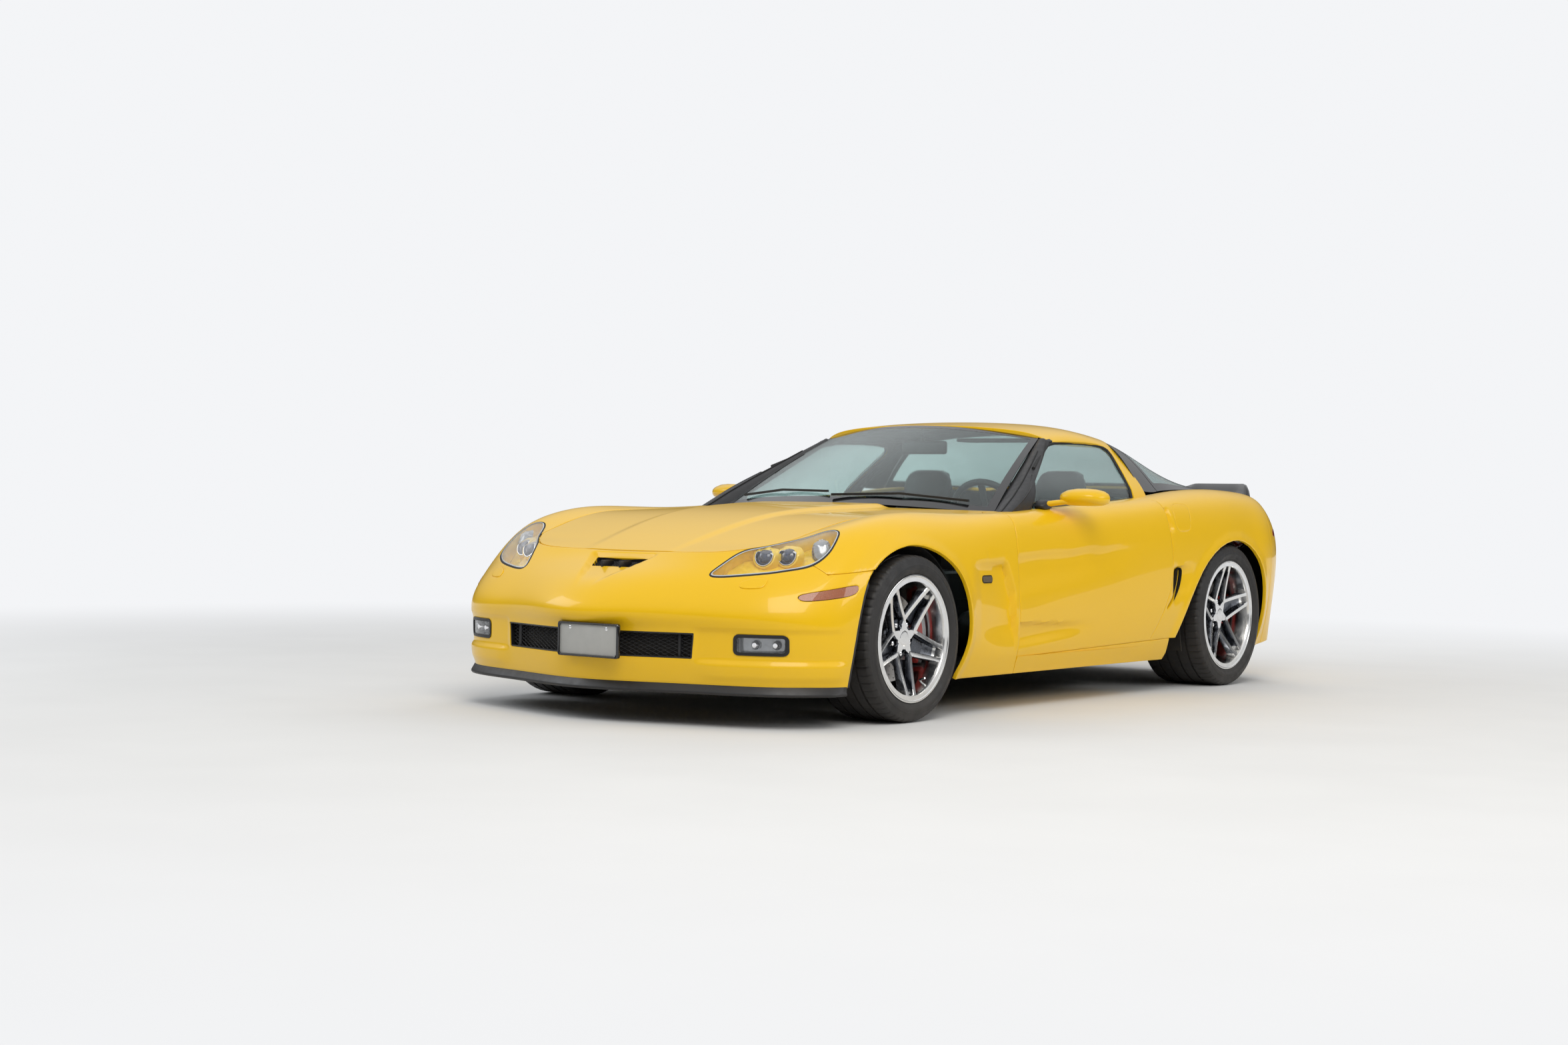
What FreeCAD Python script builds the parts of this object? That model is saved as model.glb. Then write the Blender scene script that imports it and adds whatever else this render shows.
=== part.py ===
import FreeCAD
import Part
import Sketcher
import math
import os

# Two-seat sports coupe, millimetres. X points to the car's left, Y to its tail, Z up.
# The origin is on the ground, in the middle of the car's length and width.

doc = FreeCAD.newDocument("Coupe")
V = FreeCAD.Vector
ALONG_X = V(1, 0, 0)
ALONG_Y = V(0, 1, 0)
ALONG_Z = V(0, 0, 1)

# Driving dimensions, kept in a spreadsheet
SIZES = {
    "wheelbase": 2685, "front_overhang": 915, "rear_overhang": 860, "half_width": 964,
    "front_track": 1613, "rear_track": 1588, "ground_clearance": 112,
    "front_tyre_radius": 322, "front_tyre_width": 275, "front_rim_radius": 246,
    "rear_tyre_radius": 335, "rear_tyre_width": 325, "rear_rim_radius": 258,
    "front_arch_radius": 383, "rear_arch_radius": 385, "arch_drop": 22,
    "rim_wall": 9, "rim_depth": 17, "barrel_step": 12, "spoke_pairs": 5, "spoke_width": 23,
    "kingpin_inset": 40, "disc_thickness": 30, "caliper_height": 26,
    "front_caliper_clearance": 12, "rear_caliper_clearance": 24,
    "skin": 12, "bumper_skin": 22, "roof_skin": 18, "panel_gap": 6, "running_gap": 0.3,
    "door_front": 780, "door_rear": 555, "door_inner": 780, "door_rebate": 28, "sill_top": 220,
    "floor_thickness": 30, "tunnel_half": 130, "tunnel_wall": 12, "tunnel_height": 252,
    "glass_thickness": 6, "screen_thickness": 13,
    "plate_width": 300, "plate_height": 130, "plate_depth": 15, "plate_offset": 75,
    "plate_screws": 180, "plate_bore": 3.5,
    "exhaust_radius": 42, "exhaust_wall": 4, "exhaust_pitch": 110, "pipe_radius": 28,
    "tail_lamp_radius": 68, "tail_lamp_depth": 45, "splitter_depth": 130,
    "steering_wheel_radius": 180, "column_radius": 24, "seat_offset": 370, "seat_width": 480,
}

sheet = doc.addObject("Spreadsheet::Sheet", "Sizes")
for row, (alias, number) in enumerate(SIZES.items(), start=1):
    sheet.set("A%d" % row, alias)
    sheet.set("B%d" % row, str(number))
    sheet.setAlias("B%d" % row, alias)
doc.recompute()


def value(formula):
    return float(sheet.evalExpression(str(formula)))


# Places along the car, as formulas on those sizes
NOSE_END = "(-(Sizes.wheelbase + Sizes.front_overhang + Sizes.rear_overhang) / 2)"
FRONT = "(%s + Sizes.front_overhang)" % NOSE_END
REAR = "(%s + Sizes.wheelbase)" % FRONT
TAIL_END = "(%s + Sizes.rear_overhang)" % REAR
DOOR_FRONT = "(%s + Sizes.door_front)" % FRONT
DOOR_REAR = "(%s - Sizes.door_rear)" % REAR
FLOOR_LOW = "(Sizes.ground_clearance + 8)"
FLOOR_TOP = "(%s + Sizes.floor_thickness)" % FLOOR_LOW
TUNNEL_TOP = "(%s + Sizes.tunnel_height)" % FLOOR_TOP
FRONT_INNER = "(Sizes.front_track / 2 - Sizes.front_tyre_width / 2 - 219)"
REAR_INNER = "(Sizes.rear_track / 2 - Sizes.rear_tyre_width / 2 - 71.5)"
OUTSIDE = "(Sizes.half_width + 200)"
SEAT = "Sizes.running_gap"
GAP = "Sizes.panel_gap"

# The tables below are drawn for these sizes, and follow when the sizes change
DRAWN_HALF_WIDTH = 964
DRAWN_DOOR_FRONT = 780
DRAWN_DOOR_REAR = 2130
DRAWN_WHEELBASE = 2685
WIDER = "(Sizes.half_width / %d)" % DRAWN_HALF_WIDTH


def wide(x):
    return x * value(WIDER)


def along(y):
    # place of a point drawn y behind the front axle: the cabin stretches, the ends move
    front, rear = value(DOOR_FRONT), value(DOOR_REAR)
    if y < DRAWN_DOOR_FRONT:
        return value(FRONT) + y
    if y > DRAWN_DOOR_REAR:
        return value(REAR) + y - DRAWN_WHEELBASE
    return front + (y - DRAWN_DOOR_FRONT) * (rear - front) / (DRAWN_DOOR_REAR - DRAWN_DOOR_FRONT)


def behind(y):
    return value(REAR) + y


# Bound objects: each size and place is an expression on the sheet
def put(piece, x, y, z):
    for axis, formula in zip("xyz", (x, y, z)):
        piece.setExpression(".Placement.Base." + axis, str(formula))
    return piece


def box(name, low, high):
    piece = doc.addObject("Part::Box", name)
    for prop, start, end in zip(("Length", "Width", "Height"), low, high):
        piece.setExpression(prop, "%s - (%s)" % (end, start))
    return put(piece, *low)


def rod(name, radius, length, start, toward=ALONG_Z):
    piece = doc.addObject("Part::Cylinder", name)
    piece.setExpression("Radius", str(radius))
    piece.setExpression("Height", str(length))
    piece.Placement = FreeCAD.Placement(V(0, 0, 0), FreeCAD.Rotation(ALONG_Z, toward))
    return put(piece, *start)


def fuse(name, *shapes):
    piece = doc.addObject("Part::MultiFuse", name)
    piece.Shapes = list(shapes)
    return piece


def cut(name, base, *tools):
    piece = doc.addObject("Part::Cut", name)
    piece.Base = base
    piece.Tool = tools[0] if len(tools) == 1 else fuse(name + "_cutters", *tools)
    return piece


def common(name, *shapes):
    piece = doc.addObject("Part::MultiCommon", name)
    piece.Shapes = list(shapes)
    return piece


def group(name, *shapes):
    piece = doc.addObject("Part::Compound", name)
    piece.Links = list(shapes)
    return piece


def mirror(name, source):
    piece = doc.addObject("Part::Mirroring", name)
    piece.Source = source
    piece.Normal = ALONG_X
    return piece


def both(name, source):
    return source, mirror(name, source)


def feature(name, shape):
    piece = doc.addObject("Part::Feature", name)
    piece.Shape = shape
    return piece


def base_plane(body, role):
    return [item for item in body.Origin.OriginFeatures if item.Role == role][0]


def outline(body, name, role, points, offset=0):
    # closed sketch whose corners are tied to the sheet, one formula for each coordinate
    sketch = body.newObject("Sketcher::SketchObject", name)
    sketch.AttachmentSupport = [(base_plane(body, role), "")]
    sketch.MapMode = "FlatFace"
    if offset:
        sketch.setExpression(".AttachmentOffset.Base.z", str(offset))
    corners = [V(value(u), value(v), 0) for u, v in points]
    for i, corner in enumerate(corners):
        sketch.addGeometry(Part.LineSegment(corner, corners[(i + 1) % len(corners)]))
    for i in range(len(corners)):
        sketch.addConstraint(Sketcher.Constraint("Coincident", i, 2, (i + 1) % len(corners), 1))
    for i, (u, v) in enumerate(points):
        for kind, formula, drawn in (("DistanceX", u, corners[i].x), ("DistanceY", v, corners[i].y)):
            place = sketch.addConstraint(Sketcher.Constraint(kind, -1, 1, i, 1, drawn))
            sketch.setExpression("Constraints[%d]" % place, str(formula))
    return sketch


def pad_on(body, name, role, points, length, offset=0):
    run = body.newObject("PartDesign::Pad", name)
    run.Profile = outline(body, name + "_outline", role, points, offset)
    run.setExpression("Length", str(length))
    run.Midplane = True
    return run


def slab_x(name, points, low, high):
    # outline of (y, z) carried across the car from x low to x high
    body = doc.addObject("PartDesign::Body", name)
    pad_on(body, name + "_pad", "YZ_Plane", points, "%s - (%s)" % (high, low))
    return put(body, "(%s + %s) / 2" % (low, high), 0, 0)


def turn_on(body, name, points):
    # outline of (x, radius) turned about the X axis
    turned = body.newObject("PartDesign::Revolution", name)
    turned.Profile = outline(body, name + "_outline", "XZ_Plane", points)
    turned.ReferenceAxis = (base_plane(body, "X_Axis"), [""])
    turned.Angle = 360
    return turned


def filled(points, **names):
    return [(u.format(**names), v.format(**names)) for u, v in points]


# Lofted shells: sections of straight lines, each moved inwards by the wall
def inset(line, depth):
    # the same open line moved to its right by depth, corner by corner
    moved = []
    for i, point in enumerate(line):
        before = line[max(i - 1, 0)]
        after = line[min(i + 1, len(line) - 1)]
        turns = []
        for a, b in ((before, point), (point, after)):
            run = math.hypot(b[0] - a[0], b[1] - a[1])
            if run > 0:
                turns.append(((b[1] - a[1]) / run, -(b[0] - a[0]) / run))
        nx = sum(t[0] for t in turns) / len(turns)
        ny = sum(t[1] for t in turns) / len(turns)
        square = nx * nx + ny * ny
        moved.append((point[0] + depth * nx / square, point[1] + depth * ny / square))
    return moved


def closed(points):
    return Part.makePolygon([V(*p) for p in points] + [V(*points[0])])


def band(line, start, depth):
    # ring between the line moved by start and the line moved by start + depth
    return inset(line, start) + inset(line, start + depth)[::-1]


def mirrored(line):
    # a half line that starts at the left edge and ends on the centre, made whole
    return list(line) + [(-x, v) for x, v in line[-2::-1]]


def loft(wires):
    return Part.makeLoft(wires, True, True)


def side_shell(rows, place, first, last, depth):
    # wall along the car's side, from section columns first to last
    wires = []
    for row in rows:
        line = [(wide(x), z) for x, z in row[1:][first:last + 1]]
        wires.append(closed([(x, place(row[0]), z) for x, z in band(line, 0, -depth)]))
    return loft(wires)


def level_shell(rows, xs, place, start, depth, back=None):
    # wall between level sections; each line runs from the left edge to the right one
    wires = []
    for row in rows:
        half = [(wide(x), place(y)) for x, y in zip(xs, row[1:])][::-1]
        if back is not None:
            half = [(half[0][0], back)] + half
        wires.append(closed([(x, y, row[0]) for x, y in band(mirrored(half), start, depth)]))
    return loft(wires)


def top_shell(rows, place, depth, start=0):
    # wall over the car's whole width, from rows of (x, z) that end on the centre
    wires = []
    for row in rows:
        line = mirrored([(wide(x), z) for x, z in row[1:]])
        wires.append(closed([(x, place(row[0]), z) for x, z in band(line, -start, -depth)]))
    return loft(wires)


def between(low, high, y):
    # the row at y on the straight surface between two rows
    share = (y - low[0]) / (high[0] - low[0])
    points = [(a[0] + share * (b[0] - a[0]), a[1] + share * (b[1] - a[1])) for a, b in zip(low[1:], high[1:])]
    return (y,) + tuple(points)


NODES = []


def node(*pieces):
    NODES.extend(pieces)


def largest(name, source):
    # the main solid of a cut shell, without the offcuts
    doc.recompute()
    return feature(name, max(source.Shape.Solids, key=lambda solid: solid.Volume))


# Body side sections: distance behind the front axle, then x and z of
# sill, tuck, waist, shoulder, crest and the panel's inner edge
FENDER = [
    (-420, (905, 150), (915, 250), (915, 450), (893, 600), (800, 672), (640, 690)),
    (-200, (905, 150), (930, 250), (940, 470), (915, 660), (810, 752), (655, 745)),
    (0, (905, 150), (932, 250), (945, 500), (915, 700), (815, 793), (670, 780)),
    (250, (905, 150), (932, 250), (943, 500), (912, 712), (812, 802), (690, 792)),
    (500, (905, 150), (930, 250), (938, 480), (908, 725), (822, 797), (708, 798)),
    (780, (905, 150), (928, 250), (932, 450), (902, 752), (860, 800), (740, 806)),
]
DOOR = [
    (780, (905, 150), (925, 226), (932, 450), (902, 752), (860, 800), (800, 806)),
    (1100, (905, 150), (922, 232), (928, 500), (900, 762), (850, 820), (800, 826)),
    (1500, (905, 150), (925, 240), (932, 530), (906, 792), (850, 844), (800, 851)),
    (1895, (905, 150), (932, 250), (944, 580), (918, 820), (850, 868), (800, 875)),
    (2134, (908, 150), (938, 262), (952, 600), (928, 834), (850, 883), (800, 890)),
]
# The same columns, distance behind the rear axle
QUARTER = [
    (-790, (905, 150), (932, 250), (944, 580), (918, 820), (850, 868), (800, 875)),
    (-551, (908, 150), (938, 262), (952, 600), (928, 834), (850, 883), (800, 890)),
    (-300, (912, 155), (945, 300), (961, 630), (936, 838), (842, 915), (775, 915)),
    (0, (915, 160), (950, 320), (964, 650), (940, 838), (835, 926), (740, 926)),
    (250, (915, 170), (947, 320), (962, 650), (936, 828), (830, 922), (690, 926)),
    (450, (905, 190), (935, 330), (955, 630), (925, 790), (822, 905), (640, 922)),
]
# Hood: distance behind the front axle, half width, edge z, rib x, rib z, centre z
HOOD = [
    (-600, 464, 640, 250, 642, 640),
    (-400, 640, 692, 300, 712, 700),
    (-200, 648, 742, 330, 764, 755),
    (100, 672, 782, 370, 806, 800),
    (400, 694, 792, 410, 830, 828),
    (560, 704, 797, 430, 838, 838),
]
# Plan lines of the nose: height, then distance behind the front axle at each x
NOSE_X = (0, 250, 460, 640, 850, 930)
NOSE = [
    (165, -862, -812, -742, -690, -560, -400),
    (250, -880, -826, -752, -700, -575, -390),
    (365, -895, -840, -760, -708, -585, -385),
    (456, -915, -852, -768, -708, -567, -385),
    (540, -812, -772, -705, -640, -500, -372),
    (590, -690, -672, -640, -580, -450, -350),
    (640, -610, -600, -580, -500, -400, -310),
]
# Plan lines of the tail: height, then distance behind the rear axle at each x
TAIL_X = (0, 400, 650, 850, 950)
TAIL = [
    (190, 770, 760, 720, 590, 480),
    (356, 825, 808, 765, 625, 480),
    (477, 850, 832, 790, 670, 510),
    (630, 860, 845, 800, 695, 525),
    (763, 845, 825, 780, 650, 495),
    (850, 800, 785, 735, 600, 470),
]
# Deck behind the rear glass: distance behind the rear axle, then x and z to the middle
DECK = [
    (378, (650, 923), (520, 930), (400, 938), (0, 946)),
    (456, (632, 922), (520, 928), (400, 936), (0, 943)),
]
DECK_REAR = [
    (456, (900, 853), (822, 905), (640, 922), (0, 942)),
    (600, (840, 853), (760, 890), (600, 910), (0, 924)),
    (735, (640, 853), (560, 875), (450, 888), (0, 896)),
    (785, (300, 853), (250, 862), (200, 870), (0, 876)),
]
# Roof, roof hoop and rear glass: distance behind the front axle, then x and z to the middle
ROOF = [
    (1580.3, (606, 1126), (590, 1148), (500, 1178), (250, 1202), (0, 1209)),
    (1750, (606, 1130), (592, 1154), (500, 1187), (250, 1212), (0, 1220)),
    (2045.7, (604, 1118), (590, 1142), (500, 1180), (250, 1208), (0, 1216)),
]
HOOP = [
    (2046, (604, 1118), (590, 1142), (500, 1180), (250, 1208), (0, 1216)),
    (2200, (594, 1096), (570, 1124), (490, 1156), (250, 1186), (0, 1194)),
]
HATCH = [
    (2208, (592, 1092), (568, 1122), (490, 1154), (250, 1184), (0, 1192)),
    (2262, (764, 916), (620, 1078), (500, 1136), (250, 1166), (0, 1174)),
    (2500, (748, 924), (620, 1015), (500, 1062), (250, 1096), (0, 1106)),
    (2800, (706, 928), (590, 960), (480, 986), (250, 1012), (0, 1020)),
    (3055, (652, 930), (540, 936), (420, 940), (250, 946), (0, 948)),
]

# Wheel openings, cut through all the side panels
FRONT_ARCH_Z = "(Sizes.front_tyre_radius - Sizes.arch_drop)"
REAR_ARCH_Z = "(Sizes.rear_tyre_radius - Sizes.arch_drop)"


def arch(name, axle, radius, centre_z, forward):
    names = dict(axle=axle, radius=radius, centre=centre_z, forward=forward, outside=OUTSIDE)
    hole = rod(name + "_round", radius, "2 * " + OUTSIDE, ("-" + OUTSIDE, axle, centre_z), ALONG_X)
    low = ("-{outside}", "{axle} - {radius} * 0.98", "-50")
    high = ("{outside}", "{axle} + {radius} * 0.93", "{centre} * 0.9")
    low = [formula.format(**names) for formula in low]
    high = [formula.format(**names) for formula in high]
    lead = filled([("{axle} - {forward}", "100"), ("{axle} - {radius} * 0.94", "{centre} + {radius} * 0.4"),
                   ("{axle}", "{centre}"), ("{axle}", "100")], **names)
    lead = slab_x(name + "_lead", lead, "-" + OUTSIDE, OUTSIDE)
    return fuse(name, hole, box(name + "_below", low, high), lead)


front_opening = arch("front_opening", FRONT, "Sizes.front_arch_radius", FRONT_ARCH_Z, "390")
rear_opening = arch("rear_opening", REAR, "Sizes.rear_arch_radius", REAR_ARCH_Z, "640")

# Headlamp outline in plan, x and distance behind the front axle
LAMP = [(464, -700), (600, -665), (790, -520), (835, -400), (812, -285), (690, -400), (560, -520),
        (464, -578)]
LAMP_LOW, LAMP_HIGH = 480, 900


def lamp_outline(grow):
    ring = [(wide(x), along(y)) for x, y in LAMP]
    moved = inset([ring[-1]] + ring + [ring[0]], grow)
    return moved[1:-1]


def lamp_prism(name, grow):
    face = Part.Face(closed([(x, y, LAMP_LOW) for x, y in lamp_outline(grow)]))
    return feature(name, face.extrude(V(0, 0, LAMP_HIGH - LAMP_LOW)))


lamp_hole = both("lamp_hole_right", lamp_prism("lamp_hole", value(SEAT)))
lamp_clear = both("lamp_clear_right", lamp_prism("lamp_clear", value(GAP)))
lamp_body = lamp_prism("lamp_body", 0)

# Nose with its grille, fog lamp, marker and headlamp openings
ARCH_FACE = 250
GRILLE_HALF, GRILLE_LOW, GRILLE_HIGH = 458, 255, 350
GRILLE_LAP, GRILLE_DEPTH = 12, 12
FOG_IN, FOG_OUT, FOG_LOW, FOG_HIGH = 612, 800, 272, 350
FOG_SINK, FOG_DEPTH = 2, 55
SEAM_Z = 590
BUMPER = value("Sizes.bumper_skin")
nose_shell = feature("nose_shell", level_shell(NOSE, NOSE_X, along, 0, BUMPER, along(-ARCH_FACE)))
grille_hole = box("grille_hole", (-GRILLE_HALF, NOSE_END + " - 50", GRILLE_LOW),
                  (GRILLE_HALF, NOSE_END + " + 330", GRILLE_HIGH))
fog_hole = both("fog_hole_right", box("fog_hole", (FOG_IN, NOSE_END, FOG_LOW),
                                      (FOG_OUT, NOSE_END + " + 420", FOG_HIGH)))


def marker_box(name, axle, y_low, y_high, z_low, z_high, room):
    low = ("800", "%s + %s - %s" % (axle, y_low, room), "%s - %s" % (z_low, room))
    high = (OUTSIDE, "%s + %s + %s" % (axle, y_high, room), "%s + %s" % (z_high, room))
    return box(name, low, high)


FRONT_MARKER = (FRONT, -500, -400, 470, 512)
REAR_MARKER = (REAR, 500, 590, 655, 692)
front_marker_hole = both("front_marker_hole_right", marker_box("front_marker_hole", *FRONT_MARKER, SEAT))
rear_marker_hole = both("rear_marker_hole_right", marker_box("rear_marker_hole", *REAR_MARKER, SEAT))
hood_edge = [(wide(row[1]), along(row[0])) for row in HOOD[:3]]
hood_edge = [(hood_edge[0][0], hood_edge[0][1] - value(GAP))] + hood_edge
hood_ring = hood_edge + [(-x, y) for x, y in hood_edge[::-1]]
hood_face = Part.Face(closed([(x, y, SEAM_Z - 30) for x, y in hood_ring]))
hood_room = feature("hood_room", hood_face.extrude(V(0, 0, 350)))
nose_cut = cut("nose_cut", nose_shell, grille_hole, front_opening, hood_room,
               *fog_hole, *lamp_hole, *front_marker_hole)
node(largest("nose", nose_cut))

# Front fenders, each with the ledge that the hood's edge rests on
LEDGE_WIDTH, LEDGE_DEPTH, LEDGE_TOP = 24, 8, 4
hood_skin = value("Sizes.roof_skin")
ledge_wires = []
for off, edge, edge_z, rib, rib_z, centre_z in HOOD[2:]:
    x, rest = wide(edge) - value(GAP), edge_z - hood_skin - value(SEAT)
    section = [(x + 16, edge_z - LEDGE_TOP), (x + 1, edge_z - LEDGE_TOP), (x + 1, rest),
               (x - LEDGE_WIDTH, rest),
               (x - LEDGE_WIDTH, rest - LEDGE_DEPTH), (x + 16, rest - LEDGE_DEPTH)]
    ledge_wires.append(closed([(x, along(off), z) for x, z in section]))
hood_ledge = feature("hood_ledge", loft(ledge_wires))
fender_shell = feature("fender_shell", side_shell(FENDER, along, 0, 5, value("Sizes.skin")))
below_seam = box("below_seam", (500, NOSE_END, 0), (OUTSIDE, FRONT, SEAM_Z))
ahead_of_fender = box("ahead_of_fender", (0, NOSE_END, 0), (OUTSIDE, FRONT + " - 420", 1500))
door_room = box("door_room", (0, "%s - %s" % (DOOR_FRONT, GAP), 0), (OUTSIDE, DOOR_FRONT + " + 50", 1500))
fender_cut = cut("fender_cut", fender_shell, front_opening, below_seam, ahead_of_fender, door_room,
                 lamp_hole[0], nose_shell)
node(*both("fender_right", fuse("fender_left", fender_cut, hood_ledge)))

# Hood, with a rib on each side of its centre line
hood_wires = []
for off, edge, edge_z, rib, rib_z, centre_z in HOOD:
    half = [(wide(edge) - value(GAP), edge_z), (rib + 60, rib_z - 14), (rib, rib_z), (0, centre_z)]
    ring = band(mirrored(half), 0, -hood_skin)
    hood_wires.append(closed([(x, along(off), z) for x, z in ring]))
node(cut("hood", feature("hood_shell", loft(hood_wires)), *lamp_clear))

# Splitter under the nose, grille behind its opening, blank number plate
SPLITTER_LOW, SPLITTER_REACH = 128, 12
SPLITTER_TOP = NOSE[0][0] - value(SEAT)
split_line = tuple(y - SPLITTER_REACH for y in NOSE[0][1:])
split_rows = [(SPLITTER_LOW,) + split_line, (SPLITTER_TOP,) + split_line]
split_shell = feature("split_shell", level_shell(split_rows, NOSE_X, along, 0, value("Sizes.splitter_depth")))
node(cut("splitter", split_shell, front_opening))
mesh_shell = level_shell(NOSE[1:3], NOSE_X, along, BUMPER + value(SEAT), GRILLE_DEPTH)
mesh_room = box("mesh_room", (-GRILLE_HALF - GRILLE_LAP, NOSE_END, GRILLE_LOW - 5),
                (GRILLE_HALF + GRILLE_LAP, NOSE_END + " + 330", GRILLE_HIGH + GRILLE_LAP))
node(common("grille", feature("mesh_shell", mesh_shell), mesh_room))
PLATE_Z = 245
PLATE_Y = "(%s + 3 - %s)" % (NOSE_END, SEAT)
plate_low = ("Sizes.plate_offset - Sizes.plate_width / 2", PLATE_Y, PLATE_Z)
plate_high = ("Sizes.plate_offset + Sizes.plate_width / 2", PLATE_Y + " + Sizes.plate_depth",
              "%d + Sizes.plate_height" % PLATE_Z)
plate_bores = []
for way in ("left", "right"):
    sign = {"left": "+", "right": "-"}[way]
    place = ("Sizes.plate_offset %s Sizes.plate_screws / 2" % sign, PLATE_Y + " - 5",
             "%d + Sizes.plate_height / 2" % PLATE_Z)
    plate_bores.append(rod("plate_bore_" + way, "Sizes.plate_bore", "Sizes.plate_depth + 10", place, ALONG_Y))
node(cut("front_plate", box("plate_blank", plate_low, plate_high), *plate_bores))

# Headlamps, fog lamps, side markers
lamp_upper = feature("lamp_upper", side_shell(FENDER, along, 3, 5, 45))
lamp_lower = feature("lamp_lower", level_shell(NOSE, NOSE_X, along, 0, 60, along(-ARCH_FACE)))
lamp_room = box("lamp_room", (0, NOSE_END, 500), (OUTSIDE, FRONT, 800))
lamp_cut = common("lamp_cut", fuse("lamp_skins", lamp_upper, lamp_lower), lamp_body, lamp_room)
node(*both("headlamp_right", largest("headlamp_left", lamp_cut)))
fog_low = ["%d + %s" % (FOG_IN, SEAT), NOSE_END, "%d + %s" % (FOG_LOW, SEAT)]
fog_high = ["%d - %s" % (FOG_OUT, SEAT), FRONT, "%d - %s" % (FOG_HIGH, SEAT)]
fog_shell = feature("fog_shell", level_shell(NOSE[1:3], NOSE_X, along, FOG_SINK, FOG_DEPTH))
fog_lamp = common("fog_lamp", fog_shell, box("fog_room", fog_low, fog_high))
node(group("fog_lamps", *both("fog_lamp_right", fog_lamp)))

# Doors: the rear edge as distance ahead of the door's rear line, and height
DOOR_EDGE = [("0", "1000"), ("0", "640"), ("22", "540"), ("70", "430"), ("150", "330"), ("236", "250")]
DOOR_LOW = "(Sizes.sill_top + Sizes.panel_gap)"


def door_outline(front, low, top, rear):
    # front line, lower edge, raise of the top corner and the move of the rear edge
    points = [("%s + %s" % (DOOR_FRONT, front), low), ("%s + %s" % (DOOR_FRONT, front), "900")]
    points += [("%s - %s + %s" % (DOOR_REAR, ahead, rear), z) for ahead, z in DOOR_EDGE[:1]]
    points[-1] = (points[-1][0], "1000 + %s" % top)
    return points + [("%s - %s + %s" % (DOOR_REAR, ahead, rear), z) for ahead, z in DOOR_EDGE[1:]]


door_wires = []
for row in DOOR:
    line = [(wide(x), z) for x, z in row[2:]]
    inner = [(value("Sizes.door_inner"), line[-1][1]), (value("Sizes.door_inner"), line[0][1])]
    door_wires.append(closed([(x, along(row[0]), z) for x, z in line + inner]))
door_mass = feature("door_mass", loft(door_wires))
door_panel = common("door_panel", door_mass,
                    slab_x("door_slab", door_outline("0", DOOR_LOW, "0", "0"), "700", OUTSIDE))
rebate_edge = slab_x("rebate_edge", door_outline("1", DOOR_LOW + " - 1", "1", "1"), "690", WIDER + " * 895")
rebate_core = slab_x("rebate_core", door_outline("-Sizes.door_rebate", DOOR_LOW + " - 5", "5",
                                                 "-Sizes.door_rebate"), "680", WIDER + " * 900")
door_left = cut("door_left", door_panel, cut("rebate", rebate_edge, rebate_core))
node(*both("door_right", door_left))

# Sills between the fender and the rear quarter
SILL_INNER = "(%s * 700)" % WIDER
SILL_LOW = 150
SILL_REAR = "(%s - 790 - %s)" % (REAR, SEAT)
sill_section = [(WIDER + " * 905", str(SILL_LOW)), (WIDER + " * 925", "Sizes.sill_top"),
                (SILL_INNER, "Sizes.sill_top"), (SILL_INNER, str(SILL_LOW))]
sill = doc.addObject("PartDesign::Body", "sill_left")
pad_on(sill, "sill_pad", "XZ_Plane", sill_section, "%s - %s" % (SILL_REAR, DOOR_FRONT))
put(sill, 0, "(%s + %s) / 2" % (SILL_REAR, DOOR_FRONT), 0)
node(group("sills", *both("sill_right", sill)))

# Rear quarters
quarter_shell = feature("quarter_shell", side_shell(QUARTER, behind, 0, 5, value("Sizes.skin")))
door_swing = slab_x("door_swing", door_outline("-300", DOOR_LOW, "0", GAP), "600", OUTSIDE)
sill_room = box("sill_room", (600, FRONT, 0), (OUTSIDE, "%s - 790" % REAR, DOOR_LOW))
quarter_left = cut("quarter_left", quarter_shell, rear_opening, door_swing, sill_room)
node(*both("quarter_right", quarter_left))

# Tail: bumper shell with lamp and exhaust openings, deck and lip
EXHAUST_Z = 262
LAMP_Z = 705
LAMPS = ((360, 848), (610, 806))
QUARTER_END = QUARTER[-1][0]
tail_shell = level_shell(TAIL, TAIL_X, behind, 0, -BUMPER, behind(QUARTER_END) + value(SEAT))
tail_shell = feature("tail_shell", tail_shell)
EXHAUST_HALF = "(1.5 * Sizes.exhaust_pitch + Sizes.exhaust_radius + 22)"
exhaust_hole = box("exhaust_hole", ("-" + EXHAUST_HALF, REAR + " + 600", 150),
                   (EXHAUST_HALF, TAIL_END + " + 50", "%d + Sizes.exhaust_radius + 20" % EXHAUST_Z))
lamp_bores, lamp_rods = [], []
for i, (x, reach) in enumerate(LAMPS):
    place = ("%s * %d" % (WIDER, x), REAR + " + 600", LAMP_Z)
    lamp_bores += both("lamp_bore_right_%d" % i, rod("lamp_bore_%d" % i, "Sizes.tail_lamp_radius + " + SEAT,
                                                     "Sizes.rear_overhang", place, ALONG_Y))
    place = ("%s * %d" % (WIDER, x), "%s + %d - Sizes.tail_lamp_depth" % (REAR, reach), LAMP_Z)
    lamp_rods += both("tail_lamp_right_%d" % i, rod("tail_lamp_%d" % i, "Sizes.tail_lamp_radius",
                                                    "Sizes.tail_lamp_depth", place, ALONG_Y))
node(cut("rear_fascia", tail_shell, exhaust_hole, *lamp_bores, *rear_marker_hole))
node(group("tail_lamps", *lamp_rods))
DECK_SKIN = 4
deck_rows = [row[:1] + ((row[1][0], TAIL[-1][0] + value(SEAT)),) + row[2:] for row in DECK_REAR]
deck_front = feature("deck_front", top_shell(DECK, behind, value("Sizes.skin")))
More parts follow.
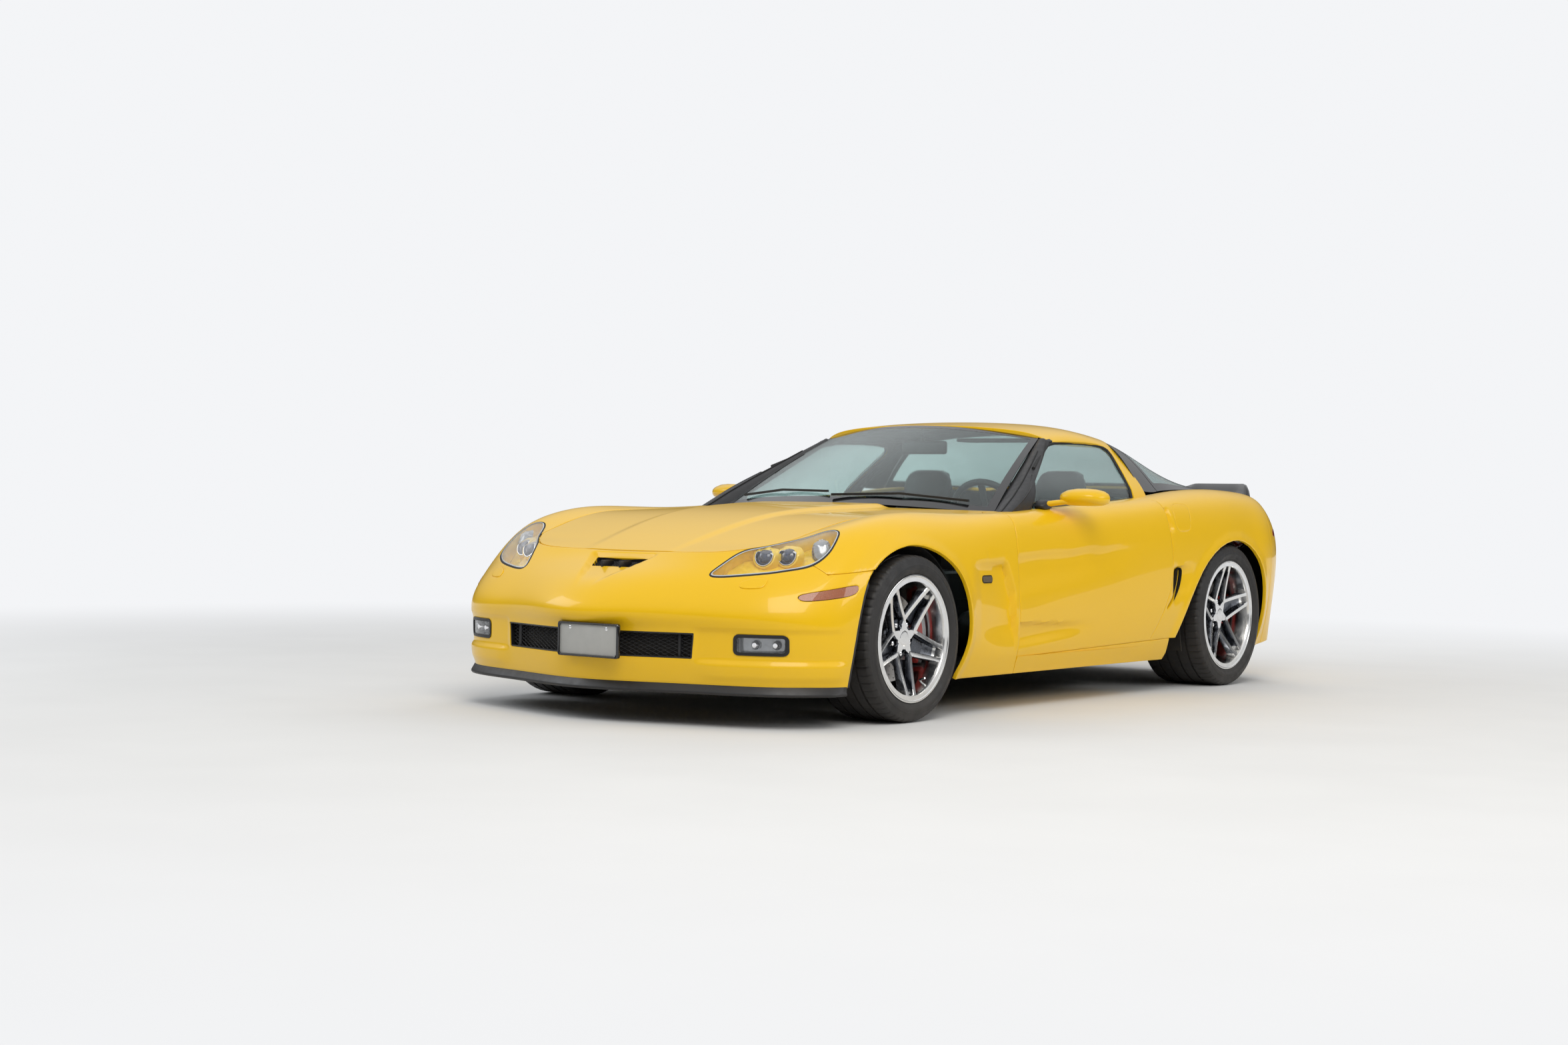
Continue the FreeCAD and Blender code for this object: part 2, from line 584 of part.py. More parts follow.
deck_back = feature("deck_back", top_shell(deck_rows, behind, DECK_SKIN))
deck_sink = box("deck_sink", ("-" + OUTSIDE, REAR, 0), (OUTSIDE, TAIL_END, "%d + %s" % (TAIL[-1][0], SEAT)))
rear_deck = cut("rear_deck", fuse("deck_skins", deck_front, deck_back), deck_sink)
node(rear_deck)
LIP_X = (735, 650, 400, 0)
LIP_BASE = (880, 640, 728, 780, 796)
LIP_TOP = (972, 665, 748, 800, 816)
lip_wires = []
for (z, *ys), depth in ((LIP_BASE, -60), (LIP_TOP, -18)):
    line = mirrored([(wide(x), behind(y)) for x, y in zip(LIP_X, ys)])
    lip_wires.append(closed([(x, y, z) for x, y in band(line, 0, depth)]))
deck_mass = feature("deck_mass", top_shell(deck_rows, behind, 120))
node(cut("spoiler", feature("lip_mass", loft(lip_wires)), deck_mass))

# Windshield: corner and middle of its lower and upper edges, x, y behind the front axle, z
SCREEN_LOW = ((727, 894, 806), (0, 625, 840))
SCREEN_TOP = ((569, 1519, 1132), (0, 1400, 1192))


def bow(corner, middle, shift):
    # arc from the right corner through the middle to the left one, with a parallel inner arc
    corner = V(wide(corner[0]), along(corner[1]), corner[2])
    middle = V(0, along(middle[1]), middle[2])
    ends = [V(-corner.x, corner.y, corner.z), middle, corner]
    lean = V(0, corner.y - middle.y, corner.z - middle.z)
    lean.normalize()
    inner = [point + lean * shift for point in ends]
    sides = [Part.makeLine(ends[2], inner[2]), Part.makeLine(inner[0], ends[0])]
    return Part.Wire([Part.Arc(*ends).toShape(), sides[0], Part.Arc(*inner).toShape(), sides[1]])


screen = value("Sizes.screen_thickness")
windshield = feature("windshield", loft([bow(*SCREEN_LOW, screen), bow(*SCREEN_TOP, screen)]))
node(windshield)


def quad(z, x_low, x_high, y_low, y_high):
    x_low, x_high, y_low, y_high = wide(x_low), wide(x_high), along(y_low), along(y_high)
    return closed([(x_low, y_low, z), (x_high, y_low, z), (x_high, y_high, z), (x_low, y_high, z)])


# Windshield frame: pillars on door posts that stand on the sills, and a header
POST_TOP = 800
post = box("door_post", (WIDER + " * 735", DOOR_FRONT + " + 90", "Sizes.sill_top + " + SEAT),
           ("Sizes.door_inner - " + SEAT, DOOR_FRONT + " + 170", POST_TOP))
post_foot = box("post_foot", (WIDER + " * 690", DOOR_FRONT + " + 90", "Sizes.sill_top + " + SEAT),
                ("Sizes.door_inner - " + SEAT, DOOR_FRONT + " + 170", "Sizes.sill_top + 60"))
pillar = feature("pillar", loft([quad(POST_TOP - 4, 735, 775, 876, 950), quad(1128, 578, 606, 1500, 1560)]))
HEADER = [((606, 1122), (578, 1138), (480, 1168), (250, 1186), (0, 1192)),
          ((606, 1128), (578, 1144), (480, 1174), (250, 1192), (0, 1198))]
header_rows = [(y,) + row for y, row in zip((1524, 1580), HEADER)]
header = feature("header", top_shell(header_rows, along, 28))
frame_side = fuse("frame_side", post, post_foot, pillar)
frame_whole = fuse("frame_whole", *both("frame_side_right", frame_side), header)
node(cut("windshield_frame", frame_whole, windshield))

# Roof panel, roof hoop with the ledge that the rear glass rests on, and the rear glass
roof_skin = value("Sizes.roof_skin")
glass = value("Sizes.glass_thickness")
node(feature("roof", top_shell(ROOF, along, roof_skin)))
leg = feature("hoop_leg", loft([quad(885, 775, 835, 1985, 2215), quad(1126, 570, 604, 2050, 2196)]))
leg_room = box("leg_room", ("Sizes.door_inner - 80", DOOR_FRONT, 0),
               (OUTSIDE, "%s + %s" % (DOOR_REAR, GAP), 896))
leg_cut = cut("leg_cut", leg, leg_room, quarter_left)
ledge_rows = [(2192,) + HATCH[0][1:], HATCH[0], between(HATCH[0], HATCH[1], 2222)]
LEDGE_HALF = 470
ledge_shell = feature("ledge_shell", top_shell(ledge_rows, along, 8, glass + value(SEAT)))
ledge_room = box("ledge_room", (-LEDGE_HALF, DOOR_FRONT, 1000), (LEDGE_HALF, REAR, 1250))
glass_ledge = common("glass_ledge", ledge_shell, ledge_room)
hoop_skin = feature("hoop_skin", top_shell(HOOP, along, roof_skin))
node(fuse("roof_hoop", hoop_skin, glass_ledge, *both("leg_cut_right", leg_cut)))
node(feature("hatch_glass", top_shell(HATCH, along, glass)))

# Door glass on the door's top face: y and z of its rail's front and rear ends
GLASS_LOW = ((815, 1060), (812, 1945))
GLASS_TOP = ((612, 1560, 1112), (610, 2034, 1108))


def door_top(x, y):
    # height of the door's top face, between its crest and its inner edge
    low = [row for row in DOOR if row[0] <= y][-1]
    high = [row for row in DOOR if row[0] > y][0]
    row = between(low, high, y)
    (crest_x, crest_z), (edge_x, edge_z) = row[5], row[6]
    return crest_z + (crest_x - x) / (crest_x - edge_x) * (edge_z - crest_z)


glass_wires = []
glass_foot = [(x, y, door_top(x - glass, y) + value(SEAT)) for x, y in GLASS_LOW]
for ends in (glass_foot, GLASS_TOP):
    outer = [V(wide(x), along(y), z) for x, y, z in ends]
    inner = [point - V(glass, 0, 0) for point in outer]
    glass_wires.append(Part.makePolygon([outer[0], outer[1], inner[1], inner[0], outer[0]]))
node(*both("door_glass_right", feature("door_glass_left", loft(glass_wires))))

# Mirrors on the doors: housing sections as (y, z), y behind the front axle
HOUSING = {880: ((1190, 842), (1190, 900), (1300, 912), (1300, 850)),
           1056: ((1250, 855), (1250, 900), (1320, 905), (1320, 858))}
housing_wires = []
for x, section in HOUSING.items():
    housing_wires.append(closed([(wide(x), along(y), z) for y, z in section]))
housing = feature("mirror_housing", loft(housing_wires))
mirror_arm = feature("mirror_arm", loft([quad(812, 835, 870, 1080, 1180), quad(862, 870, 930, 1200, 1270)]))
mirror_left = cut("mirror_left", fuse("mirror_mass", housing, mirror_arm), door_left)
node(*both("mirror_right", mirror_left))

# Seats, each one solid of cushion and back: distance ahead of the doors' rear line, height
SEAT_LINE = [("690", FLOOR_TOP + " + " + SEAT), ("170", FLOOR_TOP + " + " + SEAT), ("0", "1010"),
             ("110", "1010"), ("255", "360"), ("690", "330")]
seat_line = [("%s - %s" % (DOOR_REAR, ahead), z) for ahead, z in SEAT_LINE]
left_seat = slab_x("left_seat", seat_line, "(Sizes.seat_offset - Sizes.seat_width / 2)",
                   "(Sizes.seat_offset + Sizes.seat_width / 2)")
node(group("seats", *both("right_seat", left_seat)))

# Steering wheel about its column, modelled flat and then tilted into place
STEERING_TILT = 22
WHEEL_Z = 770
RIM_THICKNESS = 15
column_toward = V(0, math.cos(math.radians(STEERING_TILT)), math.sin(math.radians(STEERING_TILT)))
column_turn = FreeCAD.Placement(V(0, 0, 0), FreeCAD.Rotation(ALONG_Z, column_toward))
WHEEL_PLACE = ("Sizes.seat_offset", DOOR_FRONT + " + 650", WHEEL_Z)
rim_ring = doc.addObject("Part::Torus", "rim_ring")
rim_ring.setExpression("Radius1", "Sizes.steering_wheel_radius")
rim_ring.Radius2 = RIM_THICKNESS
hub = rod("steering_hub", 55, 36, (0, 0, -26))
column = rod("steering_column", "Sizes.column_radius", 190, (0, 0, -200))
cross_bar = box("cross_bar", ("-Sizes.steering_wheel_radius + 4", -14, -7),
                ("Sizes.steering_wheel_radius - 4", 14, 7))
lower_bar = box("lower_bar", (-14, "-Sizes.steering_wheel_radius + 4", -7), (14, 0, 7))
steering_wheel = fuse("steering_wheel", rim_ring, hub, column, cross_bar, lower_bar)
steering_wheel.Placement = column_turn
node(put(steering_wheel, *WHEEL_PLACE))

# Dashboard with its console, bored for the column
DASH_LINE = [("150", "560"), ("450", "560"), ("490", "700"), ("470", "790"), ("220", "815"), ("150", "800")]
dash_line = [("%s + %s" % (DOOR_FRONT, y), z) for y, z in DASH_LINE]
DASH_HALF = "(Sizes.door_inner - 100)"
dash = slab_x("dash", dash_line, "-" + DASH_HALF, DASH_HALF)
CONSOLE_LINE = [(DOOR_FRONT + " + 380", "0"), (DOOR_REAR + " - 180", "0"), (DOOR_REAR + " - 180", "118"),
                (DOOR_FRONT + " + 520", "118"), (DOOR_FRONT + " + 470", "200"),
                (DOOR_FRONT + " + 380", "200")]
console_line = [(y, "%s + %s + %s" % (TUNNEL_TOP, SEAT, z)) for y, z in CONSOLE_LINE]
CONSOLE_HALF = "(Sizes.tunnel_half - 20)"
console = slab_x("console", console_line, "-" + CONSOLE_HALF, CONSOLE_HALF)
bore = rod("column_bore", "Sizes.column_radius + " + SEAT, 240, (0, 0, -220))
column_bore = group("column_bore_placed", bore)
column_bore.Placement = column_turn
put(column_bore, *WHEEL_PLACE)
node(cut("dashboard", fuse("dash_mass", dash, console), column_bore))

# Floor pan: side floors with upturned edges, tunnel, firewall, bulkhead and luggage floor
FIREWALL = "(%s + 510)" % FRONT
CABIN_FRONT = "(%s + 540)" % FRONT
BULKHEAD = "(%s - 425)" % REAR
BULKHEAD_BACK = "(%s - 395)" % REAR
TAIL_PANEL = "(%s + 690)" % REAR
LUGGAGE_LOW, LUGGAGE_TOP = 600, 618
FLOOR_EDGE = "(%s - %s)" % (SILL_INNER, SEAT)
floor_plate = box("floor_plate", ("Sizes.tunnel_half + " + SEAT, CABIN_FRONT, FLOOR_LOW),
                  (FLOOR_EDGE, "%s - %s" % (BULKHEAD, SEAT), FLOOR_TOP))
floor_rim = box("floor_rim", (FLOOR_EDGE + " - 20", DOOR_FRONT, FLOOR_LOW),
                (FLOOR_EDGE, SILL_REAR, "Sizes.sill_top - 5"))
tunnel_mass = box("tunnel_mass", ("-Sizes.tunnel_half", CABIN_FRONT, FLOOR_LOW),
                  ("Sizes.tunnel_half", "%s - %s" % (BULKHEAD, SEAT), TUNNEL_TOP))
TUNNEL_IN = "(Sizes.tunnel_half - Sizes.tunnel_wall)"
tunnel_room = box("tunnel_room", ("-" + TUNNEL_IN, FRONT, 0),
                  (TUNNEL_IN, REAR, TUNNEL_TOP + " - Sizes.tunnel_wall"))
firewall = box("firewall", ("-" + SILL_INNER, FIREWALL, FLOOR_LOW),
               (SILL_INNER, "%s - %s" % (CABIN_FRONT, SEAT), 745))
bulkhead = box("bulkhead_mass", ("-" + SILL_INNER, BULKHEAD, FLOOR_LOW),
               (SILL_INNER, BULKHEAD_BACK, LUGGAGE_LOW))
LUGGAGE_HALF = "(%s - %s)" % (REAR_INNER, SEAT)
luggage_floor = box("luggage_floor", ("-" + LUGGAGE_HALF, BULKHEAD_BACK + " + " + SEAT, LUGGAGE_LOW),
                    (LUGGAGE_HALF, "%s - %s" % (TAIL_PANEL, SEAT), LUGGAGE_TOP))
tail_panel = box("tail_panel", ("-" + LUGGAGE_HALF, TAIL_PANEL, 325),
                 (LUGGAGE_HALF, TAIL_PANEL + " + 22", LUGGAGE_TOP))
node(group("floor_pan", *both("floor_right", fuse("floor_left", floor_plate, floor_rim)),
           cut("tunnel", tunnel_mass, tunnel_room), cut("firewall_bored", firewall, tunnel_room),
           cut("bulkhead", bulkhead, tunnel_room), luggage_floor, tail_panel))

# Frame rails with their suspension towers, and the front tray that the splitter hangs on
RAIL = 50
RAIL_LOW = NOSE[0][0]
front_rail = (FRONT_INNER + " - %d" % RAIL, "%s - %s" % (FRONT_INNER, SEAT))
rear_rail = ("400", "450")
RAILS = {"front_rail": (front_rail, FRONT + " - 640", "%s - %s" % (FIREWALL, SEAT), RAIL_LOW, 250),
         "front_tower": (front_rail, FRONT + " - 190", FRONT + " + 190", RAIL_LOW, 500),
         "rear_rail": (rear_rail, BULKHEAD_BACK + " + " + SEAT, "%s - %s" % (TAIL_PANEL, SEAT), 300, 380),
         "rear_tower": (rear_rail, REAR + " - 200", REAR + " + 200", 225, 480)}
rails = []
for name, (xs, start, end, low, high) in RAILS.items():
    rails += both(name + "_right", box(name, (xs[0], start, low), (xs[1], end, high)))
beam = box("front_beam", ("-%s + %s" % (FRONT_INNER, SEAT), FRONT + " - 650", RAIL_LOW),
           ("%s - %s" % (FRONT_INNER, SEAT), FRONT + " - 620", 250))
tray = box("front_tray", (-380, FRONT + " - 745", RAIL_LOW), (380, FRONT + " - 640", RAIL_LOW + 20))
frame_rails = fuse("frame_rails", *rails, beam, tray)
node(frame_rails)

# Wheel liners: a shell round each wheel with an inner wall, open where the suspension passes
liners = []
LINER_OUTER = "(%s * 885)" % WIDER
for name, axle, radius, centre_z, inner in (
        ("front", FRONT, "Sizes.front_arch_radius", FRONT_ARCH_Z, FRONT_INNER),
        ("rear", REAR, "Sizes.rear_arch_radius", REAR_ARCH_Z, REAR_INNER)):
    run = "%s - %s" % (LINER_OUTER, inner)
    shell = rod(name + "_liner_mass", radius + " + 5", run, (inner, axle, centre_z), ALONG_X)
    room = rod(name + "_liner_room", radius, run, (inner + " + 6", axle, centre_z), ALONG_X)
    open_low = box(name + "_liner_low", (0, axle + " - 600", -200), (OUTSIDE, axle + " + 600", 175))
    slot = box(name + "_liner_slot", (inner + " - 5", axle + " - 185", 150),
               (inner + " + 10", axle + " + 185", 530))
    liners += both(name + "_liner_right", cut(name + "_liner", shell, room, open_low, slot))
node(group("wheel_liners", *liners))

# Engine, one plain block
node(box("engine_block", (-280, FRONT + " - 240", RAIL_LOW), (280, FRONT + " + 480", 640)))

# Exhaust: two pipes in the tunnel, a cross box, two pipes to the muffler and four tips
PIPE_Z = 200
PIPE_IN, PIPE_OUT = 60, 202
pipes = []
for name, x, start, end in (("pipe", PIPE_IN, FRONT + " + 490", REAR + " - 300"),
                            ("back_pipe", PIPE_OUT, REAR + " - 280", REAR + " + 440")):
    run = rod(name, "Sizes.pipe_radius", "%s - (%s)" % (end, start), (x, start, PIPE_Z), ALONG_Y)
    pipes += both(name + "_right", run)
pipes.append(box("cross_box", (-235, REAR + " - 340", PIPE_Z - 30), (235, REAR + " - 240", PIPE_Z + 30)))
muffler = box("muffler", (-330, REAR + " + 430", 172), (330, REAR + " + 570", 312))
hanger = box("hanger", (325, REAR + " + 480", 302), ("400 - " + SEAT, REAR + " + 510", 312))
tips = []
for i in range(4):
    x = "%s * Sizes.exhaust_pitch" % (i - 1.5)
    run = "Sizes.rear_overhang - 568"
    tip = rod("tip_%d" % i, "Sizes.exhaust_radius", run, (x, REAR + " + 560", EXHAUST_Z), ALONG_Y)
    tip_bore = rod("tip_bore_%d" % i, "Sizes.exhaust_radius - Sizes.exhaust_wall", run,
                   (x, REAR + " + 600", EXHAUST_Z), ALONG_Y)
    tips.append(cut("tip_tube_%d" % i, tip, tip_bore))
node(fuse("exhaust", muffler, *both("hanger_right", hanger), *pipes, *tips))

# Wheels: each is one body about the X axis, then set at its axle
DISC_X = -10


def barrel(rim_radius):
    return "(%s - Sizes.rim_depth - Sizes.barrel_step - Sizes.rim_wall)" % rim_radius


def disc_radius(axle):
    return "(%s - Sizes.%s_caliper_clearance - Sizes.caliper_height)" % (
        barrel("Sizes.%s_rim_radius" % axle), axle)


def wheel(axle, place):
    names = dict(half="(Sizes.%s_tyre_width * 0.44)" % axle, wide="(Sizes.%s_tyre_width / 2)" % axle,
                 flange="Sizes.%s_rim_radius" % axle, radius="Sizes.%s_tyre_radius" % axle,
                 bead="(Sizes.%s_rim_radius - Sizes.rim_depth)" % axle, wall="Sizes.rim_wall",
                 inside="(Sizes.%s_tyre_width * 0.44 - 0.05)" % axle,
                 rest="(Sizes.%s_rim_radius - Sizes.rim_depth + 0.05)" % axle,
                 barrel="(Sizes.%s_rim_radius - Sizes.rim_depth - Sizes.barrel_step)" % axle,
                 disc=disc_radius(axle), thick="Sizes.disc_thickness")
    rim_line = filled([
        ("-{half} - 6", "{flange}"), ("-{half}", "{flange}"), ("-{half}", "{bead}"),
        ("-{half} + 34", "{bead}"),
        ("-{half} + 52", "{barrel}"), ("{half} - 52", "{barrel}"), ("{half} - 34", "{bead}"),
        ("{half}", "{bead}"), ("{half}", "{flange}"), ("{half} + 6", "{flange}"),
        ("{half} + 6", "{flange} - 9"), ("{half} - 6", "{bead} - {wall}"), ("{half} - 38", "{bead} - {wall}"),
        ("{half} - 56", "{barrel} - {wall}"), ("-{half} + 56", "{barrel} - {wall}"),
        ("-{half} + 38", "{bead} - {wall}"), ("-{half} - 6", "{bead} - {wall}")], **names)
    tyre_line = filled([
        ("-{inside}", "{rest}"), ("-{inside}", "{flange}"), ("-{wide}", "{flange} + 26"),
        ("-{wide} + 6", "{radius} - 16"), ("-{wide} + 24", "{radius}"), ("{wide} - 24", "{radius}"),
        ("{wide} - 6", "{radius} - 16"), ("{wide}", "{flange} + 26"), ("{inside}", "{flange}"),
        ("{inside}", "{rest}"),
        ("{half} - 22", "{rest}"), ("{wide} - 18", "{flange} + 30"), ("{wide} - 34", "{radius} - 14"),
        ("-{wide} + 34", "{radius} - 14"), ("-{wide} + 18", "{flange} + 30"), ("-{half} + 22", "{rest}")],
        **names)
    hub_line = filled([
        (str(DISC_X), "0"), (str(DISC_X), "{disc}"), ("%d + {thick}" % DISC_X, "{disc}"),
        ("%d + {thick}" % DISC_X, "70"), ("{half} - 74", "70"), ("{half} - 74", "74"), ("{half} - 40", "74"),
        ("{half} - 40", "0")], **names)
    spoke_line = filled([
        ("{half} - 64", "34"), ("{half} - 38", "34"), ("{half} - 8", "{bead} - 20"),
        ("{half} - 8", "{bead} - 6"), ("{half} - 42", "{bead} - 13")], **names)
    tyre = doc.addObject("PartDesign::Body", "tyre_%s_left" % axle)
    turn_on(tyre, "%s_tyre_turn" % axle, tyre_line)
    rim = doc.addObject("PartDesign::Body", "wheel_%s_left" % axle)
    turn_on(rim, "%s_rim_turn" % axle, rim_line)
    spokes = []
    for name, offset in (("ahead", "37"), ("behind", "-37")):
        spokes.append(pad_on(rim, "%s_spoke_%s" % (axle, name), "XZ_Plane", spoke_line,
                             "Sizes.spoke_width", offset))
    ring = rim.newObject("PartDesign::PolarPattern", axle + "_spokes")
    ring.Originals = spokes
    ring.Axis = (base_plane(rim, "X_Axis"), [""])
    ring.Angle = 360
    ring.setExpression("Occurrences", "Sizes.spoke_pairs")
    rim.Tip = ring
    turn_on(rim, axle + "_hub_turn", hub_line)
    for piece in (tyre, rim):
        node(*both(piece.Name.replace("left", "right"), put(piece, *place)))


def upright(name, disc, post, place):
    # hub carrier and brake caliper about a wheel's middle, the caliper towards the tail
    names = dict(disc=disc, post=post, seat=SEAT, reach=disc + " + Sizes.caliper_height")
    carrier = rod(name + "_carrier", 58, 70, ("%d - %s - 70" % (DISC_X, SEAT), 0, 0), ALONG_X)
    post = box(name + "_post", ("-Sizes.kingpin_inset - 22", -40, "-" + post),
               ("-Sizes.kingpin_inset + 20", 40, post))
    ring = rod(name + "_caliper_ring", names["reach"], 102, (-51, 0, 0), ALONG_X)
    ring_room = rod(name + "_caliper_room", disc + " - 52", 112, (-56, 0, 0), ALONG_X)
    slot = rod(name + "_slot", disc + " + 6", "Sizes.disc_thickness + 12", (DISC_X - 6, 0, 0), ALONG_X)
    sector = slab_x(name + "_sector", [("0", "0"), ("300", "190"), ("300", "-190")], "-100", "100")
    caliper = common(name + "_caliper", cut(name + "_ring", ring, ring_room), sector)
    bracket = box(name + "_bracket", (-51, 0, -45), (-24, disc + " - 20", 45))
    solid = cut(name + "_solid", fuse(name + "_mass", carrier, post, caliper, bracket), slot)
    face = rod(name + "_face", 58, 12, ("%d - %s - 12" % (DISC_X, SEAT), 0, 0), ALONG_X)
    return put(fuse(name, solid, face), *place)


FRONT_X, FRONT_Z = "(Sizes.front_track / 2)", "Sizes.front_tyre_radius"
REAR_X, REAR_Z = "(Sizes.rear_track / 2)", "Sizes.rear_tyre_radius"
POST = "(%s - 58)" % barrel("Sizes.front_rim_radius")
wheel("front", (FRONT_X, FRONT, FRONT_Z))
wheel("rear", (REAR_X, REAR, REAR_Z))
knuckle = upright("knuckle_front_left", disc_radius("front"), POST, (FRONT_X, FRONT, FRONT_Z))
node(*both("knuckle_front_right", knuckle))

# Suspension: arms from the towers to each hub carrier, cross members, rear half shafts
ARM, REAR_ARM, SHAFT, PIN = 12, 13, 18, 14


def slanted(name, radius, start, end):
    run = V(*end) - V(*start)
    return feature(name, Part.makeCylinder(radius, run.Length, V(*start), run))


front_arms = [box("front_member", ("-%s + 50" % FRONT_INNER, FRONT + " - 60", 138),
                  ("%s - 50" % FRONT_INNER, FRONT + " + 60", RAIL_LOW))]
front_arms += both("member_end_right", box("member_end", (FRONT_INNER + " - 90", FRONT + " - 60", 138),
                                           ("%s - %s" % (FRONT_INNER, SEAT), FRONT + " + 60", RAIL_LOW)))
kingpin_x = value(FRONT_X + " - Sizes.kingpin_inset")
for name, way, root_z in (("lower", -1, 185), ("upper", 1, 450)):
    seat_z = value(FRONT_Z) + way * value(POST)
    start_z = "%s %s %s %s" % (FRONT_Z, {1: "+", -1: "-"}[way], POST, {1: "+ " + SEAT, -1: "- 42"}[way])
    pin = rod(name + "_pin", PIN, "42 - " + SEAT, (FRONT_X + " - Sizes.kingpin_inset", FRONT, start_z))
    front_arms += both(name + "_pin_right", pin)
    for fore in (-1, 1):
        start = (kingpin_x, value(FRONT), seat_z + way * 28)
        end = (value(FRONT_INNER) - 10, value(FRONT) + fore * 50, root_z)
        arm_name = "front_arm_%s_%d" % (name, fore + 1)
        front_arms += both(arm_name + "_right", slanted(arm_name, ARM, start, end))
node(cut("front_suspension", fuse("front_arms", *front_arms), frame_rails))
carrier_x = value(REAR_X + " - Sizes.kingpin_inset") - 2
rear_post = value("%s - 70" % barrel("Sizes.rear_rim_radius"))
rear_arms = list(both("rear_carrier_right", upright("rear_carrier", disc_radius("rear"), str(rear_post),
                                                    (REAR_X, REAR, REAR_Z))))
rear_arms.append(box("final_drive", (-170, REAR + " - 180", 232), (170, REAR + " + 180", 470)))
half_shaft = rod("half_shaft", SHAFT, REAR_X + " - 70 - 165", (165, REAR, REAR_Z), ALONG_X)
rear_arms += both("half_shaft_right", half_shaft)
for name, way, spread, root_z in (("lower", -1, 170, 262), ("upper", 1, 120, 440)):
    for fore in (-1, 1):
        start = (carrier_x, value(REAR) + fore * 20, value(REAR_Z) + way * (rear_post - 15))
        end = (440, value(REAR) + fore * spread, root_z)
        arm_name = "rear_arm_%s_%d" % (name, fore + 1)
        rear_arms += both(arm_name + "_right", slanted(arm_name, REAR_ARM, start, end))
for name, fore in (("front_bar", -170), ("rear_bar", 170)):
    rear_arms.append(box(name, (-400, "%s + %d" % (REAR, fore - 20), 240),
                         (400, "%s + %d" % (REAR, fore + 20), 275)))
node(cut("rear_suspension", fuse("rear_arms", *rear_arms), frame_rails))

# Side markers, flush in the bumper corners
front_marker = common("front_marker", nose_shell, marker_box("front_marker_box", *FRONT_MARKER, "0"))
rear_marker = common("rear_marker", tail_shell, marker_box("rear_marker_box", *REAR_MARKER, "0"))
node(group("side_markers", *both("front_marker_right", front_marker),
           *both("rear_marker_right", rear_marker)))

# Wipers, just above the windshield: x and y behind the front axle of three points each
WIPERS = {"left": ((60, 660), (350, 757), (620, 870)), "right": ((-540, 830), (-260, 740), (20, 690))}
WIPER_RISE, WIPER_HALF = 17, 5


def screen_z(x, y):
    (corner_x, corner_y, corner_z), (middle_x, middle_y, middle_z) = SCREEN_LOW
    bulge = (x / corner_x) ** 2
    slope = (SCREEN_TOP[1][2] - middle_z) / (SCREEN_TOP[1][1] - middle_y)
    base_y = middle_y + bulge * (corner_y - middle_y)
    return middle_z + bulge * (corner_z - middle_z) + slope * (y - base_y)


blades = []
for name, route in WIPERS.items():
    wires = []
    for x, y in route:
        z = screen_z(x, y) + WIPER_RISE
        square = ((-1, -1), (1, -1), (1, 1), (-1, 1))
        wires.append(closed([(wide(x), along(y) + a * WIPER_HALF, z + b * WIPER_HALF) for a, b in square]))
    blades.append(feature("wiper_" + name, loft(wires)))
node(group("wipers", *blades))

doc.recompute()
faults = []
for piece in doc.Objects:
    if "Invalid" in piece.State or "Error" in piece.State:
        faults.append(piece.Label)
for piece in NODES:
    if piece.Shape.isNull() or not piece.Shape.isValid() or piece.Shape.Volume <= 0:
        faults.append(piece.Label)
        continue
    bounds = piece.Shape.BoundBox
    print("%-22s solids %d volume %.4f  x %.0f %.0f  y %.0f %.0f  z %.0f %.0f" % (
        piece.Label, len(piece.Shape.Solids), piece.Shape.Volume / 1e9,
        bounds.XMin, bounds.XMax, bounds.YMin, bounds.YMax, bounds.ZMin, bounds.ZMax))
if faults:
    raise RuntimeError("faulty pieces: " + ", ".join(faults))
os.makedirs("parts", exist_ok=True)
for piece in NODES:
    piece.Shape.exportStep("parts/%s.step" % piece.Label)
print(len(NODES), "pieces written")
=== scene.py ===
"""Looks of a two-seat sports coupe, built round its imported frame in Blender 4.5."""

import math

import bmesh
import bpy
import numpy as np
from bpy.props import FloatProperty, FloatVectorProperty, IntProperty, PointerProperty
from mathutils import Euler, Matrix, Vector
from mathutils.bvhtree import BVHTree


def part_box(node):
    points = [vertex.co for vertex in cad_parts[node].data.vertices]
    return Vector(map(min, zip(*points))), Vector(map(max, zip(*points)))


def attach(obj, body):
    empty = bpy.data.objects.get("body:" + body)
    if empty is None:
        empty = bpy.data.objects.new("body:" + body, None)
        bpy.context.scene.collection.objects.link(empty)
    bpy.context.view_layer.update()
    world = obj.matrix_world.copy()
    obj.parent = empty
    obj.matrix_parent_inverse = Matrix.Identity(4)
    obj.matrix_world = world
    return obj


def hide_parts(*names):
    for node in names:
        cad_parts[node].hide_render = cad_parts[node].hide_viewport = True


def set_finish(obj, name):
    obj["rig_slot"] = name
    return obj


bl_info = {
    "name": "Coupe Builder",
    "version": (1, 0, 0),
    "blender": (4, 5, 0),
    "location": "View3D > Sidebar > Coupe",
    "description": "Builds the body, glass, wheels and cabin of a two-seat coupe round its frame",
    "category": "Add Mesh",
}

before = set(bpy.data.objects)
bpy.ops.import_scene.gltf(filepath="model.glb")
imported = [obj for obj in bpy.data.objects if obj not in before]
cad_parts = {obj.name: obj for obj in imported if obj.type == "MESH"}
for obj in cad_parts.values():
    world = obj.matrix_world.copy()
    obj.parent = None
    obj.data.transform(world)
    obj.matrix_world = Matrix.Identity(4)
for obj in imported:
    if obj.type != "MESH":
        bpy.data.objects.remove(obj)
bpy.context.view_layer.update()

# Places of the axles along the car
FRONT_Y = -1.315
REAR_Y = 1.370
WHEELBASE = 2.685

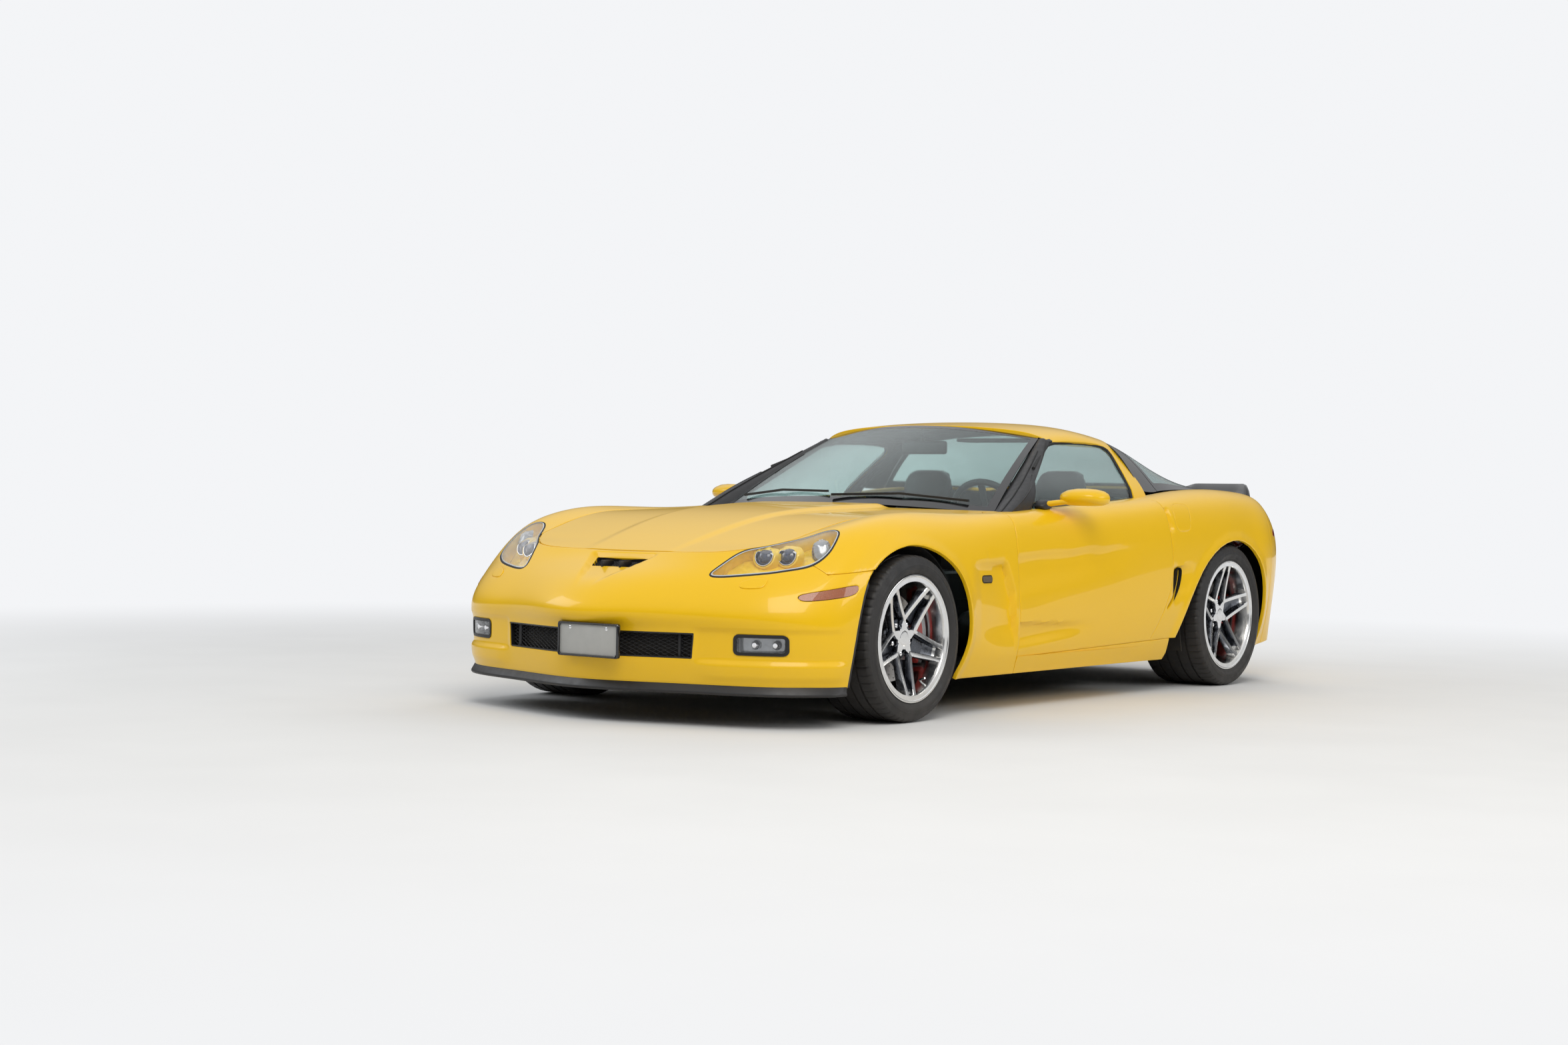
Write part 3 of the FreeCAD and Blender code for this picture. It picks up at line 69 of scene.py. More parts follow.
# The camera that sees it, and the light of the studio
CAMERA_PLACE = (5.8184, -8.7049, 0.8495)
CAMERA_YAW, CAMERA_PITCH, CAMERA_ROLL = 0.6413, -0.0103, 0.0179
CAMERA_LENS = 53.10
AIR_LIGHT, BACKDROP_LIGHT = 0.62, 0.93
BACKDROP_COLOUR = (0.97, 0.98, 1.0, 1)
FADE_START, FADE_END = 3.0, 8.5
LAMPS = (
    ("key", (4.5, -5.5, 6.5), (0.3, -0.4, 0.5), 330, (4.6, 4.6), (1.0, 0.97, 0.92)),
    ("fill", (-5.5, -4.5, 4.0), (0, 0, 0.6), 110, (4.0, 3.0), (0.92, 0.96, 1.0)),
    ("back", (-2.0, 6.5, 5.0), (0, 0.5, 0.7), 150, (4.0, 2.5), (1, 1, 1)),
    ("side", (7.5, 2.5, 3.2), (0.6, 0.4, 0.5), 110, (4.5, 2.0), (1, 1, 1)),
)

# Right-side stations that lead in before the middle of the nose
LEAD_IN = 11

# Body skin stations, metres: each holds seven points (x, y behind the front axle, z)
# from the lower edge over the flank to the inner edge of the panel
NOSE_STATIONS = [
    [(0, -.862, .160), (0, -.880, .250), (0, -.893, .365), (0, -.912, .452),
     (0, -.812, .540), (0, -.700, .592), (0, -.602, .638)],
    [(.25, -.814, .160), (.25, -.828, .250), (.25, -.841, .365), (.25, -.852, .456),
     (.25, -.772, .540), (.25, -.678, .594), (.25, -.598, .641)],
    [(.45, -.752, .160), (.45, -.764, .250), (.45, -.772, .365), (.45, -.774, .456),
     (.43, -.714, .540), (.41, -.648, .596), (.40, -.588, .644)],
    [(.61, -.706, .160), (.61, -.717, .250), (.61, -.723, .365), (.605, -.720, .456),
     (.58, -.662, .542), (.54, -.604, .604), (.50, -.553, .653)],
    [(.77, -.630, .160), (.77, -.643, .250), (.77, -.650, .365), (.765, -.638, .458),
     (.735, -.580, .548), (.67, -.520, .624), (.585, -.470, .673)],
    [(.865, -.530, .160), (.872, -.542, .250), (.873, -.550, .370), (.865, -.530, .470),
     (.832, -.485, .563), (.758, -.440, .648), (.63, -.400, .692)],
    [(.915, -.405, .155), (.923, -.415, .250), (.925, -.415, .395), (.912, -.395, .530),
     (.872, -.370, .630), (.792, -.345, .700), (.643, -.312, .715)],
]
FLANK_STATIONS = [
    (-.20, (.905, .150), (.930, .250), (.940, .440), (.922, .620), (.882, .712), (.805, .757), (.655, .744)),
    (0, (.905, .150), (.932, .250), (.944, .470), (.922, .670), (.882, .752), (.812, .793), (.670, .780)),
    (.25, (.905, .150), (.932, .250), (.943, .480), (.918, .690), (.878, .765), (.810, .802), (.690, .792)),
    (.50, (.905, .150), (.930, .250), (.938, .480), (.911, .710), (.876, .772), (.820, .799), (.708, .798)),
    (.78, (.905, .150), (.927, .245), (.932, .470), (.908, .722), (.888, .775), (.855, .802), (.745, .806)),
    (1.10, (.905, .150), (.923, .240), (.929, .490), (.906, .735), (.884, .790), (.852, .818), (.795, .826)),
    (1.50, (.905, .150), (.925, .245), (.932, .530), (.913, .765), (.888, .817), (.853, .842), (.795, .851)),
    (1.895, (.905, .150), (.932, .255), (.944, .580), (.925, .795), (.896, .845), (.855, .868), (.795, .876)),
    (2.134, (.908, .150), (.938, .270), (.953, .600), (.933, .815), (.900, .867), (.853, .889), (.790, .896)),
    (2.385, (.912, .155), (.945, .300), (.961, .620), (.941, .815), (.904, .880), (.845, .912), (.765, .916)),
    (2.685, (.915, .160), (.950, .320), (.964, .640), (.944, .820), (.906, .890), (.838, .924), (.735, .927)),
    (2.935, (.915, .170), (.947, .320), (.962, .640), (.940, .812), (.901, .884), (.832, .919), (.690, .927)),
    (3.135, (.905, .185), (.934, .330), (.953, .625), (.927, .785), (.888, .857), (.822, .902), (.640, .922)),
]
TAIL_STATIONS = [
    [(.878, 3.255, .195), (.885, 3.275, .345), (.893, 3.310, .590), (.876, 3.290, .755),
     (.842, 3.255, .836), (.785, 3.222, .886), (.622, 3.205, .919)],
    [(.760, 3.350, .190), (.765, 3.390, .350), (.775, 3.437, .600), (.765, 3.412, .760),
     (.737, 3.372, .842), (.690, 3.335, .882), (.600, 3.285, .911)],
    [(.560, 3.425, .190), (.560, 3.473, .350), (.560, 3.510, .600), (.560, 3.490, .760),
     (.555, 3.452, .845), (.540, 3.422, .877), (.520, 3.365, .901)],
    [(.300, 3.448, .190), (.300, 3.500, .350), (.300, 3.535, .600), (.300, 3.518, .760),
     (.300, 3.477, .850), (.300, 3.458, .873), (.290, 3.405, .893)],
    [(0, 3.455, .190), (0, 3.510, .350), (0, 3.545, .600), (0, 3.528, .760),
     (0, 3.485, .852), (0, 3.468, .875), (0, 3.415, .897)],
]


class CoupeSizes(bpy.types.PropertyGroup):
    """Sizes that someone would change"""

    cell: FloatProperty(name="Panel cell", description="Size of the faces of the body panels",
                        default=0.010, min=0.004, max=0.05, unit="LENGTH")
    gap: FloatProperty(name="Panel gap", description="Width of the seams between the panels",
                       default=0.004, min=0.002, max=0.01, unit="LENGTH")
    edge: FloatProperty(name="Edge radius", description="Rounding of the panels' edges",
                        default=0.0014, min=0.0005, max=0.005, unit="LENGTH")
    flange: FloatProperty(name="Flange", description="Depth of the panels' turned edges",
                          default=0.014, min=0.004, max=0.04, unit="LENGTH")
    spoke_width: FloatProperty(name="Spoke width", description="Width of each of a pair's two spokes",
                               default=0.019, min=0.01, max=0.04, unit="LENGTH")
    wheel_steps: IntProperty(name="Wheel steps", description="Faces round a wheel", default=96, min=24,
                             max=192)
    cloth_frames: IntProperty(name="Cushion frames", description="Frames that the cushions swell for",
                              default=14, min=0, max=30)


class CoupeColours(bpy.types.PropertyGroup):
    """Colours that someone would change"""

    paint: FloatVectorProperty(name="Paint", description="Body colour", subtype="COLOR", size=3,
                               default=(0.90, 0.54, 0.005), min=0, max=1)
    leather: FloatVectorProperty(name="Leather", description="Seats and trim", subtype="COLOR", size=3,
                                 default=(0.032, 0.032, 0.035), min=0, max=1)
    caliper: FloatVectorProperty(name="Calipers", description="Brake calipers", subtype="COLOR", size=3,
                                 default=(0.42, 0.016, 0.012), min=0, max=1)
    tint: FloatVectorProperty(name="Glass", description="Tint of the windows", subtype="COLOR", size=3,
                              default=(0.60, 0.74, 0.72), min=0, max=1)
    floor: FloatVectorProperty(name="Floor", description="Studio floor", subtype="COLOR", size=3,
                               default=(0.78, 0.78, 0.77), min=0, max=1)


def sizes():
    return bpy.context.scene.coupe_sizes


def colours():
    return bpy.context.scene.coupe_colours


# Materials
SHARED = {}
FINISHES = {}
DUST_COLOUR = (0.33, 0.27, 0.20, 1)
DUSTY_ROUGHNESS = 0.8
BACK_COLOUR = (0.010, 0.010, 0.010, 1)
RELIEF_STRENGTH = 0.6
PAINT = "body_paint_finish"

LOOKS = {
    PAINT: ("paint", 0.34, dict(
        vary=0.035, rough_vary=0.03, scale=1400.0, dust=0.12, dust_top=0.40, dark_back=True,
        constants={"Coat Weight": 0.5, "Coat Roughness": 0.03, "Coat IOR": 1.4, "Specular IOR Level": 0.25})),
    "moulded_black": ((0.009, 0.009, 0.010), 0.42, dict(
        vary=0.25, scale=30, grain=900.0, grain_depth=0.00015, dust=0.06, dust_top=0.3)),
    "gloss_black": ((0.008, 0.008, 0.009), 0.12, dict(
        vary=0.2, rough_vary=0.04, scale=12, constants={"Coat Weight": 0.5, "Coat Roughness": 0.05})),
    "wheel_liner_felt": ((0.008, 0.008, 0.008), 0.9, dict(vary=0.35, scale=140, bump=0.001, dust=0.2)),
    "tyre_rubber_finish": ((0.011, 0.011, 0.012), 0.58, dict(
        vary=0.3, rough_vary=0.14, scale=22, bump=0.00025, bump_scale=900, dust=0.10, dust_top=0.75)),
    "polished_alloy": ((0.80, 0.80, 0.79), 0.17, dict(
        metal=1.0, vary=0.03, rough_vary=0.06, scale=30, dust=0.10, dust_top=0.7)),
    # Darker alloy for the spokes' sides and sunk webs: partly their cast finish, partly painted shade on the
    # sides and in the recesses
    "shaded_alloy": ((0.15, 0.16, 0.18), 0.24, dict(metal=1.0, vary=0.08, scale=50, dust=0.06, dust_top=0.7)),
    "cast_alloy": ((0.42, 0.43, 0.44), 0.42, dict(metal=1.0, vary=0.12, scale=90, bump=0.0003, dust=0.25)),
    "brake_iron": ((0.36, 0.35, 0.34), 0.32, dict(metal=1.0, vary=0.22, scale=240, bump=0.0001, dust=0.2)),
    "caliper_enamel": ("caliper", 0.36, dict(
        vary=0.12, scale=60, dust=0.25, dust_top=0.6, constants={"Coat Weight": 0.4})),
    "bright_metal": ((0.86, 0.86, 0.87), 0.08, dict(metal=1.0, vary=0.02, rough_vary=0.03, scale=50)),
    "lamp_reflector": ((0.90, 0.90, 0.91), 0.14, dict(metal=1.0, vary=0.03, rough_vary=0.04, scale=25)),
    "dark_steel": ((0.09, 0.09, 0.095), 0.48, dict(metal=0.8, vary=0.25, scale=70, bump=0.0003, dust=0.3)),
    "seat_leather_finish": ("leather", 0.46, dict(
        vary=0.22, scale=14, grain=650.0, grain_depth=0.0005, constants={"Sheen Weight": 0.15})),
    "dash_grain": ((0.028, 0.028, 0.030), 0.62, dict(vary=0.2, scale=20, grain=520.0, grain_depth=0.0004)),
    "carpet_pile": ((0.020, 0.020, 0.022), 0.95, dict(vary=0.5, scale=600, bump=0.002, bump_scale=900)),
    "headliner_felt": ((0.10, 0.10, 0.10), 0.95, dict(vary=0.15, scale=300, bump=0.0006, bump_scale=700)),
    "bare_plate": ((0.42, 0.42, 0.40), 0.38, dict(vary=0.04, scale=18, bump=0.0001, bump_scale=260)),
    "tinted_window": ("tint", 0.02, dict(
        vary=0.03, rough_vary=0.012, scale=7.0, constants={"Transmission Weight": 1.0, "IOR": 1.45})),
    "clear_lens_plastic": ((0.97, 0.97, 0.97), 0.02, dict(
        vary=0.03, rough_vary=0.012, scale=7.0, constants={"Transmission Weight": 1.0, "IOR": 1.35})),
    "amber_marker": ((0.32, 0.075, 0.010), 0.22, dict(
        vary=0.1, scale=160, bump=0.0008, bump_scale=420,
        constants={"Coat Weight": 0.8, "Coat Roughness": 0.04})),
    "red_lamp": ((0.42, 0.010, 0.012), 0.14, dict(
        vary=0.12, scale=120, bump=0.0006, bump_scale=380,
        constants={"Coat Weight": 1.0, "Coat Roughness": 0.03})),
    "smoked_lens": ((0.16, 0.13, 0.09), 0.10, dict(
        vary=0.2, scale=200, constants={"Coat Weight": 1.0, "Coat Roughness": 0.03})),
    "fluted_lens": ((0.34, 0.36, 0.38), 0.16, dict(
        metal=0.4, vary=0.12, scale=90, constants={"Coat Weight": 1.0, "Coat Roughness": 0.03})),
    "projector_blue": ((0.012, 0.022, 0.055), 0.05, dict(
        vary=0.3, rough_vary=0.02, scale=40, constants={"Coat Weight": 1.0, "Coat Roughness": 0.02})),
    "lamp_bezel": ((1.0, 0.66, 0.03), 0.24, dict(vary=0.06, scale=30, constants={"Coat Weight": 0.6})),
    "lens_rim": ((0.50, 0.55, 0.60), 0.10, dict(vary=0.08, scale=30, constants={"Coat Weight": 1.0})),
    "grille_black": ((0.040, 0.040, 0.042), 0.38, dict(vary=0.2, scale=50)),
    "seal_rubber": ((0.012, 0.012, 0.012), 0.7, dict(vary=0.2, scale=60, bump=0.0002)),
}


def add(tree, kind, feeds=None, **settings):
    """A new shader node; feeds gives its inputs their sockets or constants."""
    node = tree.nodes.new(kind)
    for key, value in settings.items():
        setattr(node, key, value)
    for key, value in (feeds or {}).items():
        if isinstance(value, bpy.types.NodeSocket):
            tree.links.new(value, node.inputs[key])
        else:
            node.inputs[key].default_value = value
    return node


def combine(tree, operation, first, second):
    """One number worked out from two."""
    return add(tree, "ShaderNodeMath", {0: first, 1: second}, operation=operation).outputs["Value"]


def blend(tree, share, first, second, kind="FLOAT"):
    """A mix of two numbers or two colours."""
    return add(tree, "ShaderNodeMix", {"Factor": share, "A": first, "B": second},
               data_type=kind).outputs["Result"]


def new_group(name, inputs, output):
    """An empty node group with its number inputs, their defaults and one output."""
    group = bpy.data.node_groups.new(name, "ShaderNodeTree")
    for key, number in inputs.items():
        entry = group.interface.new_socket(name=key, in_out="INPUT", socket_type="NodeSocketFloat")
        entry.default_value = number
    group.interface.new_socket(name=output, in_out="OUTPUT", socket_type="NodeSocketFloat")
    SHARED[name] = group
    return group


def speckle_group():
    """Fine unevenness on object coordinates."""
    name = "surface_speckle"
    if name not in SHARED:
        group = new_group(name, {"Scale": 60.0, "Detail": 3.0, "Low": 0.0, "High": 1.0}, "Value")
        entry = add(group, "NodeGroupInput").outputs
        place = add(group, "ShaderNodeTexCoord").outputs["Object"]
        noise = add(group, "ShaderNodeTexNoise", {"Vector": place, "Scale": entry["Scale"],
                                                  "Detail": entry["Detail"]})
        span = add(group, "ShaderNodeMapRange", {"Value": noise.outputs["Fac"], "From Min": 0.3,
                                                 "From Max": 0.7, "To Min": entry["Low"],
                                                 "To Max": entry["High"]})
        add(group, "NodeGroupOutput", {"Value": span.outputs["Result"]})
    return SHARED[name]


def grain_group():
    """Leather or moulded grain: small rounded cells, as a height."""
    name = "surface_grain"
    if name not in SHARED:
        group = new_group(name, {"Scale": 400.0}, "Height")
        entry = add(group, "NodeGroupInput").outputs
        place = add(group, "ShaderNodeTexCoord").outputs["Object"]
        cells = add(group, "ShaderNodeTexVoronoi", {"Vector": place, "Scale": entry["Scale"]},
                    feature="SMOOTH_F1")
        add(group, "NodeGroupOutput", {"Height": cells.outputs["Distance"]})
    return SHARED[name]


def low_dust_group():
    """Dust that thickens towards the ground, as a mask."""
    name = "low_dust"
    if name not in SHARED:
        group = new_group(name, {"Top": 0.45, "Amount": 0.3}, "Mask")
        entry = add(group, "NodeGroupInput").outputs
        place = add(group, "ShaderNodeTexCoord").outputs["Object"]
        parts = add(group, "ShaderNodeSeparateXYZ", {"Vector": place})
        span = add(group, "ShaderNodeMapRange", {"Value": parts.outputs["Z"], "From Min": entry["Top"],
                                                 "From Max": 0.02})
        noise = add(group, "ShaderNodeTexNoise", {"Vector": place, "Scale": 9.0, "Detail": 6.0})
        patchy = combine(group, "MULTIPLY", span.outputs["Result"], noise.outputs["Fac"])
        add(group, "NodeGroupOutput", {"Mask": combine(group, "MULTIPLY", patchy, entry["Amount"])})
    return SHARED[name]


def place_group(tree, group, values):
    return add(tree, "ShaderNodeGroup", values, node_tree=group)


def finish(name, colour, rough, *, metal=0.0, vary=0.12, rough_vary=0.08, scale=60.0, bump=0.0,
           bump_scale=None, grain=None, grain_depth=0.0004, dust=0.0, dust_top=0.45, dark_back=False,
           constants=None):
    """A material whose colour and roughness vary over the surface, with fine relief where it is asked for."""
    material = bpy.data.materials.new(name)
    material.use_nodes = True
    tree = material.node_tree
    shader = tree.nodes["Principled BSDF"]
    for key, number in {"Metallic": metal, **(constants or {})}.items():
        shader.inputs[key].default_value = number
    speckle = place_group(tree, speckle_group(), {"Scale": scale, "Detail": 4.0}).outputs["Value"]
    dark = [max(0.0, c * (1 - vary)) for c in colour]
    light = [min(1.0, c * (1 + vary)) for c in colour]
    tinted = blend(tree, speckle, (*dark, 1), (*light, 1), "RGBA")
    sheen = add(tree, "ShaderNodeMapRange", {"Value": speckle, "To Min": max(0.01, rough - rough_vary),
                                             "To Max": min(1.0, rough + rough_vary)})
    roughness = sheen.outputs["Result"]
    if dust:
        mask = place_group(tree, low_dust_group(), {"Top": dust_top, "Amount": dust}).outputs["Mask"]
        tinted = blend(tree, mask, tinted, DUST_COLOUR, "RGBA")
        roughness = blend(tree, mask, roughness, DUSTY_ROUGHNESS)
    if dark_back:
        sides = add(tree, "ShaderNodeNewGeometry")
        tinted = blend(tree, sides.outputs["Backfacing"], tinted, BACK_COLOUR, "RGBA")
    tree.links.new(tinted, shader.inputs["Base Color"])
    tree.links.new(roughness, shader.inputs["Roughness"])
    if grain or bump:
        if grain:
            height = place_group(tree, grain_group(), {"Scale": grain}).outputs["Height"]
        else:
            height = place_group(tree, speckle_group(), {"Scale": bump_scale or scale * 3}).outputs["Value"]
        relief = add(tree, "ShaderNodeBump", {"Strength": RELIEF_STRENGTH, "Height": height,
                                              "Distance": grain_depth if grain else bump})
        tree.links.new(relief.outputs["Normal"], shader.inputs["Normal"])
    return material


def look(name):
    """The finish of that name, made when it is first asked for."""
    if name not in FINISHES:
        colour, rough, values = LOOKS[name]
        if isinstance(colour, str):
            colour = tuple(getattr(colours(), colour))
        FINISHES[name] = finish(name, colour, rough, **values)
    return FINISHES[name]


def spline_weights(knots, places):
    """Weights of a natural cubic spline's knots at the given places."""
    count = len(knots)
    gaps = np.diff(knots)
    left = np.eye(count)
    right = np.zeros((count, count))
    for i in range(1, count - 1):
        before, after = gaps[i - 1], gaps[i]
        left[i, i - 1:i + 2] = before, 2 * (before + after), after
        right[i, i - 1:i + 2] = 6 / before, -6 / before - 6 / after, 6 / after
    bend = np.linalg.solve(left, right)
    places = np.clip(np.asarray(places, float), knots[0], knots[-1])
    low = np.clip(np.searchsorted(knots, places) - 1, 0, count - 2)
    wide = gaps[low]
    a = (knots[low + 1] - places) / wide
    b = 1 - a
    weights = ((a ** 3 - a) * wide ** 2 / 6)[:, None] * bend[low]
    weights += ((b ** 3 - b) * wide ** 2 / 6)[:, None] * bend[low + 1]
    rows = np.arange(len(places))
    weights[rows, low] += a
    weights[rows, low + 1] += b
    return weights


class Skin:
    """A smooth surface through a net of points; s runs along the rows and t across them."""

    def __init__(self, net):
        self.net = np.array(net, float)
        along = np.linalg.norm(np.diff(self.net, axis=0), axis=2).mean(axis=1)
        across = np.linalg.norm(np.diff(self.net, axis=1), axis=2).mean(axis=0)
        self.s = np.concatenate([[0], np.cumsum(along)])
        self.t = np.concatenate([[0], np.cumsum(across)])

    def at(self, s, t):
        first = spline_weights(self.s, np.ravel(s))
        second = spline_weights(self.t, np.ravel(t))
        return np.einsum("ki,kj,ijc->kc", first, second, self.net)


def flip(points):
    return [(-x, y, z) for x, y, z in points]


def body_net():
    """The net of the body's skin, from the right door round the nose and the tail to the right quarter."""
    left = [list(row) for row in NOSE_STATIONS]
    left += [[(x, row[0], z) for x, z in row[1:]] for row in FLANK_STATIONS]
    left += [list(row) for row in TAIL_STATIONS]
    right = [flip(row) for row in left]
    # right side to its door, left side, and round the tail to the right quarter
    ring = right[:0:-1][-LEAD_IN:] + left + right[-2::-1][:9]
    return [[(x, y + FRONT_Y, z) for x, y, z in row] for row in ring]


# Modelling helpers
def fresh(name):
    """A new empty mesh object at the origin, the only one selected."""
    made = bpy.data.objects.new(name, bpy.data.meshes.new(name))
    bpy.context.scene.collection.objects.link(made)
    pick(made)
    return made


def pick(piece):
    for other in list(bpy.context.selected_objects):
        other.select_set(False)
    piece.select_set(True)
    bpy.context.view_layer.objects.active = piece


def settle(piece, name, material, body, slot, smooth=40):
    """Names a piece, puts its place into its mesh, shades it and lets it ride on its body."""
    piece.name = name
    piece.data.name = name
    pick(piece)
    bpy.ops.object.transform_apply(location=True, rotation=True, scale=True)
    if material is not None:
        piece.data.materials.clear()
        for one in material if isinstance(material, (list, tuple)) else [material]:
            piece.data.materials.append(look(one))
    if smooth:
        bpy.ops.object.shade_smooth_by_angle(angle=math.radians(smooth))
    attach(piece, body)
    if slot:
        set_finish(piece, slot)
    return piece


def modify(piece, kind, **values):
    pick(piece)
    modifier = piece.modifiers.new(kind.lower(), kind)
    for key, number in values.items():
        setattr(modifier, key, number)
    bpy.ops.object.modifier_apply(modifier=modifier.name)
    return piece


def soften(piece, width, segments=2, angle=35):
    return modify(piece, "BEVEL", width=width, segments=segments, limit_method="ANGLE",
                  angle_limit=math.radians(angle), harden_normals=False)


def from_faces(name, points, faces):
    made = fresh(name)
    made.data.from_pydata([tuple(p) for p in points], [], faces)
    made.data.update()
    return made


def block(name, low, high, bevel=0.0, segments=3):
    """A box between two corners, with rounded edges."""
    low, high = Vector(low), Vector(high)
    bpy.ops.object.select_all(action="DESELECT")
    bpy.ops.mesh.primitive_cube_add(size=1, location=(low + high) / 2)
    made = bpy.context.active_object
    made.scale = high - low
    bpy.ops.object.transform_apply(location=True, rotation=True, scale=True)
    if bevel:
        soften(made, bevel, segments)
    made.name = name
    return made


def circle(count):
    """Cosine and sine of angles that are evenly spread."""
    angles = [2 * math.pi * i / count for i in range(count)]
    return [(math.cos(angle), math.sin(angle)) for angle in angles]


def squarish(value, power):
    """A cosine or sine bent towards a rounded square."""
    return math.copysign(abs(value) ** power, value)


def ring_solid(name, rings, closed_ends=True, loop=False):
    """Skin over a row of closed rings with equal counts."""
    count = len(rings[0])
    points = [p for ring in rings for p in ring]
    faces = []
    last = len(rings) if loop else len(rings) - 1
    for i in range(last):
        here, there = i * count, ((i + 1) % len(rings)) * count
        for j in range(count):
            k = (j + 1) % count
            faces.append((here + j, here + k, there + k, there + j))
    if closed_ends and not loop:
        faces.append(tuple(range(count))[::-1])
        faces.append(tuple((len(rings) - 1) * count + j for j in range(count)))
    made = from_faces(name, points, faces)
    outward(made)
    return made


def outward(piece):
    """Merges double points and turns the faces outwards."""
    pick(piece)
    bpy.ops.object.mode_set(mode="EDIT")
    bpy.ops.mesh.select_all(action="SELECT")
    bpy.ops.mesh.remove_doubles(threshold=0.00002)
    bpy.ops.mesh.normals_make_consistent(inside=False)
    bpy.ops.object.mode_set(mode="OBJECT")
    return piece


def turned(name, profile, centre, axis, steps, closed=True):
    """A body of revolution: profile points are (place along the axis, radius)."""
    rings = []
    for place, radius in profile:
        ring = []
        for c, n in circle(steps):
            a, b = radius * c, radius * n
            offset = {"X": (place, a, b), "Y": (a, place, b), "Z": (a, b, place)}[axis]
            ring.append(Vector(centre) + Vector(offset))
        rings.append(ring)
    return ring_solid(name, rings, closed_ends=False, loop=closed)


def tube(name, path, radius, sides):
    """A round bar along a path; radius may be one number, or one or a pair for each point."""
    path = [Vector(p) for p in path]
    rings = []
    up = Vector((0, 0, 1))
    for i, point in enumerate(path):
        ahead = (path[min(i + 1, len(path) - 1)] - path[max(i - 1, 0)]).normalized()
        side = ahead.cross(up)
        if side.length < 1e-4:
            side = ahead.cross(Vector((0, 1, 0)))
        side.normalize()
        rise = side.cross(ahead).normalized()
        size = radius[i] if isinstance(radius, (list, tuple)) else radius
        wide, tall = size if isinstance(size, (list, tuple)) else (size, size)
        rings.append([point + side * wide * c + rise * tall * n for c, n in circle(sides)])
    return ring_solid(name, rings)


def other_side(piece, name, body):
    """The mirrored twin of a finished piece, on the car's other side."""
    twin = piece.copy()
    twin.data = piece.data.copy()
    twin.parent = None
    twin.matrix_world = Matrix.Identity(4)
    bpy.context.scene.collection.objects.link(twin)
    twin.name = name
    twin.data.name = name
    twin.data.transform(Matrix.Scale(-1, 4, (1, 0, 0)))
    twin.data.flip_normals()
    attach(twin, body)
    if "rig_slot" in piece:
        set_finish(twin, piece["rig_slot"])
    return twin


def pair(piece, name, material, slot, body="chassis", right="chassis", replaces=None, smooth=40):
    """Settles a left piece and makes its right twin."""
    settle(piece, name + "_left", material, body, slot, smooth)
    twin = other_side(piece, name + "_right", right)
    if replaces:
        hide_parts(replaces + "_left")
        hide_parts(replaces + "_right")
    return piece, twin


def join(pieces, name):
    pick(pieces[0])
    for piece in pieces:
        piece.select_set(True)
    bpy.ops.object.join()
    pieces[0].name = name
    return pieces[0]


def step(value, low, high):
    """Smooth step from 0 at low to 1 at high."""
    x = np.clip((np.asarray(value, float) - low) / (high - low), 0, 1)
    return x * x * (3 - 2 * x)


def axle(points):
    """The same points with y counted back from the front axle."""
    moved = np.array(points, float)
    moved[..., 1] -= FRONT_Y
    return moved


def polygon_distance(points, corners):
    """Distance to a closed line in the plane, negative inside it."""
    points = np.asarray(points, float)
    corners = np.asarray(corners, float)
    best = np.full(len(points), 1e9)
    inside = np.zeros(len(points), bool)
    for a, b in zip(corners, np.roll(corners, -1, axis=0)):
        along = b - a
        share = np.clip(((points - a) @ along) / (along @ along), 0, 1)
        best = np.minimum(best, np.linalg.norm(points - a - share[:, None] * along, axis=1))
        crosses = (a[1] > points[:, 1]) != (b[1] > points[:, 1])
        with np.errstate(divide="ignore", invalid="ignore"):
            meet = a[0] + (points[:, 1] - a[1]) / (b[1] - a[1]) * (b[0] - a[0])
        inside ^= crosses & (points[:, 0] < meet)
    return np.where(inside, -best, best)


def smooth_loop(corners, rounds=3):
    """Corner cutting: a closed line with its corners rounded."""
    line = np.array(corners, float)
    for _ in range(rounds):
        ahead = np.roll(line, -1, axis=0)
        cut = np.stack([line * 0.75 + ahead * 0.25, line * 0.25 + ahead * 0.75], axis=1)
        line = cut.reshape(-1, line.shape[1])
    return line


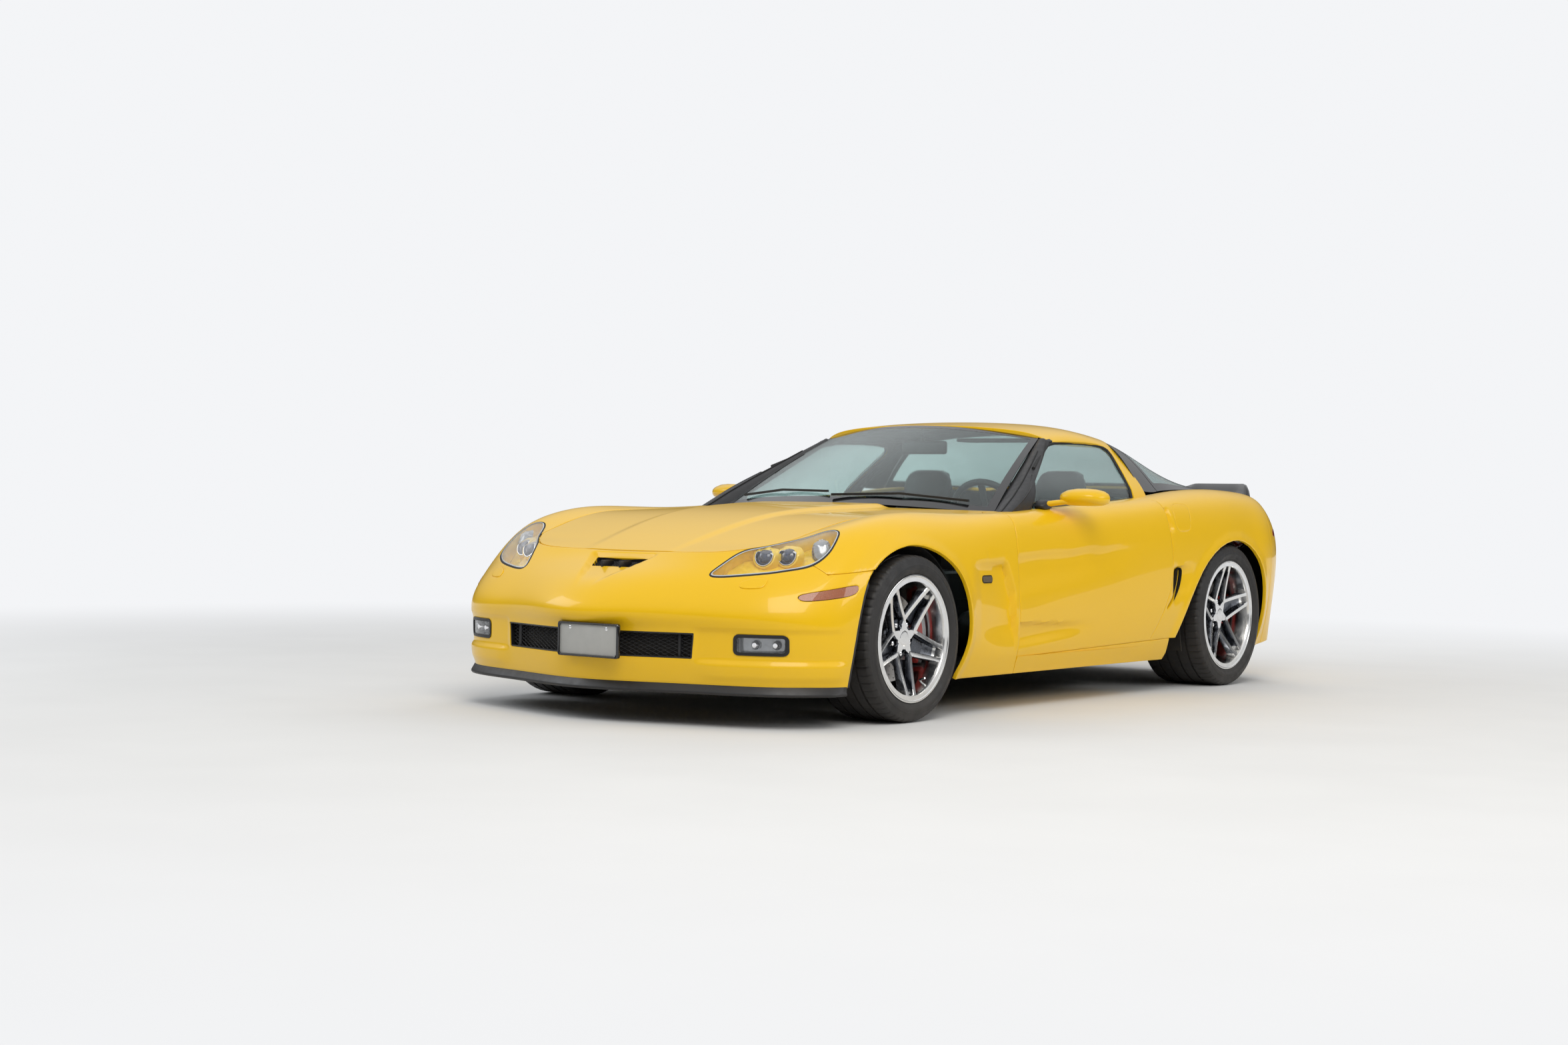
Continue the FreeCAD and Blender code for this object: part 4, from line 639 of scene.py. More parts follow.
def trim(mesh, skin, cutter):
    """Cuts away the part of a flat panel where the cutter is positive, along an exact line."""
    verts = list(mesh.verts)
    flat = np.array([v.co[:2] for v in verts])
    level = cutter(axle(skin.at(flat[:, 0], flat[:, 1])))
    level = np.where(np.abs(level) < 1e-7, 1e-7, level)
    marks = dict(zip(verts, level))
    crossing = [e for e in mesh.edges if marks[e.verts[0]] * marks[e.verts[1]] < 0]
    if crossing:
        start = np.array([e.verts[0].co[:2] for e in crossing])
        finish_at = np.array([e.verts[1].co[:2] for e in crossing])
        sign = np.sign([marks[e.verts[0]] for e in crossing])
        low, high = np.zeros(len(crossing)), np.ones(len(crossing))
        for _ in range(14):
            middle = (low + high) / 2
            at = start + (finish_at - start) * middle[:, None]
            same = np.sign(cutter(axle(skin.at(at[:, 0], at[:, 1])))) == sign
            low, high = np.where(same, middle, low), np.where(same, high, middle)
        root = (low + high) / 2
        snapped = {}
        for edge, share, a, b in zip(crossing, root, start, finish_at):
            at = a + (b - a) * share
            if share < 0.2:
                snapped.setdefault(edge.verts[0], at)
            elif share > 0.8:
                snapped.setdefault(edge.verts[1], at)
        for vert, at in snapped.items():
            vert.co = (at[0], at[1], 0)
            marks[vert] = 0.0
        for edge, share in zip(crossing, root):
            a, b = edge.verts
            if marks[a] == 0 or marks[b] == 0:
                continue
            _, made = bmesh.utils.edge_split(edge, a, float(share))
            marks[made] = 0.0
        for face in list(mesh.faces):
            values = [marks[v] for v in face.verts]
            if min(values) < 0 < max(values):
                zeros = [v for v in face.verts if marks[v] == 0]
                for i, one in enumerate(zeros):
                    for two in zeros[i + 1:]:
                        if one.link_edges and not any(two in e.verts for e in one.link_edges):
                            made = bmesh.utils.face_split(face, one, two)
                            if made:
                                break
                    else:
                        continue
                    break
    gone = [f for f in mesh.faces if sum(marks.get(v, 0.0) for v in f.verts) > 0]
    bmesh.ops.delete(mesh, geom=gone, context="FACES")


def panel(name, skin, s_range, t_range, cutters, lift=None, inward=None, cell=None, flange=None, edge=None,
          thick=0.0):
    """A body panel: a flat grid trimmed by the cutters, laid on the skin, with rounded and turned edges,
    or a closed pane of the given thickness."""
    cell = cell or sizes().cell
    flange = sizes().flange if flange is None else flange
    edge = edge or sizes().edge
    wide = max(4, round((s_range[1] - s_range[0]) / cell))
    tall = max(4, round((t_range[1] - t_range[0]) / cell))
    bpy.ops.object.select_all(action="DESELECT")
    bpy.ops.mesh.primitive_grid_add(x_subdivisions=wide, y_subdivisions=tall, size=2)
    made = bpy.context.active_object
    mesh = bmesh.new()
    mesh.from_mesh(made.data)
    for vert in mesh.verts:
        x, y = vert.co.x, vert.co.y
        vert.co = (s_range[0] + (x + 1) / 2 * (s_range[1] - s_range[0]),
                   t_range[0] + (y + 1) / 2 * (t_range[1] - t_range[0]), 0)
    for cutter in cutters:
        trim(mesh, skin, cutter)
    bmesh.ops.remove_doubles(mesh, verts=mesh.verts, dist=0.0004)
    loose = [v for v in mesh.verts if not v.link_faces]
    bmesh.ops.delete(mesh, geom=loose, context="VERTS")
    lay(mesh, skin, lift)
    if not thick:
        turn_edges(mesh, edge, flange, inward)
    mesh.to_mesh(made.data)
    mesh.free()
    made.name = name
    if thick:
        modify(made, "SOLIDIFY", thickness=thick, offset=-1)
    return made


def lay(mesh, skin, lift):
    """Moves flat vertices onto the skin, raised along its normal where the lift says."""
    verts = list(mesh.verts)
    flat = np.array([v.co[:2] for v in verts])
    s, t = flat[:, 0], flat[:, 1]
    tiny = 1e-4
    here = skin.at(s, t)
    if lift is not None:
        along = skin.at(s + tiny, t) - skin.at(s - tiny, t)
        across = skin.at(s, t + tiny) - skin.at(s, t - tiny)
        normal = np.cross(along, across)
        normal /= np.maximum(np.linalg.norm(normal, axis=1), 1e-12)[:, None]
        here = here + normal * lift(axle(here))[:, None]
    for vert, place in zip(verts, here):
        vert.co = place


def turn_edges(mesh, edge, flange, inward=None):
    """Rounds the free edges outwards and turns them in by the flange."""
    mesh.normal_update()
    rim = [e for e in mesh.edges if len(e.link_faces) == 1]
    out, into, pairs = {}, {}, []
    for e in rim:
        loop = next(l for l in e.link_faces[0].loops if l.edge is e)
        a, b = loop.vert, loop.link_loop_next.vert
        pairs.append((a, b))
        normal = e.link_faces[0].normal
        away = (b.co - a.co).normalized().cross(normal)
        for v in (a, b):
            out[v] = out.get(v, Vector()) + away
            into[v] = v.normal
    for v in out:
        out[v] = out[v].normalized()
    rest = {v: v.co.copy() for v in out}

    def rows(v):
        p, t, n = rest[v], out[v], into[v]
        deep = p + t * edge - n * (edge + flange)
        if inward is not None:
            deep = inward(p, deep, n, t)
        return [p + t * edge * 0.7 - n * edge * 0.3, p + t * edge - n * edge, deep]

    places = {v: rows(v) for v in rest}
    current = {v: v for v in rest}
    for level in range(3):
        nexts = {v: mesh.verts.new(places[v][level]) for v in rest}
        for a, b in pairs:
            mesh.faces.new((current[b], current[a], nexts[a], nexts[b]))
        current = nexts


def paint_cad(node, name):
    """Gives a carried-over node its finish."""
    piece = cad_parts[node]
    piece.data.materials.clear()
    piece.data.materials.append(look(name))


# Body panels: outlines, metres behind the front axle and up, or across and back in plan
LAMP_LINE = [(.455, -.688), (.482, -.622), (.520, -.546), (.560, -.500), (.604, -.448), (.655, -.375),
             (.700, -.306), (.740, -.280), (.785, -.292), (.808, -.345), (.817, -.406), (.795, -.472),
             (.748, -.525), (.663, -.600), (.530, -.668)]
FRONT_ARCH = [(-.43, -.10), (-.412, .182), (-.388, .340), (-.350, .475), (-.306, .553), (-.250, .603),
              (-.180, .642), (-.095, .670), (-.005, .683), (.088, .675), (.185, .649), (.275, .604),
              (.336, .550), (.378, .476), (.398, .390), (.398, .306), (.370, .220), (.330, .150),
              (.300, -.10)]
REAR_ARCH = [(-.750, -.10), (-.602, .153), (-.498, .315), (-.401, .462), (-.302, .574), (-.179, .649),
             (-.052, .687), (.079, .692), (.205, .656), (.300, .582), (.352, .480), (.372, .360),
             (.362, .250), (.330, .160), (.300, -.10)]
REAR_ARCH_LINE = [(y + WHEELBASE, z) for y, z in REAR_ARCH]
MARKER_LINE = [(-.584, .479), (-.582, .492), (-.560, .503), (-.450, .523), (-.376, .534), (-.359, .530),
               (-.364, .514), (-.384, .499), (-.440, .488), (-.566, .473)]
REAR_MARKER = [(3.165, .722), (3.20, .742), (3.262, .744), (3.268, .716), (3.20, .700)]
WASHER_LINE = [(.599, -.679), (.600, -.650), (.684, -.600), (.692, -.632), (.660, -.655)]
FUEL_LINE = [(2.116, .842), (2.157, .860), (2.262, .856), (2.276, .830), (2.262, .745), (2.238, .731),
             (2.135, .731)]
SLOT_LINE = [(2.136, .566), (2.176, .564), (2.170, .520), (2.152, .470), (2.112, .420), (2.058, .378),
             (2.034, .378), (2.084, .425), (2.118, .472), (2.134, .520)]
DOOR_BACK = [(.100, 1.80), (.249, 1.919), (.310, 1.972), (.375, 2.022), (.466, 2.074), (.540, 2.090),
             (.614, 2.093), (.680, 2.085), (.735, 2.072), (.800, 2.055), (.845, 2.043), (1.10, 2.03)]
DOOR_FRONT = .780
DOOR_BODIES = ("door_left_body", "door_right_body")
TAIL_SEAM = 3.11
FOG_LAMP = (.707, .311)
TAIL_LAMPS = (.36, .61)
TAIL_LAMP_HEIGHT = .705


def opening(distance, counts):
    """A shape for cutting: makes a cutter for the hole, or for all but the hole, where it counts."""
    def shape(grow, outside=False):
        def cutter(q):
            far = np.where(counts(q), distance(q) - grow, 1.0)
            return far if outside else -far
        return cutter
    return shape


def side_shape(line, rounds=2):
    """An outline in the side view, on the car's left side."""
    loop = smooth_loop(line, rounds) if rounds else np.array(line, float)
    return opening(lambda q: polygon_distance(q[:, 1:3], loop), lambda q: q[:, 0] > 0)


def both_sides(cutter):
    def cut_both(q):
        turned_over = q.copy()
        turned_over[:, 0] = np.abs(turned_over[:, 0])
        return cutter(turned_over)
    return cut_both


def plan_shape(line, low):
    """An outline in plan, for what lies above the given height."""
    loop = smooth_loop(line, 2)
    return opening(lambda q: polygon_distance(q[:, 0:2], loop), lambda q: q[:, 2] > low)


def fog_distance(q):
    x, z = q[:, 0] - FOG_LAMP[0], q[:, 2] - FOG_LAMP[1]
    return np.hypot(np.maximum(np.abs(x) - .074, 0), np.maximum(np.abs(z) - .018, 0)) - .021


def grille_distance(q):
    x, z = np.abs(q[:, 0]), q[:, 2]
    return np.maximum(x - .458 + (z - .25) * -.08, np.abs(z - .300) - .049)


def scoop_distance(q):
    x, y = np.abs(q[:, 0]), q[:, 1]
    return np.maximum(x - np.interp(y, (-.70, -.625), (.106, .138)), np.maximum(y + .629, -.698 - y))


def repeater_distance(q):
    return np.hypot(np.maximum(np.abs(q[:, 1] - .548) - .030, 0), q[:, 2] - .5415) - .0125


lamp_shape = plan_shape(LAMP_LINE, .45)
washer_hole = plan_shape(WASHER_LINE, .49)
washer_shape = plan_shape(WASHER_LINE, .45)
marker_shape = side_shape(MARKER_LINE)
rear_marker_shape = side_shape(REAR_MARKER)
slot_shape = side_shape(SLOT_LINE)
fuel_shape = side_shape(FUEL_LINE)
front_arch_shape = side_shape(FRONT_ARCH, 1)
rear_arch_shape = side_shape(REAR_ARCH_LINE, 1)
fog_shape = opening(fog_distance, lambda q: q[:, 1] < -.5)
grille_shape = opening(grille_distance, lambda q: q[:, 1] < -.5)
scoop_shape = opening(scoop_distance, lambda q: q[:, 2] > .5)
repeater_shape = opening(repeater_distance, lambda q: q[:, 0] > .3)


def level(height):
    """A lift that is the same everywhere."""
    return lambda q: np.full(len(q), height)


def seam_height(y):
    """The seam between the bumper and the fender."""
    return np.where(y > -.46, .572 + .085 * (y + .46), .572 - 2.5 * (y + .46))


def seam_far(q):
    """Signed distance above that seam, near enough."""
    return (q[:, 2] - seam_height(q[:, 1])) / np.where(q[:, 1] > -.46, 1.0, 2.69)


def bumper_cutter(q):
    return seam_far(q) + sizes().gap / 2


def fender_cutter(q):
    """Keeps the fender above the bumper's seam ahead of the wheel, and all of it behind."""
    return np.where(q[:, 1] < 0, sizes().gap / 2 - seam_far(q), -1.0)


def rear_line(q):
    """Signed distance behind the door's rear seam."""
    heights, places = zip(*DOOR_BACK)
    seam = np.interp(q[:, 2], heights, places)
    seam = np.minimum(seam, np.where(q[:, 0] < .885, 2.042 - (.885 - q[:, 0]) * 1.2, 9.0))
    return (q[:, 1] - seam) * .9


def sill_line(q):
    """Signed distance above the door's lower seam."""
    return q[:, 2] - (.216 + (q[:, 1] - .786) * .023)


def scoop_half(y):
    return np.interp(y, (-.86, -.70, -.62), (.035, .120, .160))


def nose_lift(q):
    """Recess round the scoop, the flat face over the chin, and the crease over the lower lip."""
    x, y, z = np.abs(q[:, 0]), q[:, 1], q[:, 2]
    side = step(x, scoop_half(y) + .004, scoop_half(y) - .010)
    length = step(y, -.875, -.72) * step(y, -.612, -.628)
    sink = -0.015 * side * length
    chin = 0.007 * step(z, .258, .232) * step(z, .165, .20) * step(x, .44, .56) * step(y, -.40, -.47)
    face = -0.006 * step(z, .375, .350) * step(z, .235, .255) * step(x, .46, .485) * step(y, -.40, -.50)
    return sink + chin + face


def fender_lift(q):
    """Wheel flare, and the cove behind the wheel with its ledge."""
    y, z = q[:, 1], q[:, 2]
    flare = 0.006 * step(arch_room(q, FRONT_ARCH), .045, .0) * step(q[:, 0], .80, .88)
    rear = np.interp(z, (.20, .372, .481, .563, .62), (.775, .752, .742, .708, .676))
    cove = step(y, .40, .50) * step(y, rear + .004, rear - .012) * step(z, .612, .592) * step(z, .22, .36)
    ramp = step(y, .42, .70)
    flat = -0.0015 * step(np.abs(y - .61), .078, .072) * step(np.abs(z - .632 + .02 * (y - .61)), .020, .016)
    return flare - cove * (.010 + .014 * ramp) + flat


def arch_room(q, line):
    return polygon_distance(q[:, 1:3], np.array(line, float))


def door_lift(q):
    """The long facet under the upper crease, and the scoop low down at the front."""
    y, z = q[:, 1], q[:, 2]
    top = np.interp(y, (.78, 1.178, 1.886, 2.1), (.627, .648, .678, .690))
    low = np.interp(y, (.78, 1.172, 1.51, 1.90), (.560, .585, .618, .676))
    facet = step(z, top + .001, top - .010) * step(z, low - .11, low) * step(y, 1.93, 1.15)
    upper = np.interp(y, (.76, 1.49), (.362, .338))
    lower = np.interp(y, (.76, 1.11, 1.49), (.290, .315, .338))
    wedge = step(z, upper + .002, upper - .012) * step(z, lower - .05, lower + .004) * step(y, 1.50, 1.15)
    return -.009 * facet - .016 * wedge * step(y, 1.6, .9)


def quarter_lift(q):
    """Wheel flare, the handle scoop's ramp and the ramp behind the brake slot."""
    y, z = q[:, 1], q[:, 2]
    flare = 0.007 * step(arch_room(q, REAR_ARCH_LINE), .05, .0)
    flare = flare * step(q[:, 0], .80, .88)
    end = np.interp(z, (.735, .833), (2.124, 2.086))
    front = np.interp(z, (.735, .833), (2.066, 2.040))
    handle = np.clip((end - y) / (end - front), 0, 1) * step(z, .730, .742) * step(z, .840, .830)
    mouth = np.interp(z, (.38, .47, .52, .565), (2.057, 2.152, 2.170, 2.176))
    ramp = np.clip((mouth + .105 - y) / .105, 0, 1) * step(z, .574, .560) * step(z, .36, .50)
    ramp = ramp * step(y, 2.09, 2.13)
    return flare - .026 * handle - .020 * ramp


def tail_lift(q):
    """The tail's recessed panel between the lamps, and its lower lip."""
    x, y, z = np.abs(q[:, 0]), q[:, 1], q[:, 2]
    panel_in = step(x, .262, .250) * step(np.abs(z - .690), .088, .078) * step(y, 3.3, 3.4)
    lamps = 0
    for centre in TAIL_LAMPS:
        far = np.hypot(x - centre, z - TAIL_LAMP_HEIGHT)
        lamps = lamps + step(far, .100, .072) * step(y, 3.3, 3.4)
    crease = step(z, .795, .815) * step(y, 3.2, 3.35)
    return -.012 * panel_in - .010 * lamps + .004 * crease


def jamb(depth_x):
    """Turned edges that run in across the car where they face the door."""
    def place(p, deep, normal, away):
        y = p.y - FRONT_Y
        if abs(away.y) > .5 and p.z > .23 and p.x > .80:
            if (away.y > 0 and y < 1.0) or (away.y < 0 and 1.85 < y < 2.2):
                return Vector((depth_x, p.y + (.004 if away.y > 0 else -.004), p.z))
        return deep
    return place


class COUPE_OT_body(bpy.types.Operator):
    """Bumper, fenders, doors, rear quarters, sills and tail, on one smooth skin"""
    bl_idname = "coupe.body"
    bl_label = "Body panels"

    def execute(self, context):
        skin = Skin(body_net())
        self.front(skin)
        self.doors(skin)
        self.rear(skin)
        return {"FINISHED"}

    def front(self, skin):
        """The nose, the caps of the lamp washers and the fenders."""
        s, t = skin.s, skin.t
        gap, nose = sizes().gap / 2, s[LEAD_IN]
        cutters = [both_sides(bumper_cutter), both_sides(front_arch_shape(0)), both_sides(lamp_shape(.003)),
                   both_sides(marker_shape(.0015)), both_sides(washer_hole(.001)), scoop_shape(0),
                   grille_shape(0), both_sides(fog_shape(0))]
        cover = panel("nose_cover", skin, (2 * nose - s[LEAD_IN + 8], s[LEAD_IN + 8]), (0, t[-1] - .003),
                      cutters, lift=nose_lift)
        settle(cover, "nose_cover", PAINT, "chassis", "body_paint")
        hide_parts("nose")
        cap = panel("washer_cap_left", skin, (nose + .45, nose + .85), (t[3], t[5]),
                    [washer_shape(-.001, True)], lift=level(.0026), cell=.006)
        pair(cap, "washer_cap", PAINT, "body_paint")
        cutters = [fender_cutter, front_arch_shape(0), lamp_shape(.003), lambda q: q[:, 1] - DOOR_FRONT + gap,
                   lambda q: -.60 - q[:, 1]]
        fender = panel("fender_skin_left", skin, (s[LEAD_IN + 4], s[LEAD_IN + 12] + .05), (0, t[-1]), cutters,
                       lift=fender_lift, inward=jamb(.74))
        pair(fender, "fender_skin", PAINT, "body_paint", replaces="fender")

    def doors(self, skin):
        """Doors with their linings, and the sills under them."""
        s, t = skin.s, skin.t
        gap = sizes().gap / 2

        def door_inward(p, deep, normal, away):
            return Vector((.797, deep.y - away.y * .02, max(deep.z, .235) if away.z < -.5 else deep.z))

        cutters = [lambda q: DOOR_FRONT + gap - q[:, 1], lambda q: rear_line(q) + gap,
                   lambda q: gap - sill_line(q)]
        door = panel("door_skin_left", skin, (s[LEAD_IN + 11] - .1, s[LEAD_IN + 15] + .1), (0, t[-1]),
                     cutters, lift=door_lift, inward=door_inward)
        lining = door_lining(door)
        pair(door, "door_skin", PAINT, "body_paint", *DOOR_BODIES, replaces="door")
        pair(lining, "door_lining", ["dash_grain", "seat_leather_finish"], "black_trim", *DOOR_BODIES)
        cutters = [lambda q: sill_line(q) + gap, lambda q: DOOR_FRONT + gap - q[:, 1], rear_arch_shape(0),
                   lambda q: q[:, 1] - 2.10]
        sill = panel("sill_skin_left", skin, (s[LEAD_IN + 11] - .1, s[LEAD_IN + 16]), (0, t[1] + .05),
                     cutters, flange=.03)
        pair(sill, "sill_skin", PAINT, "body_paint")

    def rear(self, skin):
        """Rear quarters with the fuel door on the left one, and the tail."""
        s, t = skin.s, skin.t
        gap = sizes().gap / 2
        cutters = [lambda q: np.minimum(-rear_line(q) + gap, sill_line(q) * 5 + 1), rear_arch_shape(0),
                   lambda q: q[:, 1] - TAIL_SEAM + gap,
                   lambda q: gap - sill_line(q) - np.where(q[:, 1] > 2.2, 1.0, 0), fuel_shape(.001),
                   slot_shape(0)]
        quarter = panel("quarter_skin_left", skin, (s[LEAD_IN + 13], s[LEAD_IN + 20]), (0, t[-1]), cutters,
                        lift=quarter_lift, inward=jamb(.72))
        pair(quarter, "quarter_skin", PAINT, "body_paint", replaces="quarter")
        around_fuel = ((s[LEAD_IN + 14], s[LEAD_IN + 17]), (t[2], t[-1]))
        fuel = panel("fuel_door_left", skin, *around_fuel, [fuel_shape(-.0012, True)], cell=.008)
        settle(fuel, "fuel_door", PAINT, "chassis", "body_paint")
        blank = panel("fuel_blank", skin, *around_fuel, [fuel_shape(-.0005, True)], cell=.008)
        blank, _ = pair(blank, "fuel_blank", PAINT, "body_paint")
        bpy.data.objects.remove(blank)

        def lamp_cut(q):
            x, z = np.abs(q[:, 0]), q[:, 2] - TAIL_LAMP_HEIGHT
            far = np.minimum(*[np.hypot(x - centre, z) for centre in TAIL_LAMPS]) - .069
            return -np.where(q[:, 1] > 3.3, far, 1.0)

        def tips_cut(q):
            far = np.maximum(np.abs(q[:, 0]) - .235, q[:, 2] - .322)
            return -np.where(q[:, 1] > 3.3, far, 1.0)

        cutters = [both_sides(lambda q: TAIL_SEAM + gap - q[:, 1]), lamp_cut, tips_cut,
                   both_sides(rear_marker_shape(0))]
        first = s[LEAD_IN + 18]
        tail = panel("tail_skin", skin, (first, 2 * s[LEAD_IN + 24] - first), (0, t[-1]), cutters,
                     lift=tail_lift)
        settle(tail, "tail_skin", PAINT, "chassis", "body_paint")
        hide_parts("rear_fascia")


def door_lining(door):
    """The inner face of the door: its cap, an arm rest, a pull and a speaker ring."""
    mesh = bmesh.new()
    mesh.from_mesh(door.data)
    rim = [e for e in mesh.edges if len(e.link_faces) == 1]
    loop = []
    edge = rim[0]
    start = vert = edge.verts[0]
    while True:
        loop.append(vert.co.copy())
        vert = edge.other_vert(vert)
        if vert is start:
            break
        edge = next(e for e in vert.link_edges if len(e.link_faces) == 1 and e is not edge)
    mesh.free()
    made = fresh("door_lining_left")
    mesh = bmesh.new()
    outer = [mesh.verts.new(p) for p in loop]
    centre = sum(loop, Vector()) / len(loop)
    rows = [outer]
    for share, depth in ((.985, .0), (.96, .006), (.93, .008)):
        rows.append([mesh.verts.new(Vector((p.x - depth, centre.y + (p.y - centre.y) * share,
                                            centre.z + (p.z - centre.z) * share))) for p in loop])
    for low, high in zip(rows, rows[1:]):
        for i in range(len(loop)):
            j = (i + 1) % len(loop)
            mesh.faces.new((low[i], low[j], high[j], high[i]))
    mesh.faces.new(rows[-1])
    bmesh.ops.triangulate(mesh, faces=[f for f in mesh.faces if len(f.verts) > 4])
    bmesh.ops.recalc_face_normals(mesh, faces=mesh.faces)
    if sum(f.normal.x * f.calc_area() for f in mesh.faces) > 0:
        bmesh.ops.reverse_faces(mesh, faces=mesh.faces)
    mesh.to_mesh(made.data)
    mesh.free()
    low, high = Vector((.745, -.15, .52)), Vector((.797, .55, .60))
    rest = block("arm_rest", low, high, .022, 3)
    pull = tube("pull", [(.775, -.32, .62), (.752, -.28, .635), (.748, -.16, .64), (.775, -.12, .645)],
                .009, 8)
    speaker = turned("speaker", [(.788, .0), (.786, .07), (.783, .085), (.797, .088)], (0, -.30, .36),
                     "X", 32, closed=False)
    parts = [made, rest, pull, speaker]
    for piece in parts:
        piece.data.materials.append(look("dash_grain"))
        piece.data.materials.append(look("seat_leather_finish"))
    for face in rest.data.polygons:
        face.material_index = 1
    return join(parts, "door_lining_left")


# Upper body: hood, roof, windows, deck and lip
HOOD_ROWS = [(-.625, .500, .634, .632), (-.590, .500, .644, .6415), (-.540, .530, .657, .656),
             (-.470, .585, .673, .676), (-.400, .630, .692, .696), (-.312, .643, .715, .720),
             (-.200, .655, .744, .747), (.00, .670, .780, .782), (.25, .690, .792, .805),
             (.50, .708, .798, .818), (.78, .745, .806, .832), (.88, .760, .811, .840)]
SCREEN_LOW, SCREEN_LOW_MIDDLE = (.727, .894, .804), (0, .625, .838)
SCREEN_TOP, SCREEN_TOP_MIDDLE = (.569, 1.519, 1.138), (0, 1.400, 1.193)
SIDE_Z = (.780, .868, .915, .980, 1.045, 1.105, 1.130)
SIDE_X = (.826, .807, .782, .727, .667, .612, .584)
ROOF_X = (.820, .793, .738, .678, .620, .592, .545, .480, .350, .180, 0)
ROOF_ROWS = [(1.340, .850, .905, .965, 1.025, 1.075, 1.103, 1.130, 1.150, 1.176, 1.186, 1.189),
             (1.450, .855, .910, .970, 1.032, 1.090, 1.121, 1.147, 1.165, 1.184, 1.195, 1.198),
             (1.580, .860, .913, .975, 1.038, 1.098, 1.135, 1.162, 1.180, 1.197, 1.207, 1.210),
             (1.750, .865, .915, .979, 1.043, 1.104, 1.143, 1.173, 1.190, 1.207, 1.217, 1.220),
             (1.925, .868, .915, .980, 1.045, 1.106, 1.141, 1.169, 1.187, 1.207, 1.217, 1.220),
             (2.046, .868, .915, .980, 1.045, 1.104, 1.132, 1.157, 1.177, 1.199, 1.210, 1.214),
             (2.200, .868, .912, .975, 1.037, 1.088, 1.110, 1.136, 1.157, 1.180, 1.193, 1.197),
             (2.300, .868, .908, .968, 1.025, 1.068, 1.088, 1.112, 1.134, 1.156, 1.169, 1.173)]
SIDE_OPENING = [(1.10, .60), (1.10, .900), (1.30, 1.030), (1.470, 1.108), (1.560, 1.124), (1.70, 1.131),
                (1.86, 1.132), (1.98, 1.128), (2.045, 1.118), (2.066, 1.096), (2.062, 1.070), (2.018, .987),
                (1.970, .883), (1.960, .84), (1.955, .60)]
HATCH_LINE = ((0, 2.205), (.30, 2.200), (.45, 2.185), (.55, 2.150), (.60, 2.126), (.68, 2.114), (.76, 2.102),
              (.83, 2.082))
HATCH_ROWS = [(2.060, (.810, .884), (.628, 1.112), (.500, 1.172), (.250, 1.208), (0, 1.216)),
              (2.262, (.770, .914), (.620, 1.076), (.500, 1.134), (.250, 1.166), (0, 1.174)),
              (2.500, (.750, .923), (.620, 1.013), (.500, 1.062), (.250, 1.096), (0, 1.106)),
              (2.800, (.714, .928), (.590, .960), (.480, .986), (.250, 1.012), (0, 1.020)),
              (3.090, (.650, .9255), (.540, .930), (.420, .934), (.250, .938), (0, .940))]
DECK_ROWS = [(3.02, .685, .9255, .951), (3.07, .668, .9245, .948), (3.135, .650, .922, .944),
             (3.205, .632, .919, .938), (3.285, .610, .910, .926), (3.34, .600, .902, .9125),
             (3.40, .600, .890, .8995), (3.45, .600, .880, .889)]
DOOR_GLASS = [(1.027, .796), (1.196, .967), (1.245, .990), (1.400, 1.052), (1.540, 1.102), (1.620, 1.114),
              (1.800, 1.119), (1.950, 1.117), (2.020, 1.110), (2.048, 1.095), (2.050, 1.075), (2.006, .987),
              (1.958, .883), (1.956, .862), (1.895, .856), (1.50, .832), (1.10, .806)]
MIRROR_SAIL = [(.868, .790), (.872, .806), (1.205, .978), (1.218, .976), (1.192, .963), (1.021, .800),
               (1.015, .790)]


def across(rows):
    """A skin from rows that run from the outer edge to the middle, with their mirror image."""
    whole = []
    for row in rows:
        half = [(x, y + FRONT_Y, z) for x, y, z in row]
        whole.append(half + [(-x, y, z) for x, y, z in half[-2::-1]])
    return Skin(whole)


def crowned(rows):
    """A skin from rows of place, edge x, edge z and middle z, crowned between."""
    columns = (1.05, 1.0, .85, .65, .45, .25, 0)
    return across([[(u * x, y, middle + (z - middle) * u * u) for u in columns] for y, x, z, middle in rows])


def edge_line(skin, first, last, count=160):
    """The body skin's inner edge between two stations, left side, in plan."""
    places = np.linspace(first, last, count)
    stations = np.interp(places, np.arange(len(skin.s)), skin.s)
    return axle(skin.at(stations, np.full(count, skin.t[-1])))


def screen_edge(x):
    return SCREEN_LOW_MIDDLE[1] + (SCREEN_LOW[1] - SCREEN_LOW_MIDDLE[1]) * (np.abs(x) / SCREEN_LOW[0]) ** 2


def mirrored_loop(line):
    """Closed plan line from one that starts and ends on the middle, or near it."""
    points = [tuple(p[:2]) for p in line]
    return points + [(-x, y) for x, y in points[::-1] if x > 1e-6]


def dome(q):
    """The hood's raised middle, wider and higher towards the windshield."""
    x, y = np.abs(q[:, 0]), q[:, 1]
    half = np.interp(y, (-.60, .45, .70), (.190, .285, .310))
    rise = np.interp(y, (-.60, -.40, .0, .45), (.0015, .006, .011, .016))
    return rise * step(x, half + .050, half - .004)


